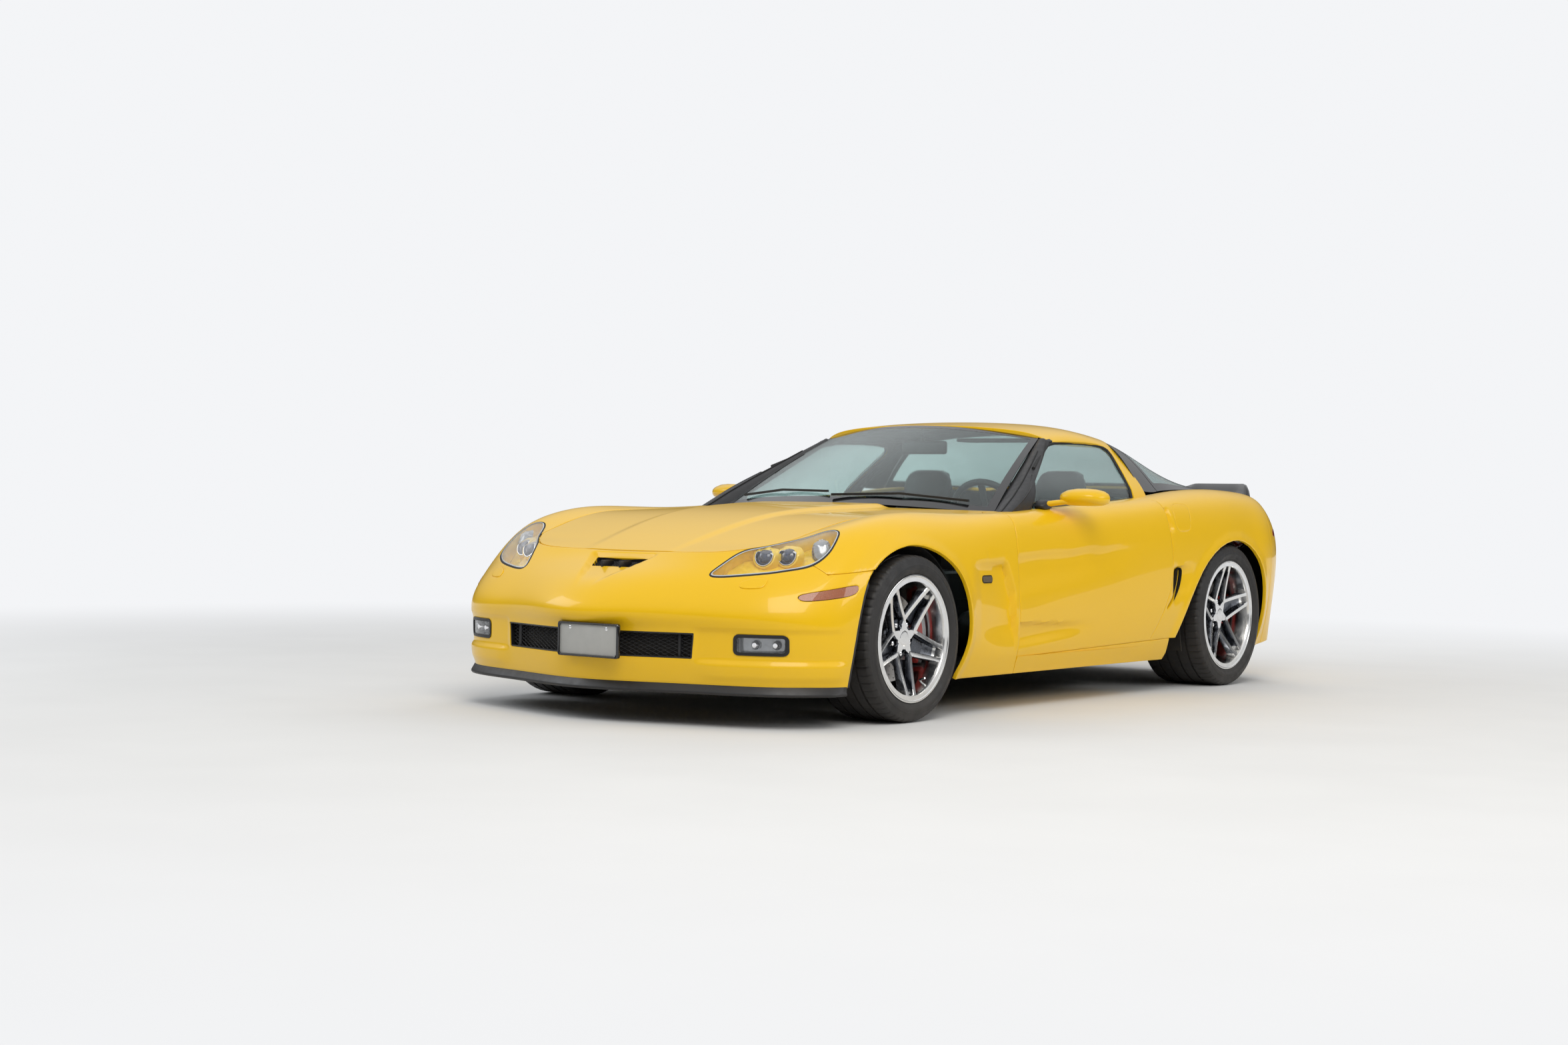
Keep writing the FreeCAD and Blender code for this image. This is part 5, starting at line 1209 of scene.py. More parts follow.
def screen_net():
    """The windshield's surface, bulged between its lower and upper edges."""
    low, top = np.array(SCREEN_LOW), np.array(SCREEN_TOP)
    low_middle, top_middle = np.array(SCREEN_LOW_MIDDLE), np.array(SCREEN_TOP_MIDDLE)
    rows = []
    for w in (-.04, 0, .25, .5, .75, 1, 1.04):
        corner = low + (top - low) * w
        middle = low_middle + (top_middle - low_middle) * w
        bulge = .010 * 4 * w * (1 - w)
        row = []
        for u in (1.04, 1, .8, .6, .4, .2, 0):
            place = middle + (corner - middle) * np.array([u, u * u, u * u])
            row.append((place[0], place[1] - bulge * .4, place[2] + bulge))
        rows.append(row)
    return across(rows)


def roof_net():
    return across([[(x, row[0], z) for x, z in zip(ROOF_X, row[1:])] for row in ROOF_ROWS])


def side_net(out=0.0):
    """The surface of the door glass, left side; s runs back and t upwards."""
    rows = [[(x + out, y + FRONT_Y, z) for x, z in zip(SIDE_X, SIDE_Z)] for y in (.80, 1.2, 1.6, 2.1)]
    return Skin(rows)


def hatch_front(q):
    places, ys = zip(*HATCH_LINE)
    return np.interp(np.abs(q[:, 0]), places, ys)


def swing_line(q):
    """Front edge of the part of the rear glass that opens."""
    return np.interp(np.abs(q[:, 0]), (0, .592, .76, .80), (2.213, 2.215, 2.266, 2.30))


class COUPE_OT_upper(bpy.types.Operator):
    """Hood, roof with its hoop, rear deck and lip"""
    bl_idname = "coupe.upper"
    bl_label = "Hood, roof and deck"

    def execute(self, context):
        skin = Skin(body_net())
        line = edge_line(skin, LEAD_IN, LEAD_IN + 11.4)
        back = [(x, float(screen_edge(x)) - .014) for x in np.linspace(.752, .0, 40)]
        loop = np.array(mirrored_loop(list(map(tuple, line[line[:, 1] < back[0][1] - .004])) + back))

        def hood_cut(q):
            return polygon_distance(q[:, :2], loop) + .0048

        net = crowned(HOOD_ROWS)
        hood = panel("hood_panel", net, (0, net.s[-1]), (0, net.t[-1]), [hood_cut], lift=dome, thick=.014)
        soften(hood, .0016)
        settle(hood, "hood_panel", PAINT, "hood_body", "body_paint")
        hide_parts("hood")

        def roof_front(q):
            front = SCREEN_TOP_MIDDLE[1] + .007 + .12 * (np.abs(q[:, 0]) / .569) ** 2
            return np.where(q[:, 2] > 1.0, front - q[:, 1], -1.0)

        side = both_sides(side_shape(SIDE_OPENING, 1)(0))
        cutters = [roof_front, side, lambda q: q[:, 1] - hatch_front(q),
                   lambda q: np.where(q[:, 2] < 1.08, 1.93 - q[:, 1], -1.0)]
        net = roof_net()
        roof = panel("roof_skin", net, (0, net.s[-1]), (0, net.t[-1]), cutters, flange=.018, edge=.0025)
        settle(roof, "roof_skin", PAINT, "chassis", "body_paint")
        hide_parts("roof", "roof_hoop")

        net = crowned(DECK_ROWS)
        line = edge_line(skin, LEAD_IN + 18.5, LEAD_IN + 24)
        line = [p for p in line if p[1] > 3.063]
        front_edge = [(x, 3.062) for x in np.linspace(0, line[0][0], 12)[:-1]]
        loop = np.array(mirrored_loop(front_edge + [tuple(p) for p in line]))

        def deck_cut(q):
            return polygon_distance(q[:, :2], loop) + .001

        deck = panel("deck_skin", net, (0, net.s[-1]), (0, net.t[-1]), [deck_cut])
        settle(deck, "deck_skin", PAINT, "chassis", "body_paint")
        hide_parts("rear_deck")
        lip = spoiler_lip()
        settle(lip, "rear_lip", "gloss_black", "chassis", "black_trim", smooth=50)
        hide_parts("spoiler")
        return {"FINISHED"}


def spoiler_lip():
    """The black lip on the deck, lower in the middle, with ends that run down into the quarters."""
    stations = np.concatenate([[-.742, -.740, -.734, -.722, -.705], np.linspace(-.69, -.38, 12),
                               np.linspace(-.36, -.30, 5), np.linspace(-.26, .26, 11),
                               np.linspace(.30, .36, 5), np.linspace(.38, .69, 12),
                               [.705, .722, .734, .740, .742]])
    rings = []
    for x in stations:
        a = abs(x)
        base = np.interp(a, (0, .40, .65, .742), (3.478, 3.463, 3.408, 3.318))
        lean = np.interp(a, (0, .6, .742), (.022, .022, .010))
        top = .950 + .017 * float(step(a, .29, .37))
        top = top - .030 * float(step(a, .675, .728)) - .042 * float(step(a, .715, .742))
        deck = np.interp(a, (0, .40, .60, .742), (.886, .884, .880, .868))
        share = float(step(a, .744, .72))
        run = .030 + .075 * share
        ring = [(base - run, deck + .002), (base - run * .62, deck + (top - deck) * .30),
                (base - run * .25, deck + (top - deck) * .66), (base + lean - .020, top - .003),
                (base + lean - .012, top), (base + lean - .002, top - .001), (base + lean, top - .006),
                (base + lean * .75, top - .022), (base + .004, deck - .004), (base - run * .5, deck - .010)]
        rings.append([(x, y + FRONT_Y, z) for y, z in ring])
    made = ring_solid("rear_lip", rings)
    return soften(made, .0015, 2, 50)


class COUPE_OT_glass(bpy.types.Operator):
    """Windshield, side windows and rear glass, with their black borders, pillars and seals"""
    bl_idname = "coupe.glass"
    bl_label = "Glass and seals"

    def execute(self, context):
        glass, black = "tinted_window", "gloss_black"
        net = screen_net()
        s0, s1 = net.s[1], net.s[-2]
        t0, t1 = net.t[1], net.t[-2]
        low, high, side = .052, .026, .034
        window = panel("windshield_glass", net, (s0 + low, s1 - high), (t0 + side, t1 - side), [], cell=.028,
                       thick=.0055)
        settle(window, "windshield_glass", glass, "chassis", "tinted_glass")
        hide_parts("windshield")
        strips = [((s0, s0 + low), (t0, t1)), ((s1 - high, s1), (t0, t1)),
                  ((s0 + low, s1 - high), (t0, t0 + side)), ((s0 + low, s1 - high), (t1 - side, t1))]
        strips = [panel("band", net, s, t, [], cell=.028, thick=.006) for s, t in strips]
        settle(join(strips, "windshield_border"), "windshield_border", black, "chassis", "black_trim")

        net = across([[(x, y, z) for x, z in pairs] for y, *pairs in HATCH_ROWS])
        skin = Skin(body_net())
        line = edge_line(skin, LEAD_IN + 14.5, LEAD_IN + 19)

        def inside_quarter(q):
            return np.abs(q[:, 0]) - np.interp(q[:, 1], line[:, 1], line[:, 0]) + .007

        border, rear_end = .032, 3.052
        cutters = [inside_quarter,
                   lambda q: q[:, 1] - rear_end + .10 * step(np.abs(q[:, 0]), .58, .66) ** 2,
                   lambda q: swing_line(q) - q[:, 1]]
        inner = [lambda q: inside_quarter(q) + border, lambda q: q[:, 1] - rear_end + border + .02,
                 lambda q: swing_line(q) + border - q[:, 1]]
        window = panel("rear_glass", net, (0, net.s[-1]), (0, net.t[-1]), inner, cell=.022, thick=.005)
        settle(window, "rear_glass", glass, "hatch_body", "tinted_glass")
        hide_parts("hatch_glass")

        def band_cut(q):
            return -np.maximum.reduce([cut(q) for cut in inner])

        strip = panel("rear_glass_border", net, (0, net.s[-1]), (0, net.t[-1]), cutters + [band_cut],
                      cell=.016, thick=.0055)
        settle(strip, "rear_glass_border", black, "hatch_body", "black_trim")
        cutters = [inside_quarter, lambda q: q[:, 1] - swing_line(q) + .006,
                   lambda q: hatch_front(q) - .012 - q[:, 1], lambda q: .45 - np.abs(q[:, 0])]
        fixed = panel("hoop_border", net, (0, net.s[-1]), (0, net.t[-1]), cutters, cell=.014, thick=.004)
        settle(fixed, "hoop_border", black, "chassis", "black_trim")

        net = side_net(-.003)
        ends = ((0, net.s[-1]), (0, net.t[-1]))
        window = panel("door_window_left", net, *ends, [side_shape(DOOR_GLASS, 1)(0, True)], cell=.020,
                       thick=.005)
        pair(window, "door_window", glass, "tinted_glass", *DOOR_BODIES, replaces="door_glass")
        net = side_net(.001)
        sail = panel("mirror_sail_left", net, *ends, [side_shape(MIRROR_SAIL, 0)(0, True)], cell=.010,
                     thick=.010)
        soften(sail, .0015)
        pair(sail, "mirror_sail", "moulded_black", "black_trim", *DOOR_BODIES)
        belt = [(np.interp(z, SIDE_Z, SIDE_X) + .003, y + FRONT_Y, z) for y, z in
                ((1.00, .812), (1.10, .8225), (1.30, .836), (1.50, .8475), (1.70, .859), (1.895, .8725),
                 (1.952, .878))]
        pair(tube("belt_seal_left", belt, .0045, 8), "belt_seal", "seal_rubber", "black_trim", *DOOR_BODIES)
        self.seals()
        self.pillars()
        return {"FINISHED"}

    def seals(self):
        """The black seal round the door glass, under the roof's edge and down the rear pillar."""
        line = smooth_loop([(1.247, .999), (1.400, 1.060), (1.540, 1.110), (1.620, 1.1205), (1.800, 1.1255),
                            (1.950, 1.1235), (2.030, 1.114), (2.057, 1.098), (2.058, 1.074), (2.014, .985),
                            (1.966, .883), (1.96, .868)], 0)
        fine = []
        for a, b in zip(line, line[1:]):
            fine += [a + (b - a) * k / 3 for k in range(3)]
        fine.append(line[-1])
        path = [(float(np.interp(z, SIDE_Z, SIDE_X)) - .002, y + FRONT_Y, z) for y, z in fine]
        pair(tube("window_seal_left", path, .0078, 10), "window_seal", "seal_rubber", "black_trim")

    def pillars(self):
        """The black pillars beside the windshield, each with its thin raised joint."""
        low_in, top_in = np.array((.724, .886, .797)), np.array((.562, 1.521, 1.134))
        out, back = np.array((.62, -.38, .68)), np.array((0, FRONT_Y, 0))
        joint = .52
        rows, ridge = [], []
        for u in (-.02, 0, .2, .4, .6, .8, 1, 1.03):
            inner = low_in + (top_in - low_in) * u
            z = .800 + .322 * u
            outer = np.array((np.interp(z, SIDE_Z, SIDE_X) + .004, .850 + .705 * u, z))
            swell_out = .016 + .006 * u
            rows.append([outer * (1 - v) + inner * v + out * swell_out * 4 * v * (1 - v) + back
                         for v in (0, .12, .35, .6, .85, 1)])
            if 0 <= u < 1:
                ridge.append(outer * (1 - joint) + inner * joint + out * (swell_out * .998 + .001) + back)
        net = Skin(rows)
        pillar = panel("pillar_left", net, (net.s[1] * .5, net.s[6] - .012), (0, net.t[-1]), [], cell=.012,
                       flange=.010, edge=.003)
        pair(pillar, "pillar", "moulded_black", "black_trim")
        pair(tube("pillar_joint_left", ridge, .0032, 8), "pillar_joint", "seal_rubber", "black_trim")


# Wheels: middle of the wheel on the left side, half its rim width, half its tyre width, rim and tyre
# radius, and the angle of the first pair of spokes
WHEELS = {
    "front": ((.8065, FRONT_Y, .322), .121, .1375, .246, .322, -90),
    "rear": ((.794, REAR_Y, .335), .143, .1625, .258, .335, 90),
}
DISC_RADIUS = .170
HOLED_RINGS = (1, 3, 5, 7)
TREAD_STEPS = 360


def around(centre, angle, radius, x, aside=0.0):
    """A point beside the wheel's axis: radius out along the angle, and aside across it."""
    c, s = math.cos(angle), math.sin(angle)
    return Vector((centre[0] + x, centre[1] + radius * c - aside * s, centre[2] + radius * s + aside * c))


def face_place(r, half, end):
    """Place across the car of the spokes' flat faces at a radius."""
    return half - .041 + .0405 * max(0.0, (r - .060) / (end - .060)) ** 1.25


def alloy_wheel(name, centre, half, rim):
    """Rim and barrel, five pairs of flat ribs with a sunk web between, and the hub with its pockets."""
    parts = []
    lip = [(half + .006, rim), (half + .0068, rim - .002), (half + .0062, rim - .006),
           (half + .0035, rim - .009), (half + .0030, rim - .026), (half - .001, rim - .0285),
           (half - .010, rim - .030), (half - .044, rim - .037), (half - .060, rim - .040),
           (-half + .056, rim - .040), (-half + .034, rim - .028), (-half - .004, rim - .024),
           (-half - .006, rim - .010), (-half - .006, rim), (-half, rim), (-half, rim - .017),
           (-half + .034, rim - .017), (-half + .052, rim - .029), (half - .052, rim - .029),
           (half - .034, rim - .017), (half, rim - .017), (half, rim)]
    parts.append(turned("barrel", lip, centre, "X", sizes().wheel_steps))
    end = rim - .0245

    def face(r):
        return face_place(r, half, end)

    def back(r):
        return half - .066 + .022 * (r - .034) / (rim - .064)

    width = sizes().spoke_width
    root, spread = .076, .0235
    for number in range(5):
        base = 2 * math.pi * number / 5
        for side in (-1, 1):
            start = Vector((root * math.cos(side * math.radians(36)),
                            root * math.sin(side * math.radians(36))))
            last = Vector((end + .004, side * spread))
            along = (last - start).normalized()
            normal = Vector((-along.y, along.x))
            rings = []
            for share in (-.06, 0, .12, .25, .4, .55, .7, .82, .9, .95, 1.0):
                at = start + (last - start) * share
                r = at.length
                wide = width / 2 * (1 + .16 * max(0, share - .86) / .14 + .10 * max(0, .12 - share) / .12)
                top, low = face(r), back(r)
                ring = []
                for a, x in ((-1.0, top - .003), (-.80, top - .0004), (0, top), (.80, top - .0004),
                             (1.0, top - .003), (1.22, low + .004), (.9, low), (-.9, low),
                             (-1.22, low + .004)):
                    spot = at + normal * (a * wide)
                    ring.append(around(centre, base, spot.x, x, spot.y))
                rings.append(ring)
            parts.append(ring_solid("rib", rings))
        rings = []
        for r in np.linspace(.086, end + .002, 12):
            share = (r - .0615) / (end - .0615)
            wide = .0447 + (spread - .0447) * share
            top, low = face(r) - .024 - .006 * math.sin(math.pi * min(1, max(0, share))), back(r) - .002
            fall = .020 * max(0.0, 1 - (r - .086) / .02)
            ring = [around(centre, base, r, x, a * wide)
                    for a, x in ((-1, top - fall), (-.6, top - .002 - fall), (0, top - .003 - fall),
                                 (.6, top - .002 - fall), (1, top - fall), (1, low), (0, low), (-1, low))]
            rings.append(ring)
        parts.append(ring_solid("web", rings))
    count, pocket, reach = 150, .0178, .0600
    ring_face, ring_edge, ring_low = [], [], []
    for i in range(count):
        angle = 2 * math.pi * i / count
        near = (math.degrees(angle) + 36) % 72 - 36
        bend = math.radians(near)
        lobe = .052 + .033 * max(0.0, (abs(near) - 15) / 21) ** 1.5
        if abs(math.sin(bend)) * reach < pocket and abs(near) < 60:
            inner = reach * math.cos(bend) - math.sqrt(pocket ** 2 - (reach * math.sin(bend)) ** 2)
            lobe = inner if abs(near) < 16.5 else min(lobe, max(inner, .050))
        r = max(.036, lobe)
        ring_edge.append(around(centre, angle, r, half - .0425))
        ring_face.append(around(centre, angle, r - .0022, half - .0405))
        ring_low.append(around(centre, angle, r + .001, half - .072))
    parts.append(ring_solid("hub_star", [ring_face, ring_edge, ring_low]))
    hub = [(half - .0735, .0), (half - .0715, .060), (half - .0715, .084), (half - .076, .088),
           (half - .095, .074), (.022, .070), (.022, 0)]
    parts.append(turned("hub", hub, centre, "X", 64, closed=False))
    cap = [(half - .0400, .0), (half - .0385, .022), (half - .0392, .0285), (half - .0405, .0300),
           (half - .046, .0300), (half - .046, 0)]
    parts.append(turned("cap", cap, centre, "X", 48, closed=False))
    made = outward(join(parts, name))
    # Flat outer faces take the polished alloy; faces that turn sideways and the sunk web take the darker
    # alloy, partly their cast finish and partly painted shade
    for metal in ("polished_alloy", "shaded_alloy"):
        made.data.materials.append(look(metal))
    for face in made.data.polygons:
        out = Vector(face.center) - Vector(centre)
        radius = math.hypot(out.y, out.z)
        sunk = out.x < face_place(radius, half, end) - .007
        shaded = abs(face.normal.x) < .72 or sunk
        face.material_index = 1 if shaded and radius < rim - .046 else 0
    return made


def wheel_fixings(name, centre, half, rim):
    """Lug nuts in their pockets and the valve."""
    parts = []
    for number in range(5):
        angle = 2 * math.pi * number / 5
        rings = []
        for x, r in ((-.072, .0112), (-.056, .0112), (-.0535, .0102), (-.0515, .0070), (-.0508, .0025)):
            ring = []
            for k, (c, n) in enumerate(circle(12)):
                size = r * (1.0 if k % 2 == 0 else .93)
                ring.append(around(centre, angle, .0603 + size * c, half + x, size * n))
            rings.append(ring)
        parts.append(ring_solid("nut", rings))
    angle = math.radians(36)
    path = [around(centre, angle, rim - .039, half - .046), around(centre, angle, rim - .046, half - .034),
            around(centre, angle, rim - .051, half - .018)]
    parts.append(tube("valve", path, [.0045, .004, .0036], 10))
    return outward(join(parts, name))


def drilled_disc(name, centre):
    """The brake disc with its drilled holes, and its hat."""
    steps, low, high = 120, -.010, .020
    radii = [.098, .106, .114, .122, .130, .138, .146, .154, .162, DISC_RADIUS]
    mesh = bmesh.new()
    grid = {}
    for face_index, x in enumerate((high, low)):
        for i, r in enumerate(radii):
            for j in range(steps):
                grid[face_index, i, j] = mesh.verts.new(around(centre, 2 * math.pi * j / steps, r, x))
    for i in range(len(radii) - 1):
        for j in range(steps):
            k = (j + 1) % steps
            holed = i in HOLED_RINGS and (j + i * 2) % 8 == 0
            rings = []
            for face_index in (0, 1):
                corners = [grid[face_index, i, j], grid[face_index, i, k], grid[face_index, i + 1, k],
                           grid[face_index, i + 1, j]]
                if face_index:
                    corners = [corners[0], corners[3], corners[2], corners[1]]
                if not holed:
                    mesh.faces.new(corners)
                    continue
                middle = sum((v.co for v in corners), Vector()) / 4
                ring = []
                for a, b in zip(corners, corners[1:] + corners[:1]):
                    for spot in (a.co, (a.co + b.co) / 2):
                        ring.append(mesh.verts.new(middle + (spot - middle).normalized() * .0030))
                for n in range(4):
                    a, b = corners[n], corners[(n + 1) % 4]
                    mesh.faces.new((a, b, ring[(2 * n + 2) % 8], ring[2 * n + 1], ring[2 * n]))
                rings.append(ring)
            if holed:
                front, rear = rings
                rear = rear[:1] + rear[:0:-1]
                for n in range(8):
                    m = (n + 1) % 8
                    mesh.faces.new((front[n], front[m], rear[m], rear[n]))
    last = len(radii) - 1
    for j in range(steps):
        k = (j + 1) % steps
        mesh.faces.new((grid[0, last, j], grid[0, last, k], grid[1, last, k], grid[1, last, j]))
        mesh.faces.new((grid[0, 0, k], grid[0, 0, j], grid[1, 0, j], grid[1, 0, k]))
    bmesh.ops.recalc_face_normals(mesh, faces=mesh.faces)
    made = fresh(name)
    mesh.to_mesh(made.data)
    mesh.free()
    hat = turned("hat", [(.018, .099), (.030, .088), (.034, .070), (.034, 0), (-.006, 0), (-.008, .099)],
                 centre, "X", 72, closed=False)
    return join([made, hat], name)


def tyre_mesh(name, centre, half, wide, rim, outer):
    """Sidewalls with plain rings and a rim guard, and a tread with long grooves and cross cuts."""
    side = [(half - .016, rim - .012), (half - .004, rim - .010), (half + .0005, rim + .001),
            (half + .0055, rim + .004), (half + .0095, rim + .0085), (half + .0105, rim + .0125),
            (half + .0125, rim + .0165), (wide - .0008, rim + .024), (wide, rim + .032),
            (wide - .0006, rim + .0365), (wide + .0002, rim + .0375), (wide - .0006, rim + .0385),
            (wide - .0025, outer - .0300), (wide - .0040, outer - .0225), (wide - .0072, outer - .0150),
            (wide - .0072, outer - .0146), (wide - .0125, outer - .0082), (wide - .0195, outer - .0040)]
    edge = wide - .026
    crown = [(edge, outer - .0016, 1)]
    for share in (.62, .22, -.22, -.62):
        at = share * edge
        rise = .0014 * (at / edge) ** 2
        crown += [(at + .0052, outer - rise, 2), (at + .0038, outer - rise - .0065, 0),
                  (at - .0038, outer - rise - .0065, 0), (at - .0052, outer - rise, 2)]
    crown.append((-edge, outer - .0016, 1))
    profile = [(x, r, 0) for x, r in side] + crown + [(-x, r, 0) for x, r in side[::-1]]
    profile += [(-half + .018, rim - .010, 0), (-wide + .022, rim + .030, 0), (-wide + .034, outer - .014, 0),
                (wide - .034, outer - .014, 0), (wide - .022, rim + .030, 0), (half - .018, rim - .010, 0)]
    points, faces = [], []
    for x, r, kind in profile:
        shoulder = abs(abs(x) - (wide - .0195)) < 1e-6 or abs(abs(x) - (wide - .0125)) < 1e-6
        for j, (c, n) in enumerate(circle(TREAD_STEPS)):
            size = r
            if kind == 1 and j % 6 == (0 if x > 0 else 3):
                size = r - .0052
            if kind == 2 and j % 12 == 0 and abs(x) > .4 * edge:
                size = r - .0030
            if shoulder and j % 6 == (0 if x > 0 else 3):
                size = r - .0036
            points.append((centre[0] + x, centre[1] + size * c, centre[2] + size * n))
    rows = len(profile)
    for row in range(rows):
        here, there = row * TREAD_STEPS, (row + 1) % rows * TREAD_STEPS
        for j in range(TREAD_STEPS):
            k = (j + 1) % TREAD_STEPS
            faces.append((here + j, here + k, there + k, there + j))
    return outward(from_faces(name, points, faces))


def caliper_cover(name, centre):
    """The enamelled caliper over its carrier: arched body and three pistons."""
    cover = .0016
    reach, half = DISC_RADIUS + .026 + cover, .0510 + cover
    rings = []
    span = math.radians(34.5)
    for share in np.linspace(-1, 1, 15):
        angle = span * share
        close = abs(share) ** 4
        top = reach - .012 * close
        low = .112 + .012 * close
        ring = []
        for x, r in ((half - .004, low), (half, low + .010), (half - .001, reach * .86),
                     (half - .006, top - .006), (half - .014, top), (-half + .014, top),
                     (-half + .006, top - .006), (-half, low + .010), (-half + .004, low), (-.018, low),
                     (-.018, DISC_RADIUS + .0065), (.028, DISC_RADIUS + .0065), (.028, low)):
            ring.append(around(centre, angle, r, x))
        rings.append(ring)
    parts = [ring_solid("caliper", rings)]
    for share in (-.62, 0, .62):
        spot = around(centre, span * share, .146, half - .001)
        parts.append(turned("piston", [(-.002, 0), (.0035, .0), (.0035, .015), (.002, .0185), (-.002, .0185)],
                            spot, "X", 24, closed=False))
    return soften(join(parts, name), .002, 2, 50)


class COUPE_OT_wheels(bpy.types.Operator):
    """Tyres, split-spoke alloy wheels, drilled discs and calipers"""
    bl_idname = "coupe.wheels"
    bl_label = "Wheels and brakes"

    def execute(self, context):
        for end, (centre, half, wide, rim, outer, first) in WHEELS.items():
            rolling = ["rolling_%s_%s" % (end, side) for side in ("left", "right")]
            turn = Matrix.Translation(centre) @ Matrix.Rotation(math.radians(first), 4, "X") \
                @ Matrix.Translation(-Vector(centre))
            makers = (
                ("tyre_skin", tyre_mesh, (half, wide, rim, outer), "tyre_rubber_finish", "tyre_rubber", 45,
                 "tyre_"),
                ("alloy", alloy_wheel, (half, rim), None, "wheel_alloy", 32, "wheel_"),
                ("fixings", wheel_fixings, (half, rim), "bright_metal", "steel", 35, None),
                ("disc", drilled_disc, (), "brake_iron", "steel", 35, None),
            )
            for label, make, measures, material, slot, smooth, node in makers:
                name = "%s_%s" % (label, end)
                piece = make(name + "_left", centre, *measures)
                piece.data.transform(turn)
                pair(piece, name, material, slot, *rolling, node and node + end, smooth)
            caliper = caliper_cover("caliper_%s_left" % end, centre)
            bodies = ("upright_front_left", "upright_front_right") if end == "front" else ()
            pair(caliper, "caliper_%s" % end, "caliper_enamel", "suspension_alloy", *bodies)
        return {"FINISHED"}


# Lamps and fittings
def raised(lift, rise):
    """A lift with the same rise added everywhere."""
    return lambda q: (lift(q) if lift else 0.0 * q[:, 0]) + rise


def bowl(name, skin, ends, shape, depth, grow=-.001, lift=None, cell=.008):
    """A sunk floor behind an opening, with walls up to its edge."""
    def wall(p, deep, normal, away):
        return p + normal * (depth - .0015) + away * .0005
    return panel(name, skin, *ends, [shape(grow, True)], lift=raised(lift, -depth), inward=wall, cell=cell)


def band(name, skin, ends, shape, wide, grow=.001, rise=.0, cell=.006, thick=.0025, lift=None):
    """A narrow strip that follows the edge of an opening."""
    return panel(name, skin, *ends, [shape(grow, True), shape(grow - wide)], lift=raised(lift, rise),
                 cell=cell, thick=thick)


def pane(name, skin, ends, shape, grow, rise=-.001, thick=.003, cell=.008, lift=None):
    """A closed cover that fills an opening."""
    return panel(name, skin, *ends, [shape(grow, True)], lift=raised(lift, rise), cell=cell, thick=thick)


def lattice(name, skin, ends, shape, pitch, wire, sink=.018):
    """Diamond mesh behind an opening."""
    (s0, s1), (t0, t1) = ends
    a, b = pitch
    mesh = bmesh.new()
    spots = {}

    def spot(i, j):
        if (i, j) not in spots:
            spots[i, j] = mesh.verts.new((s0 + i * a / 2, t0 + j * b / 2, 0))
        return spots[i, j]

    for i in range(1, int((s1 - s0) / a * 2)):
        for j in range(1, int((t1 - t0) / b * 2)):
            if (i + j) % 2:
                mesh.faces.new((spot(i - 1, j), spot(i, j - 1), spot(i + 1, j), spot(i, j + 1)))
    trim(mesh, skin, shape(.004, True))
    bmesh.ops.remove_doubles(mesh, verts=mesh.verts, dist=.0006)
    bmesh.ops.delete(mesh, geom=[v for v in mesh.verts if not v.link_faces], context="VERTS")
    lay(mesh, skin, level(-sink))
    made = fresh(name)
    mesh.to_mesh(made.data)
    mesh.free()
    return modify(made, "WIREFRAME", thickness=wire, use_replace=True, use_boundary=True,
                  use_even_offset=False)


def aimed(piece, centre, yaw, pitch=0.0):
    centre = Vector(centre)
    turn = Euler((pitch, 0, yaw)).to_matrix().to_4x4()
    piece.data.transform(Matrix.Translation(centre) @ turn @ Matrix.Translation(-centre))
    return piece


def nestle(piece, lens, room):
    """Lowers what would come through a lens to a little under it."""
    tree = BVHTree.FromObject(lens, bpy.context.evaluated_depsgraph_get())
    for vert in piece.data.vertices:
        hit = tree.ray_cast(Vector((vert.co.x, vert.co.y, 2)), Vector((0, 0, -1)))[0]
        if hit is not None and vert.co.z > hit.z - room:
            vert.co.z = hit.z - room
    return piece


# Parts of a projector: name, profile, faces round it, room under the lens, finish and slot
PROJECTOR = (
    ("projector_socket", [(-.004, .0372), (-.008, .0395), (-.006, .0450), (.006, .0500), (.026, .056),
                          (.026, .038)], 48, .009, "lamp_bezel", "body_paint"),
    ("projector_ring", [(-.005, .0335), (-.0085, .0345), (-.0085, .0362), (-.003, .0372), (.020, .0372),
                        (.020, .0340)], 48, .007, "lamp_reflector", "clear_lens"),
    ("projector", [(-.012, .0), (-.0115, .009), (-.009, .018), (-.004, .026), (.003, .0315),
                   (.008, .033), (.020, .033), (.020, .0)], 40, .0065, "projector_blue", "clear_lens"),
)


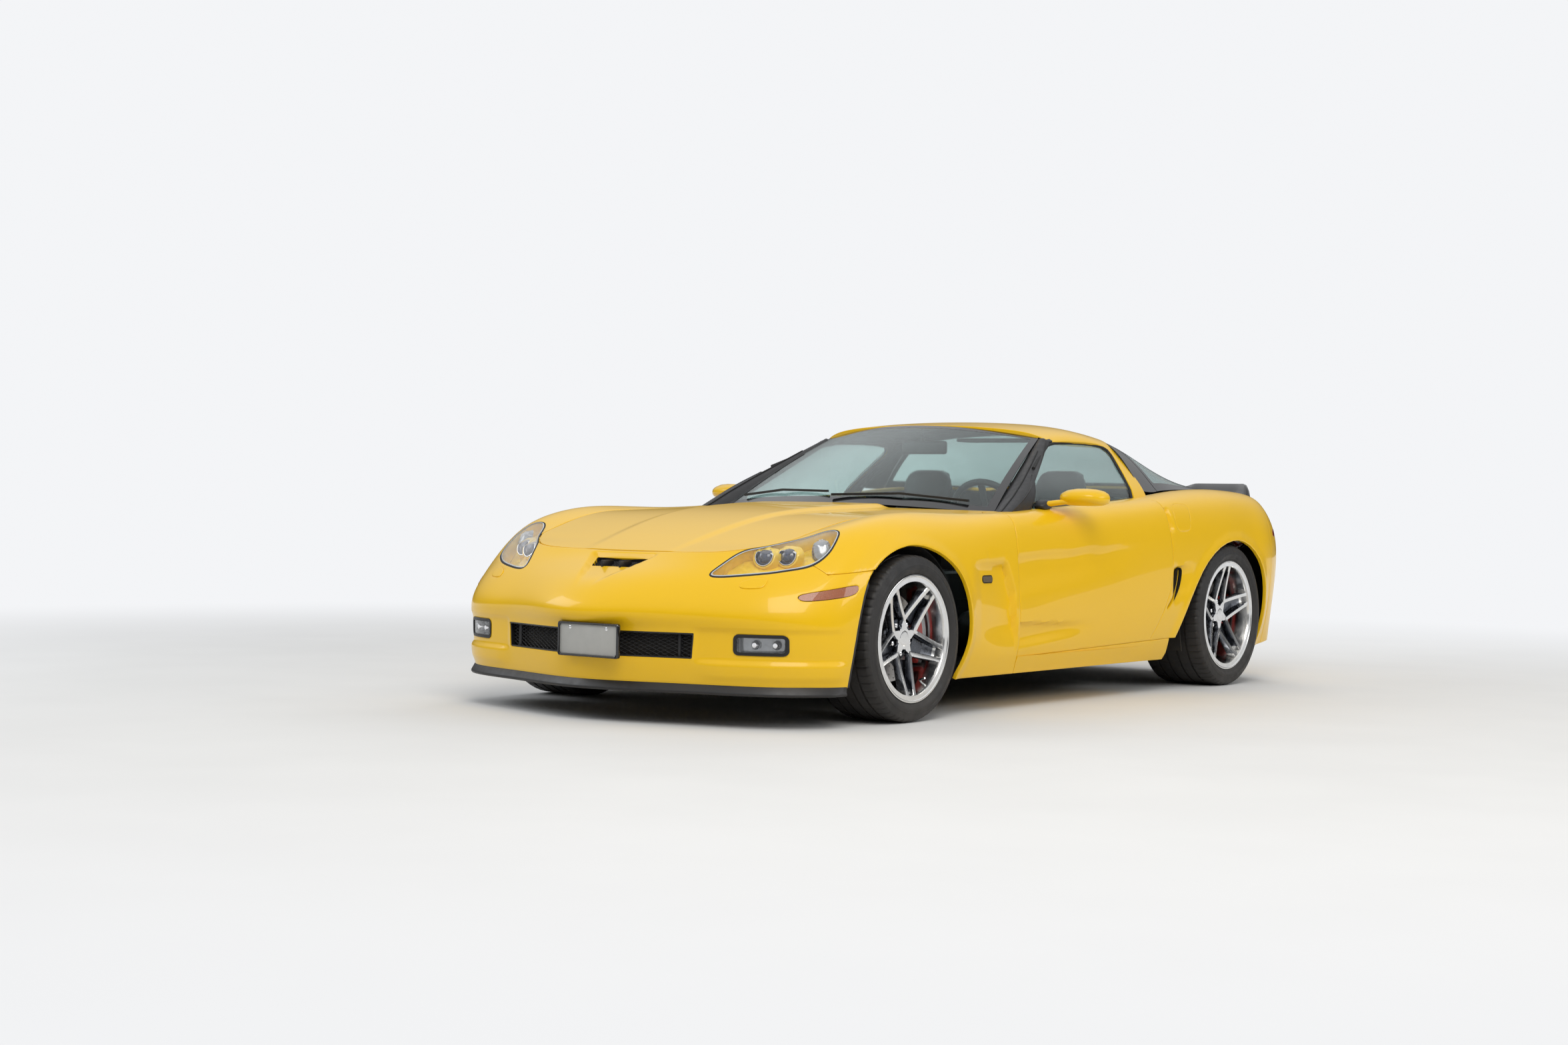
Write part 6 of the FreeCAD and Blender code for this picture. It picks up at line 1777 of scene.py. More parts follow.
class COUPE_OT_lamps(bpy.types.Operator):
    """Headlamps, fog lamps, markers and tail lamps"""
    bl_idname = "coupe.lamps"
    bl_label = "Lamps"

    def execute(self, context):
        skin = Skin(body_net())
        s, t = skin.s, skin.t
        ends = ((s[LEAD_IN + 1], s[LEAD_IN + 9]), (t[2], t[-1]))
        lens, _ = pair(pane("lens", skin, ends, lamp_shape, grow=-.001), "headlamp_lens",
                       "clear_lens_plastic", "clear_lens", replaces="headlamp")
        pair(bowl("bowl", skin, ends, lamp_shape, .052), "headlamp_bezel", "lamp_bezel", "body_paint")
        pair(band("gasket", skin, ends, lamp_shape, .006, grow=.0022, rise=.0002), "headlamp_gasket",
             "seal_rubber", "black_trim")
        pair(band("edge", skin, ends, lamp_shape, .0034, grow=-.0040, rise=.0004), "headlamp_rim", "lens_rim",
             "clear_lens")
        for number, (x, y, z) in enumerate(((.594, -.508, .629), (.669, -.464, .633))):
            centre = Vector((x, y + FRONT_Y, z))
            for label, profile, steps, room, material, slot in PROJECTOR:
                part = turned("part", profile, centre, "Y", steps, closed=profile[-1][1] > 0)
                pair(nestle(aimed(part, centre, .20, -.30), lens, room), "%s_%d" % (label, number),
                     material, slot)
        centre = Vector((.757, -.372 + FRONT_Y, .654))
        rings = []
        for place, radius in ((-.020, .012), (-.019, .026), (-.014, .040), (-.004, .050), (.018, .054),
                              (.022, .034)):
            ring = []
            for i, (c, n) in enumerate(circle(96)):
                flute = radius * (1 + (.020 if i % 4 < 2 else -.020))
                ring.append(centre + Vector((.72 * flute * c, place, flute * n)))
            rings.append(ring)
        pair(nestle(aimed(ring_solid("flutes", rings), centre, .55, -.35), lens, .006), "fluted_lamp",
             "fluted_lens", "clear_lens", smooth=25)

        ends = ((s[LEAD_IN + 2], s[LEAD_IN + 8]), (0, t[3]))
        lens, _ = pair(pane("lens", skin, ends, fog_shape, grow=-.012, rise=-.006), "fog_lens",
                       "clear_lens_plastic", "clear_lens")
        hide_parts("fog_lamps")
        pair(band("surround", skin, ends, fog_shape, .012, grow=-.0005, rise=-.003, thick=.012),
             "fog_surround", "moulded_black", "black_trim")
        pair(bowl("bowl", skin, ends, fog_shape, .045, grow=-.008), "fog_reflector", "fluted_lens",
             "clear_lens")
        for x in (.675, .745):
            centre = Vector((x, skin_y(skin, x, FOG_LAMP[1]) + .030, FOG_LAMP[1]))
            bulb = turned("bulb", [(-.014, 0), (-.012, .009), (-.004, .015), (.010, .018), (.012, .0)],
                          centre, "Y", 24, closed=False)
            pair(aimed(bulb, centre, .30), "fog_bulb_%d" % round(x * 1000), "bright_metal", "clear_lens")

        ends = ((s[LEAD_IN + 3], s[LEAD_IN + 8]), (t[1], t[4]))
        lens, _ = pair(pane("marker", skin, ends, marker_shape, grow=-.0015, rise=.0008, cell=.005),
                       "front_marker", "amber_marker", "marker_lens")
        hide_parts("side_markers")
        pair(bowl("bed", skin, ends, marker_shape, .010, grow=.0005, cell=.006), "front_marker_bed",
             "moulded_black", "black_trim")
        ends = ((s[LEAD_IN + 19], s[LEAD_IN + 23]), (t[2], t[-1]))
        pair(pane("marker", skin, ends, rear_marker_shape, grow=-.001, rise=.0006, cell=.005, lift=tail_lift),
             "rear_marker", "red_lamp", "marker_lens")
        ends = ((s[LEAD_IN + 8], s[LEAD_IN + 11]), (t[1], t[4]))
        pair(pane("repeater", skin, ends, repeater_shape, grow=0, rise=.004, thick=.006, cell=.004,
                  lift=fender_lift), "side_repeater", "smoked_lens", "marker_lens")
        pair(band("rim", skin, ends, repeater_shape, .0045, grow=.0035, rise=.0022, cell=.003, thick=.004,
                  lift=fender_lift), "side_repeater_rim", "gloss_black", "black_trim")
        for x, y, yaw in zip(TAIL_LAMPS, (3.533, 3.491), (.10, .26)):
            centre = Vector((x, y + FRONT_Y - .006, TAIL_LAMP_HEIGHT))
            lens = turned("lens", [(-.040, .060), (-.004, .064), (.001, .0625), (.003, .058), (.0005, .050),
                                   (.003, .047), (.0035, .030), (.001, .027), (.0035, .023), (.0045, .0),
                                   (-.040, .0)], centre, "Y", 64, closed=False)
            lens, _ = pair(aimed(lens, centre, -yaw), "tail_lamp_%d" % round(x * 100), "red_lamp", "red_lens")
            if x == TAIL_LAMPS[0]:
                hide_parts("tail_lamps")
            ring = turned("ring",
                          [(-.030, .064), (-.002, .0645), (.004, .0665), (.002, .0715), (-.030, .0725)],
                          centre, "Y", 64)
            pair(aimed(ring, centre, -yaw), "tail_lamp_ring_%d" % round(x * 100), "gloss_black", "black_trim")
        return {"FINISHED"}


def skin_y(skin, x, z):
    """Place along the car of the nose's surface at a place across and up."""
    s = np.linspace(skin.s[LEAD_IN], skin.s[LEAD_IN + 8], 60)
    t = np.linspace(0, skin.t[-1], 60)
    both = np.array([(a, b) for a in s for b in t])
    at = skin.at(both[:, 0], both[:, 1])
    near = np.argmin((at[:, 0] - x) ** 2 + (at[:, 2] - z) ** 2)
    return float(at[near][1])


class COUPE_OT_fittings(bpy.types.Operator):
    """Grille, scoop, splitter, number plate, mirrors, exhaust tips and strips"""
    bl_idname = "coupe.fittings"
    bl_label = "Fittings"

    def execute(self, context):
        skin = Skin(body_net())
        s, t = skin.s, skin.t
        nose = s[LEAD_IN]
        reach = s[LEAD_IN + 5] - nose
        ends = ((nose - reach, nose + reach), (0, t[3]))
        net = lattice("grille_mesh", skin, ends, grille_shape, pitch=(.030, .026), wire=.0036)
        settle(net, "grille_mesh", "grille_black", "chassis", "black_trim")
        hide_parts("grille")
        box = bowl("grille_box", skin, ends, grille_shape, .040, cell=.012)
        settle(box, "grille_box", "wheel_liner_felt", "chassis", "black_trim")
        edge = band("grille_edge", skin, ends, grille_shape, .006, grow=-.001, rise=-.003, cell=.007,
                    thick=.014)
        settle(edge, "grille_edge", "moulded_black", "chassis", "black_trim")
        bars = []
        for x in (-.40, .40):
            y = skin_y(skin, abs(x), .30) + .010
            bars.append(block("bar", (x - .007, y, .252), (x + .007, y + .020, .348), .003, 2))
        bars = join(bars, "grille_bars")
        settle(bars, "grille_bars", "moulded_black", "chassis", "black_trim")
        reach = s[LEAD_IN + 2] - nose
        ends = ((nose - reach, nose + reach), (t[3], t[-1] - .003))
        box = bowl("scoop_box", skin, ends, scoop_shape, .055, lift=nose_lift, cell=.010)
        settle(box, "scoop_box", "wheel_liner_felt", "chassis", "black_trim")
        net = lattice("scoop_mesh", skin, ends, scoop_shape, pitch=(.012, .009), wire=.0018, sink=.032)
        settle(net, "scoop_mesh", "grille_black", "chassis", "black_trim")
        ribs = [block("rib", (x - .004, -.700 + FRONT_Y, .545), (x + .004, -.632 + FRONT_Y, .602), .0015, 2)
                for x in (-.045, .045)]
        ribs = join(ribs, "scoop_ribs")
        settle(ribs, "scoop_ribs", "moulded_black", "chassis", "black_trim")
        self.plate()
        self.splitter(skin)
        ends = ((s[LEAD_IN + 14], s[LEAD_IN + 17]), (0, t[4]))
        pair(bowl("brake_slot_box", skin, ends, slot_shape, .030, grow=.001), "brake_slot_box",
             "wheel_liner_felt", "black_trim")

        def strip_cut(q):
            return np.maximum(q[:, 1] + .30, .13 - q[:, 2])

        ends = ((s[LEAD_IN + 4], s[LEAD_IN + 8]), (0, t[4]))
        strip = panel("arch_strip", skin, *ends,
                      [front_arch_shape(-.0008, True), front_arch_shape(-.015), strip_cut],
                      lift=level(-.004), cell=.008, thick=.004)
        pair(strip, "arch_strip", "moulded_black", "black_trim")
        self.mirrors()
        for number, x in enumerate((-.165, -.055, .055, .165)):
            tip = turned("tip", [(2.040, .0420), (2.205, .0424), (2.216, .0436), (2.222, .0432),
                                 (2.2235, .0415), (2.221, .0398), (2.206, .0388), (2.070, .0384)],
                         (x, 0, .262), "Y", 56)
            settle(tip, "exhaust_tip_%d" % number, "bright_metal", "chassis", "steel")
        return {"FINISHED"}

    def plate(self):
        """The blank number plate in its frame."""
        low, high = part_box("front_plate")
        low, high = Vector(low), Vector(high)
        edge, deep, corner = .009, .006, .010
        plate = block("front_plate_blank", (low.x + edge * .6, low.y + deep, low.z + edge * .6),
                      (high.x - edge * .6, high.y - .002, high.z - edge * .6), .002, 2)
        settle(plate, "front_plate_blank", "bare_plate", "chassis", "plate_grey")
        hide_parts("front_plate")
        mesh = bmesh.new()
        rows = []
        for grow, y in ((0, high.y), (0, low.y + .003), (-.002, low.y), (-edge + .002, low.y),
                        (-edge, low.y + .002), (-edge, low.y + deep + .003)):
            row = []
            for x, z, turn in ((low.x - grow + corner, low.z - grow + corner, 180),
                               (high.x + grow - corner, low.z - grow + corner, 270),
                               (high.x + grow - corner, high.z + grow - corner, 0),
                               (low.x - grow + corner, high.z + grow - corner, 90)):
                for angle in (math.radians(turn + part * 18) for part in range(6)):
                    row.append(mesh.verts.new((x + corner * math.cos(angle), y,
                                               z + corner * math.sin(angle))))
            rows.append(row)
        for one, two in zip(rows, rows[1:] + rows[:1]):
            for i in range(len(one)):
                j = (i + 1) % len(one)
                mesh.faces.new((one[i], one[j], two[j], two[i]))
        border = fresh("front_plate_frame")
        mesh.to_mesh(border.data)
        mesh.free()
        settle(outward(border), "front_plate_frame", "gloss_black", "chassis", "black_trim")
        screws = []
        for x in (low.x + .06, high.x - .06):
            screws.append(turned("screw", [(low.y + .0035, 0), (low.y + .0035, .004), (low.y + .005, .0065),
                                           (low.y + .009, .0065), (low.y + .009, 0)], (x, 0, high.z - .022),
                                 "Y", 20, closed=False))
        screws = join(screws, "front_plate_bolts")
        settle(screws, "front_plate_bolts", "bright_metal", "chassis", "steel")

    def splitter(self, skin):
        """The black blade under the nose."""
        along = np.linspace(skin.s[LEAD_IN], skin.s[LEAD_IN + 9], 160)
        line = skin.at(along, along * 0)
        line = line[line[:, 1] - FRONT_Y < -.405]
        tangent = np.gradient(line[:, :2], axis=0)
        tangent[0] = (1, 0)
        tangent /= np.linalg.norm(tangent, axis=1)[:, None]
        out = np.stack([tangent[:, 1], -tangent[:, 0]], axis=1)
        rings = []
        for i, (place, away) in enumerate(zip(line, out)):
            lean = .013 * float(step(i / (len(line) - 1), 1.0, .93)) + .002
            profile = ((lean - .003, .1235), (lean, .1265), (lean + .0005, .132), (lean - .002, .136),
                       (.001, .158), (-.006, .1635), (-.040, .164), (-.046, .150), (-.040, .1235))
            rings.append([(place[0] + away[0] * far, place[1] + away[1] * far, z) for far, z in profile])
        right = [[(-x, y, z) for x, y, z in ring] for ring in rings[:0:-1]]
        blade = ring_solid("splitter_blade", right + rings)
        settle(blade, "splitter_blade", "moulded_black", "chassis", "black_trim", 50)
        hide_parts("splitter")

    def mirrors(self):
        """Door mirrors: rounded shells on short arms, with a black foot and the glass."""
        stations = ((.868, 1.222, .872, .020, .016), (.876, 1.226, .874, .040, .026),
                    (.895, 1.232, .876, .056, .033), (.930, 1.242, .878, .066, .0365),
                    (.970, 1.252, .878, .070, .037), (1.005, 1.260, .877, .067, .0355),
                    (1.030, 1.268, .875, .058, .0315), (1.046, 1.275, .873, .043, .024),
                    (1.053, 1.280, .872, .026, .014), (1.055, 1.281, .872, .008, .005))
        rings = []
        for x, y, z, deep, tall in stations:
            ring = []
            for c, n in circle(40):
                a = squarish(c, .85) * deep
                b = squarish(n, .80) * tall * (1 - .22 * max(0, -c))
                ring.append((x, min(y + a, 1.306) + FRONT_Y, z + b))
            rings.append(ring)
        shell = soften(ring_solid("mirror_shell", rings), .0025, 2, 60)
        rings = [[(x + .010 * n * .4, y + .034 * c + FRONT_Y, z + high * n) for c, n in circle(20)]
                 for x, y, z, high in ((.838, 1.150, .846, .014), (.862, 1.176, .852, .013),
                                       (.895, 1.212, .858, .012), (.935, 1.240, .858, .012))]
        shell = join([shell, ring_solid("arm", rings)], "mirror_shell")
        pair(shell, "mirror_shell", PAINT, "body_paint", *DOOR_BODIES, replaces="mirror")
        rings = [[(x, 1.140 + (.046 + grow) * c + FRONT_Y, .842 + (.019 + grow) * n + .006 * c)
                  for c, n in circle(28)]
                 for x, grow in ((.806, .004), (.832, .003), (.845, .0), (.848, -.004))]
        pair(ring_solid("foot", rings), "mirror_foot", "moulded_black", "black_trim", *DOOR_BODIES)
        rings = []
        for grow, y in ((-.003, 1.3040), (.0, 1.3045), (.0, 1.3095), (-.002, 1.3105)):
            wide, tall = .070 + grow, .0275 + grow
            rings.append([(.962 + squarish(c, .55) * wide, y + FRONT_Y, .8775 + squarish(n, .6) * tall)
                          for c, n in circle(40)])
        pair(ring_solid("glass", rings), "mirror_glass", "bright_metal", "steel", *DOOR_BODIES)


# Cabin: middle of the left seat and dials, and the shift lever's place behind the front axle
SEAT_X = .370
SHIFT_Y = 1.38


def pad_mesh(name, stations):
    """A crowned pad: each station is (y, z, half width, thickness, bolster rise, lean), seat side first."""
    rings = []
    for y, z, half, thick, rise, lean in stations:
        up = Vector((0, -math.sin(lean), math.cos(lean)))
        ring = []
        for c, n in circle(28):
            aside = squarish(c, .62)
            high = squarish(n, .62) * thick / 2
            if n > 0:
                high += rise * float(step(abs(aside), .55, .86)) * min(1.0, n * 3)
                high += thick * .10 * (1 - aside ** 2)
            ring.append(Vector((SEAT_X + aside * half, y + FRONT_Y, z)) + up * high)
        rings.append(ring)
    return ring_solid(name, rings)


def swell(piece):
    """Remeshes a pad, lets it swell as padding does, holds the movement under a cap, and smooths it."""
    cap = .012
    modify(piece, "REMESH", mode="VOXEL", voxel_size=.010)
    if sizes().cloth_frames:
        rest = [v.co.copy() for v in piece.data.vertices]
        pick(piece)
        cloth = piece.modifiers.new("cloth", "CLOTH")
        cloth.settings.use_pressure = True
        cloth.settings.uniform_pressure_force = 4.0
        cloth.settings.effector_weights.gravity = 0.0
        cloth.settings.quality = 4
        cloth.collision_settings.use_collision = False
        scene = bpy.context.scene
        for number in range(1, sizes().cloth_frames + 1):
            scene.frame_set(number)
        bpy.ops.object.modifier_apply(modifier=cloth.name)
        scene.frame_set(1)
        for vert, start in zip(piece.data.vertices, rest):
            moved = vert.co - start
            if moved.length > cap:
                vert.co = start + moved.normalized() * cap
    modify(piece, "SMOOTH", factor=.5, iterations=3)
    modify(piece, "SUBSURF", levels=1, render_levels=1)
    return piece


def seam(name, pad, points, direction, radius=.0028):
    """Piping that lies on a finished pad, found by a ray from outside."""
    tree = BVHTree.FromObject(pad, bpy.context.evaluated_depsgraph_get())
    path = []
    for point in points:
        direction = Vector(direction).normalized()
        hit = tree.ray_cast(Vector(point) + direction * .3, -direction)[0]
        if hit is not None:
            path.append(hit - direction * radius * .35)
    return tube(name, path, radius, 8)


class COUPE_OT_seats(bpy.types.Operator):
    """Two bucket seats: cushion, back and head pads with piping, on shells"""
    bl_idname = "coupe.seats"
    bl_label = "Seats"

    def execute(self, context):
        pads = (
            ("seat_cushion", [(1.462, .235, .175, .05, .010, .10), (1.475, .248, .205, .10, .026, .10),
                              (1.53, .262, .222, .125, .036, .10), (1.64, .262, .228, .125, .040, .08),
                              (1.75, .256, .226, .120, .036, .06), (1.83, .254, .215, .11, .020, .05),
                              (1.865, .256, .190, .06, .005, .05)]),
            ("seat_back", [(1.905, .335, .170, .05, .004, -1.30), (1.905, .352, .205, .09, .022, -1.30),
                           (1.922, .43, .222, .105, .045, -1.31), (1.955, .56, .226, .105, .050, -1.31),
                           (1.990, .70, .220, .100, .040, -1.32), (2.014, .79, .195, .090, .020, -1.33),
                           (2.028, .835, .150, .07, .006, -1.34), (2.033, .848, .115, .03, .0, -1.34)]),
            ("seat_head", [(2.040, .835, .085, .03, .0, -1.34), (2.042, .850, .110, .065, .004, -1.34),
                           (2.052, .900, .128, .080, .010, -1.36), (2.062, .950, .126, .075, .010, -1.38),
                           (2.068, .985, .105, .060, .004, -1.40), (2.070, 1.000, .075, .028, .0, -1.40)]),
        )
        made = {}
        for name, stations in pads:
            piece = swell(pad_mesh(name, stations))
            made[name] = settle(piece, name + "_left", "seat_leather_finish", "chassis", "seat_leather", 60)
            twin = other_side(piece, name + "_right", "chassis")
        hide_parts("seats")
        lines = []
        cushion, back = made["seat_cushion"], made["seat_back"]
        up, ahead = (0, 0, 1), (0, -1, .2)
        for side in (-1, 1):
            x = SEAT_X + side * .132
            points = [(x, y + FRONT_Y, .30) for y in np.linspace(1.50, 1.84, 12)]
            lines.append(seam("seam", cushion, points, up))
            points = [(x, 1.90 + .22 * (z - .35) + FRONT_Y, z) for z in np.linspace(.37, .80, 12)]
            lines.append(seam("seam", back, points, ahead))
        across_seat = SEAT_X + np.linspace(-.128, .128, 9)
        for y in (1.60, 1.70):
            lines.append(seam("seam", cushion, [(x, y + FRONT_Y, .3) for x in across_seat], up, .0018))
        for z in (.50, .64):
            lines.append(seam("seam", back, [(x, 1.95 + FRONT_Y, z) for x in across_seat], ahead, .0018))
        pair(join(lines, "seat_piping"), "seat_piping", "dash_grain", "seat_leather")
        rings = []
        for y, z, half, deep in ((1.900, .250, .19, .03), (1.935, .30, .215, .04), (1.975, .45, .228, .045),
                                 (2.010, .60, .225, .045), (2.045, .74, .212, .042), (2.072, .84, .165, .036),
                                 (2.092, .92, .122, .030), (2.106, .985, .095, .022),
                                 (2.108, 1.0, .06, .012)):
            rings.append([(SEAT_X + squarish(c, .6) * half, y + squarish(n, .7) * deep / 2 + FRONT_Y, z)
                          for c, n in circle(24)])
        shell = ring_solid("shell", rings)
        base = block("base", (SEAT_X - .20, 1.49 + FRONT_Y, .158), (SEAT_X + .20, 1.90 + FRONT_Y, .205),
                     .016, 3)
        rails = [block("rail", (SEAT_X + x - .012, 1.46 + FRONT_Y, .150),
                       (SEAT_X + x + .012, 1.94 + FRONT_Y, .166), .003, 2) for x in (-.17, .17)]
        pair(join([shell, base] + rails, "seat_shell"), "seat_shell", "moulded_black", "black_trim")
        return {"FINISHED"}


class COUPE_OT_cabin(bpy.types.Operator):
    """Dials, vents, console, mirror, visors, headliner and trim"""
    bl_idname = "coupe.cabin"
    bl_label = "Cabin"

    def execute(self, context):
        high = Vector(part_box("dashboard")[1])
        rings = []
        for y, half, rise, base in ((high.y - .10, .150, .006, .79), (high.y - .06, .165, .032, .79),
                                    (high.y + .0, .170, .046, .785), (high.y + .035, .165, .046, .785)):
            ring = []
            for i in range(24):
                angle = math.pi * i / 23
                ring.append((SEAT_X + half * math.cos(angle), y, base + rise * math.sin(angle)))
            for i in range(24):
                angle = math.pi * (23 - i) / 23
                ring.append((SEAT_X + (half - .008) * math.cos(angle), y,
                             base - .004 + (rise - .004) * math.sin(angle)))
            rings.append(ring)
        settle(ring_solid("binnacle", rings), "binnacle", "dash_grain", "chassis", "black_trim")
        dials, rims = [], []
        for x, size in ((-.085, .040), (.085, .040), (0, .030)):
            spot = (SEAT_X + x, high.y - .004, .768 if size > .035 else .772)
            dials.append(turned("dial", [(.000, .0), (.003, size * .96), (.010, size), (.010, 0)], spot, "Y",
                                40, closed=False))
            rims.append(turned("rim", [(-.001, size * .97), (.012, size * .98), (.014, size + .004),
                                       (-.001, size + .003)], spot, "Y", 40))
        settle(join(dials, "dial_faces"), "dial_faces", "gloss_black", "chassis", "black_trim")
        settle(join(rims, "dial_rims"), "dial_rims", "bright_metal", "chassis", "steel")
        vents = []
        for x in (.60, .10, -.10, -.60):
            spot = (x, high.y - .002, .735)
            vents.append(turned("vent",
                                [(-.004, .036), (.012, .036), (.015, .039), (.012, .043), (-.004, .044)],
                                spot, "Y", 32))
            for z in (-.018, 0, .018):
                wide = math.sqrt(.036 ** 2 - z ** 2)
                vents.append(block("blade", (x - wide, high.y - .004, .735 + z - .0015),
                                   (x + wide, high.y + .010, .735 + z + .0015), .0007, 1))
        settle(join(vents, "dash_vents"), "dash_vents", "moulded_black", "chassis", "black_trim")
        lever = (0, SHIFT_Y + FRONT_Y, node_top("dashboard", SHIFT_Y))
        boot = turned("boot", [(.0, .058), (.012, .052), (.022, .036), (.034, .026), (.044, .016),
                               (.048, .010), (.048, 0), (.0, 0)], lever, "Z", 28, closed=False)
        settle(boot, "shift_boot", "seat_leather_finish", "chassis", "seat_leather")
        knob = turned("knob", [(.044, .006), (.085, .0065), (.090, .016), (.102, .0235), (.118, .0235),
                               (.130, .016), (.134, .0)], lever, "Z", 28, closed=False)
        settle(outward(knob), "shift_knob", "bright_metal", "chassis", "steel")
        glass = block("inner_mirror", (-.120, 1.452 + FRONT_Y, 1.062), (.120, 1.480 + FRONT_Y, 1.122),
                      .012, 4)
        stem = tube("stem",
                    [(0, 1.462 + FRONT_Y, 1.112), (0, 1.448 + FRONT_Y, 1.148), (0, 1.436 + FRONT_Y, 1.172)],
                    .008, 10)
        settle(join([glass, stem], "inner_mirror"), "inner_mirror", "moulded_black", "chassis", "black_trim")
        visors = [block("visor", (x - .165, 1.475 + FRONT_Y, 1.118), (x + .165, 1.60 + FRONT_Y, 1.134),
                        .007, 3) for x in (-.33, .33)]
        settle(join(visors, "sun_visors"), "sun_visors", "headliner_felt", "chassis", "black_trim")
        net = roof_net()
        cutters = [lambda q: np.abs(q[:, 0]) - .52, lambda q: 1.50 - q[:, 1], lambda q: q[:, 1] - 2.06,
                   lambda q: 1.02 - q[:, 2]]
        lining = panel("headliner", net, (0, net.s[-1]), (0, net.t[-1]), cutters,
                       lift=level(-.022), cell=.03, thick=.004)
        settle(lining, "headliner", "headliner_felt", "chassis", "black_trim")
        wheel_low, wheel_high = (Vector(c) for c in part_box("steering_wheel"))
        centre = (wheel_low + wheel_high) / 2
        hub = turned("pad",
                     [(-.020, .0), (-.018, .030), (-.010, .052), (.004, .060), (.012, .058), (.012, 0)],
                     (0, 0, 0), "Y", 32, closed=False)
        hub.data.transform(Matrix.Translation(centre) @ Matrix.Rotation(math.pi + math.radians(-22), 4, "X"))
        settle(outward(hub), "steering_pad", "dash_grain", "steering_wheel_body", "black_trim")
        return {"FINISHED"}


def node_top(node, y):
    """Highest point of a CAD node near a place along the car, on the middle line."""
    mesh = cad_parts[node].data
    near = [v.co.z for v in mesh.vertices if abs(v.co.y - (y + FRONT_Y)) < .12 and abs(v.co.x) < .12]
    return max(near) if near else .42


# Frame parts that keep their CAD shape
FRAME_FINISHES = {
    "sills": PAINT, "windshield_frame": "moulded_black", "wipers": "moulded_black",
    "dashboard": "dash_grain", "steering_wheel": "seat_leather_finish", "floor_pan": "carpet_pile",
    "frame_rails": "dark_steel", "wheel_liners": "wheel_liner_felt", "engine_block": "cast_alloy",
    "exhaust": "dark_steel", "front_suspension": "dark_steel", "rear_suspension": "dark_steel",
    "knuckle_front_left": "cast_alloy", "knuckle_front_right": "cast_alloy",
}


class COUPE_OT_frame(bpy.types.Operator):
    """Finishes of the frame, floor, running gear and trim that keep their CAD shape"""
    bl_idname = "coupe.frame"
    bl_label = "Frame finishes"

    def execute(self, context):
        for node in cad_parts:
            paint_cad(node, FRAME_FINISHES.get(node, "moulded_black"))
        return {"FINISHED"}


class COUPE_OT_stage(bpy.types.Operator):
    """Pale floor, soft lamps and the camera at the photograph's viewpoint"""
    bl_idname = "coupe.stage"
    bl_label = "Stage"

    def execute(self, context):
        scene = context.scene
        bpy.ops.object.select_all(action="DESELECT")
        bpy.ops.mesh.primitive_plane_add(size=80, location=(0, 0, 0))
        floor = context.active_object
        floor.name = "studio_floor"
        floor.data.materials.append(floor_finish())
        scene.world = studio_air()
        for values in LAMPS:
            lamp(*values)
        scene.camera = photo_camera()
        scene.view_settings.view_transform = "Standard"
        return {"FINISHED"}


def sight(tree):
    """Masks of the rays that see the surroundings straight or through glass, and also by reflection."""
    path = add(tree, "ShaderNodeLightPath").outputs
    seen = combine(tree, "MAXIMUM", path["Is Camera Ray"], path["Is Transmission Ray"])
    return seen, combine(tree, "MAXIMUM", seen, path["Is Glossy Ray"])


def studio_air():
    """Plain light all round, which reflections see fade towards the floor."""
    world = bpy.data.worlds.new("studio_air")
    world.use_nodes = True
    tree = world.node_tree
    seen, mirrored = sight(tree)
    level = blend(tree, mirrored, AIR_LIGHT, BACKDROP_LIGHT)
    place = add(tree, "ShaderNodeTexCoord")
    parts = add(tree, "ShaderNodeSeparateXYZ", {"Vector": place.outputs["Generated"]})
    ramp = add(tree, "ShaderNodeMapRange", {"Value": parts.outputs["Z"], "From Min": 0.06, "From Max": 0.6,
                                            "To Min": 0.05, "To Max": 1.0})
    plain = blend(tree, seen, ramp.outputs["Result"], 1.0)
    back = tree.nodes["Background"]
    tree.links.new(combine(tree, "MULTIPLY", level, plain), back.inputs["Strength"])
    back.inputs["Color"].default_value = BACKDROP_COLOUR
    return world


def photo_camera():
    """The camera at the photograph's viewpoint, turned by its yaw, pitch and roll."""
    data = bpy.data.cameras.new("photo_camera")
    data.sensor_width = 36
    data.lens = CAMERA_LENS
    data.clip_start, data.clip_end = 0.1, 200
    camera = bpy.data.objects.new("photo_camera", data)
    bpy.context.scene.collection.objects.link(camera)
    level = math.cos(CAMERA_PITCH)
    ahead = Vector((-math.sin(CAMERA_YAW) * level, math.cos(CAMERA_YAW) * level, math.sin(CAMERA_PITCH)))
    level_side = Vector((math.cos(CAMERA_YAW), math.sin(CAMERA_YAW), 0))
    rise = level_side.cross(ahead)
    side = level_side * math.cos(CAMERA_ROLL) + rise * math.sin(CAMERA_ROLL)
    top = -level_side * math.sin(CAMERA_ROLL) + rise * math.cos(CAMERA_ROLL)
    turn = Matrix((side, top, -ahead)).transposed()
    camera.matrix_world = Matrix.Translation(CAMERA_PLACE) @ turn.to_4x4()
    return camera


def lamp(name, place, target, power, size, colour):
    """A rectangular area lamp that faces its target."""
    data = bpy.data.lights.new(name, "AREA")
    data.shape = "RECTANGLE"
    data.size, data.size_y = size
    data.energy = power
    data.color = colour
    made = bpy.data.objects.new(name, data)
    bpy.context.scene.collection.objects.link(made)
    made.location = place
    made.visible_glossy = name != "back"
    made.rotation_euler = (Vector(target) - Vector(place)).to_track_quat("-Z", "Y").to_euler()


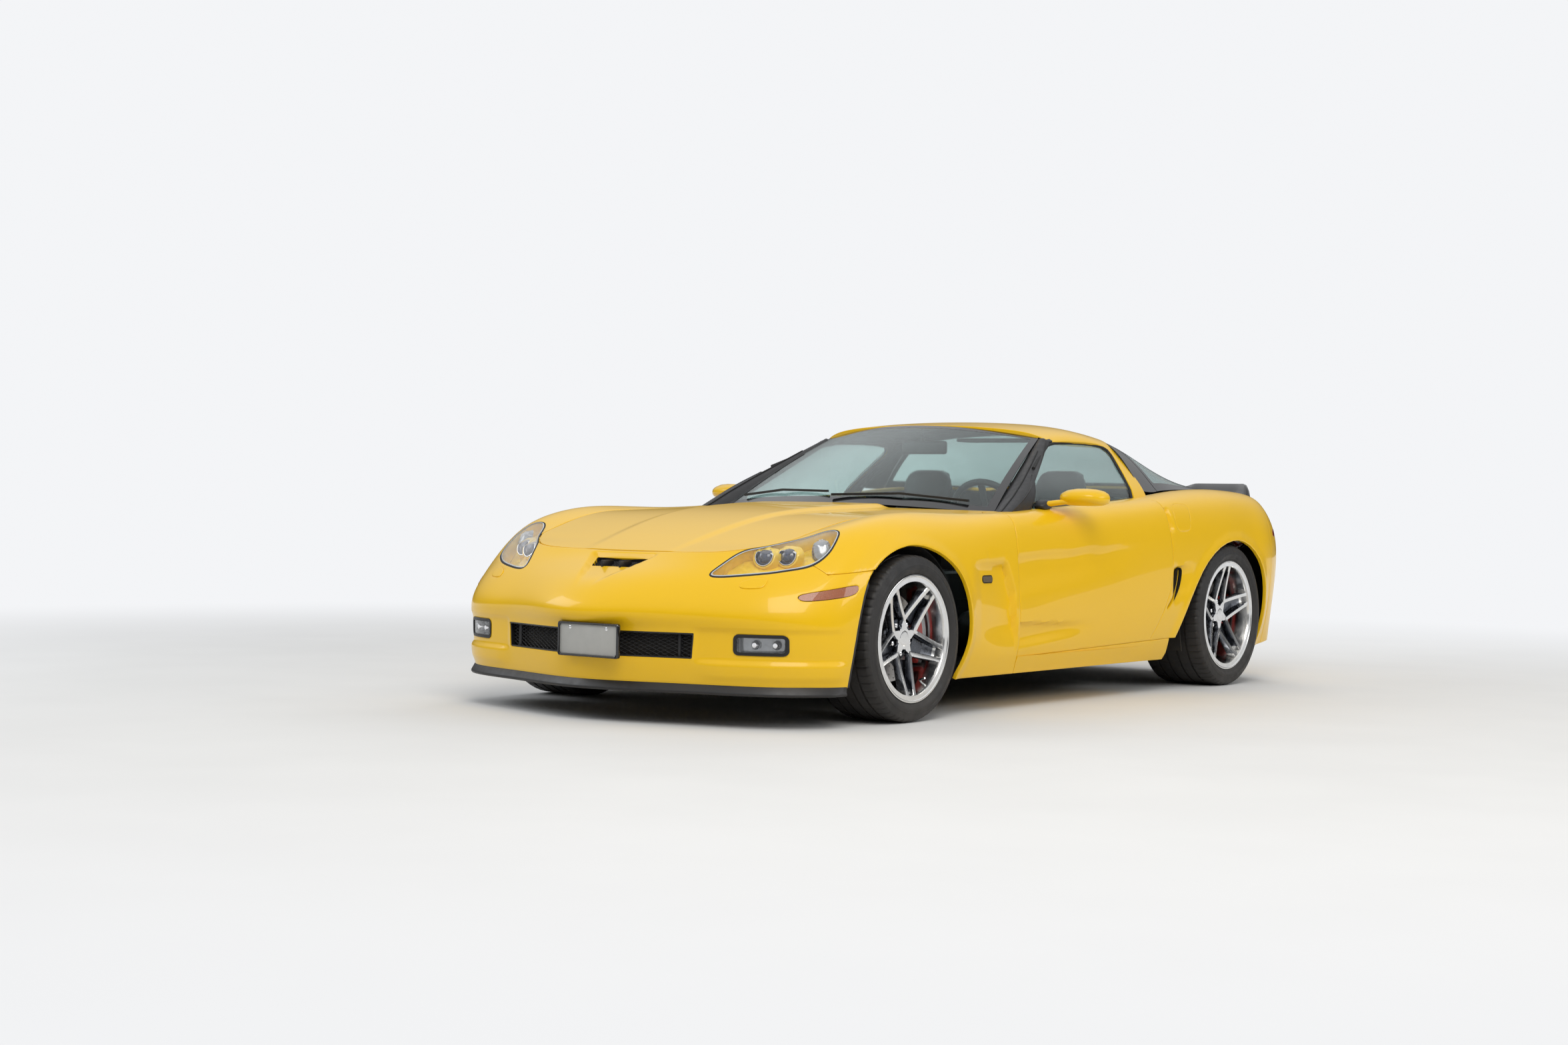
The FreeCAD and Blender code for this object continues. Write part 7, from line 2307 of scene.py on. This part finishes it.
def floor_finish():
    """A matt floor that fades to the backdrop's light far from the car."""
    material = bpy.data.materials.new("studio_floor_finish")
    material.use_nodes = True
    tree = material.node_tree
    shader = tree.nodes["Principled BSDF"]
    shader.inputs["Roughness"].default_value = 0.85
    shader.inputs["Specular IOR Level"].default_value = 0.1
    speckle = place_group(tree, speckle_group(), {"Scale": 1.5, "Detail": 3.0})
    base = colours().floor
    tone = blend(tree, speckle.outputs["Value"], (*[c * 0.97 for c in base], 1), (*base, 1), "RGBA")
    tree.links.new(tone, shader.inputs["Base Color"])
    place = add(tree, "ShaderNodeTexCoord")
    reach = add(tree, "ShaderNodeVectorMath", {0: place.outputs["Object"]}, operation="LENGTH")
    fade = add(tree, "ShaderNodeMapRange", {"Value": reach.outputs["Value"], "From Min": FADE_START,
                                            "From Max": FADE_END}, interpolation_type="SMOOTHSTEP")
    share = combine(tree, "MULTIPLY", fade.outputs["Result"], sight(tree)[1])
    glow = add(tree, "ShaderNodeEmission", {"Color": BACKDROP_COLOUR, "Strength": BACKDROP_LIGHT})
    both = add(tree, "ShaderNodeMixShader", {"Fac": share, 1: shader.outputs["BSDF"],
                                             2: glow.outputs["Emission"]})
    tree.links.new(both.outputs["Shader"], tree.nodes["Material Output"].inputs["Surface"])
    return material


OPERATORS = [COUPE_OT_stage, COUPE_OT_body, COUPE_OT_upper, COUPE_OT_glass, COUPE_OT_wheels, COUPE_OT_lamps,
             COUPE_OT_fittings, COUPE_OT_seats, COUPE_OT_cabin, COUPE_OT_frame]


class COUPE_PT_panel(bpy.types.Panel):
    """Shows the coupe's sizes and colours, and a button for each group of pieces"""
    bl_idname = "COUPE_PT_panel"
    bl_label = "Coupe"
    bl_space_type = "VIEW_3D"
    bl_region_type = "UI"
    bl_category = "Coupe"

    def draw(self, context):
        for group in (context.scene.coupe_sizes, context.scene.coupe_colours):
            for key in group.bl_rna.properties.keys():
                if key not in ("rna_type", "name"):
                    self.layout.prop(group, key)
        for operator in OPERATORS:
            self.layout.operator(operator.bl_idname)


CLASSES = [CoupeSizes, CoupeColours, *OPERATORS, COUPE_PT_panel]


def register():
    for one in CLASSES:
        bpy.utils.register_class(one)
    bpy.types.Scene.coupe_sizes = PointerProperty(type=CoupeSizes)
    bpy.types.Scene.coupe_colours = PointerProperty(type=CoupeColours)


def unregister():
    del bpy.types.Scene.coupe_colours
    del bpy.types.Scene.coupe_sizes
    for one in reversed(CLASSES):
        bpy.utils.unregister_class(one)


def main():
    """Builds every group of pieces in turn."""
    register()
    for operator in OPERATORS:
        group, name = operator.bl_idname.split(".")
        if getattr(getattr(bpy.ops, group), name)() != {"FINISHED"}:
            raise RuntimeError("%s did not finish" % operator.bl_label)


if __name__ == "__main__":
    main()
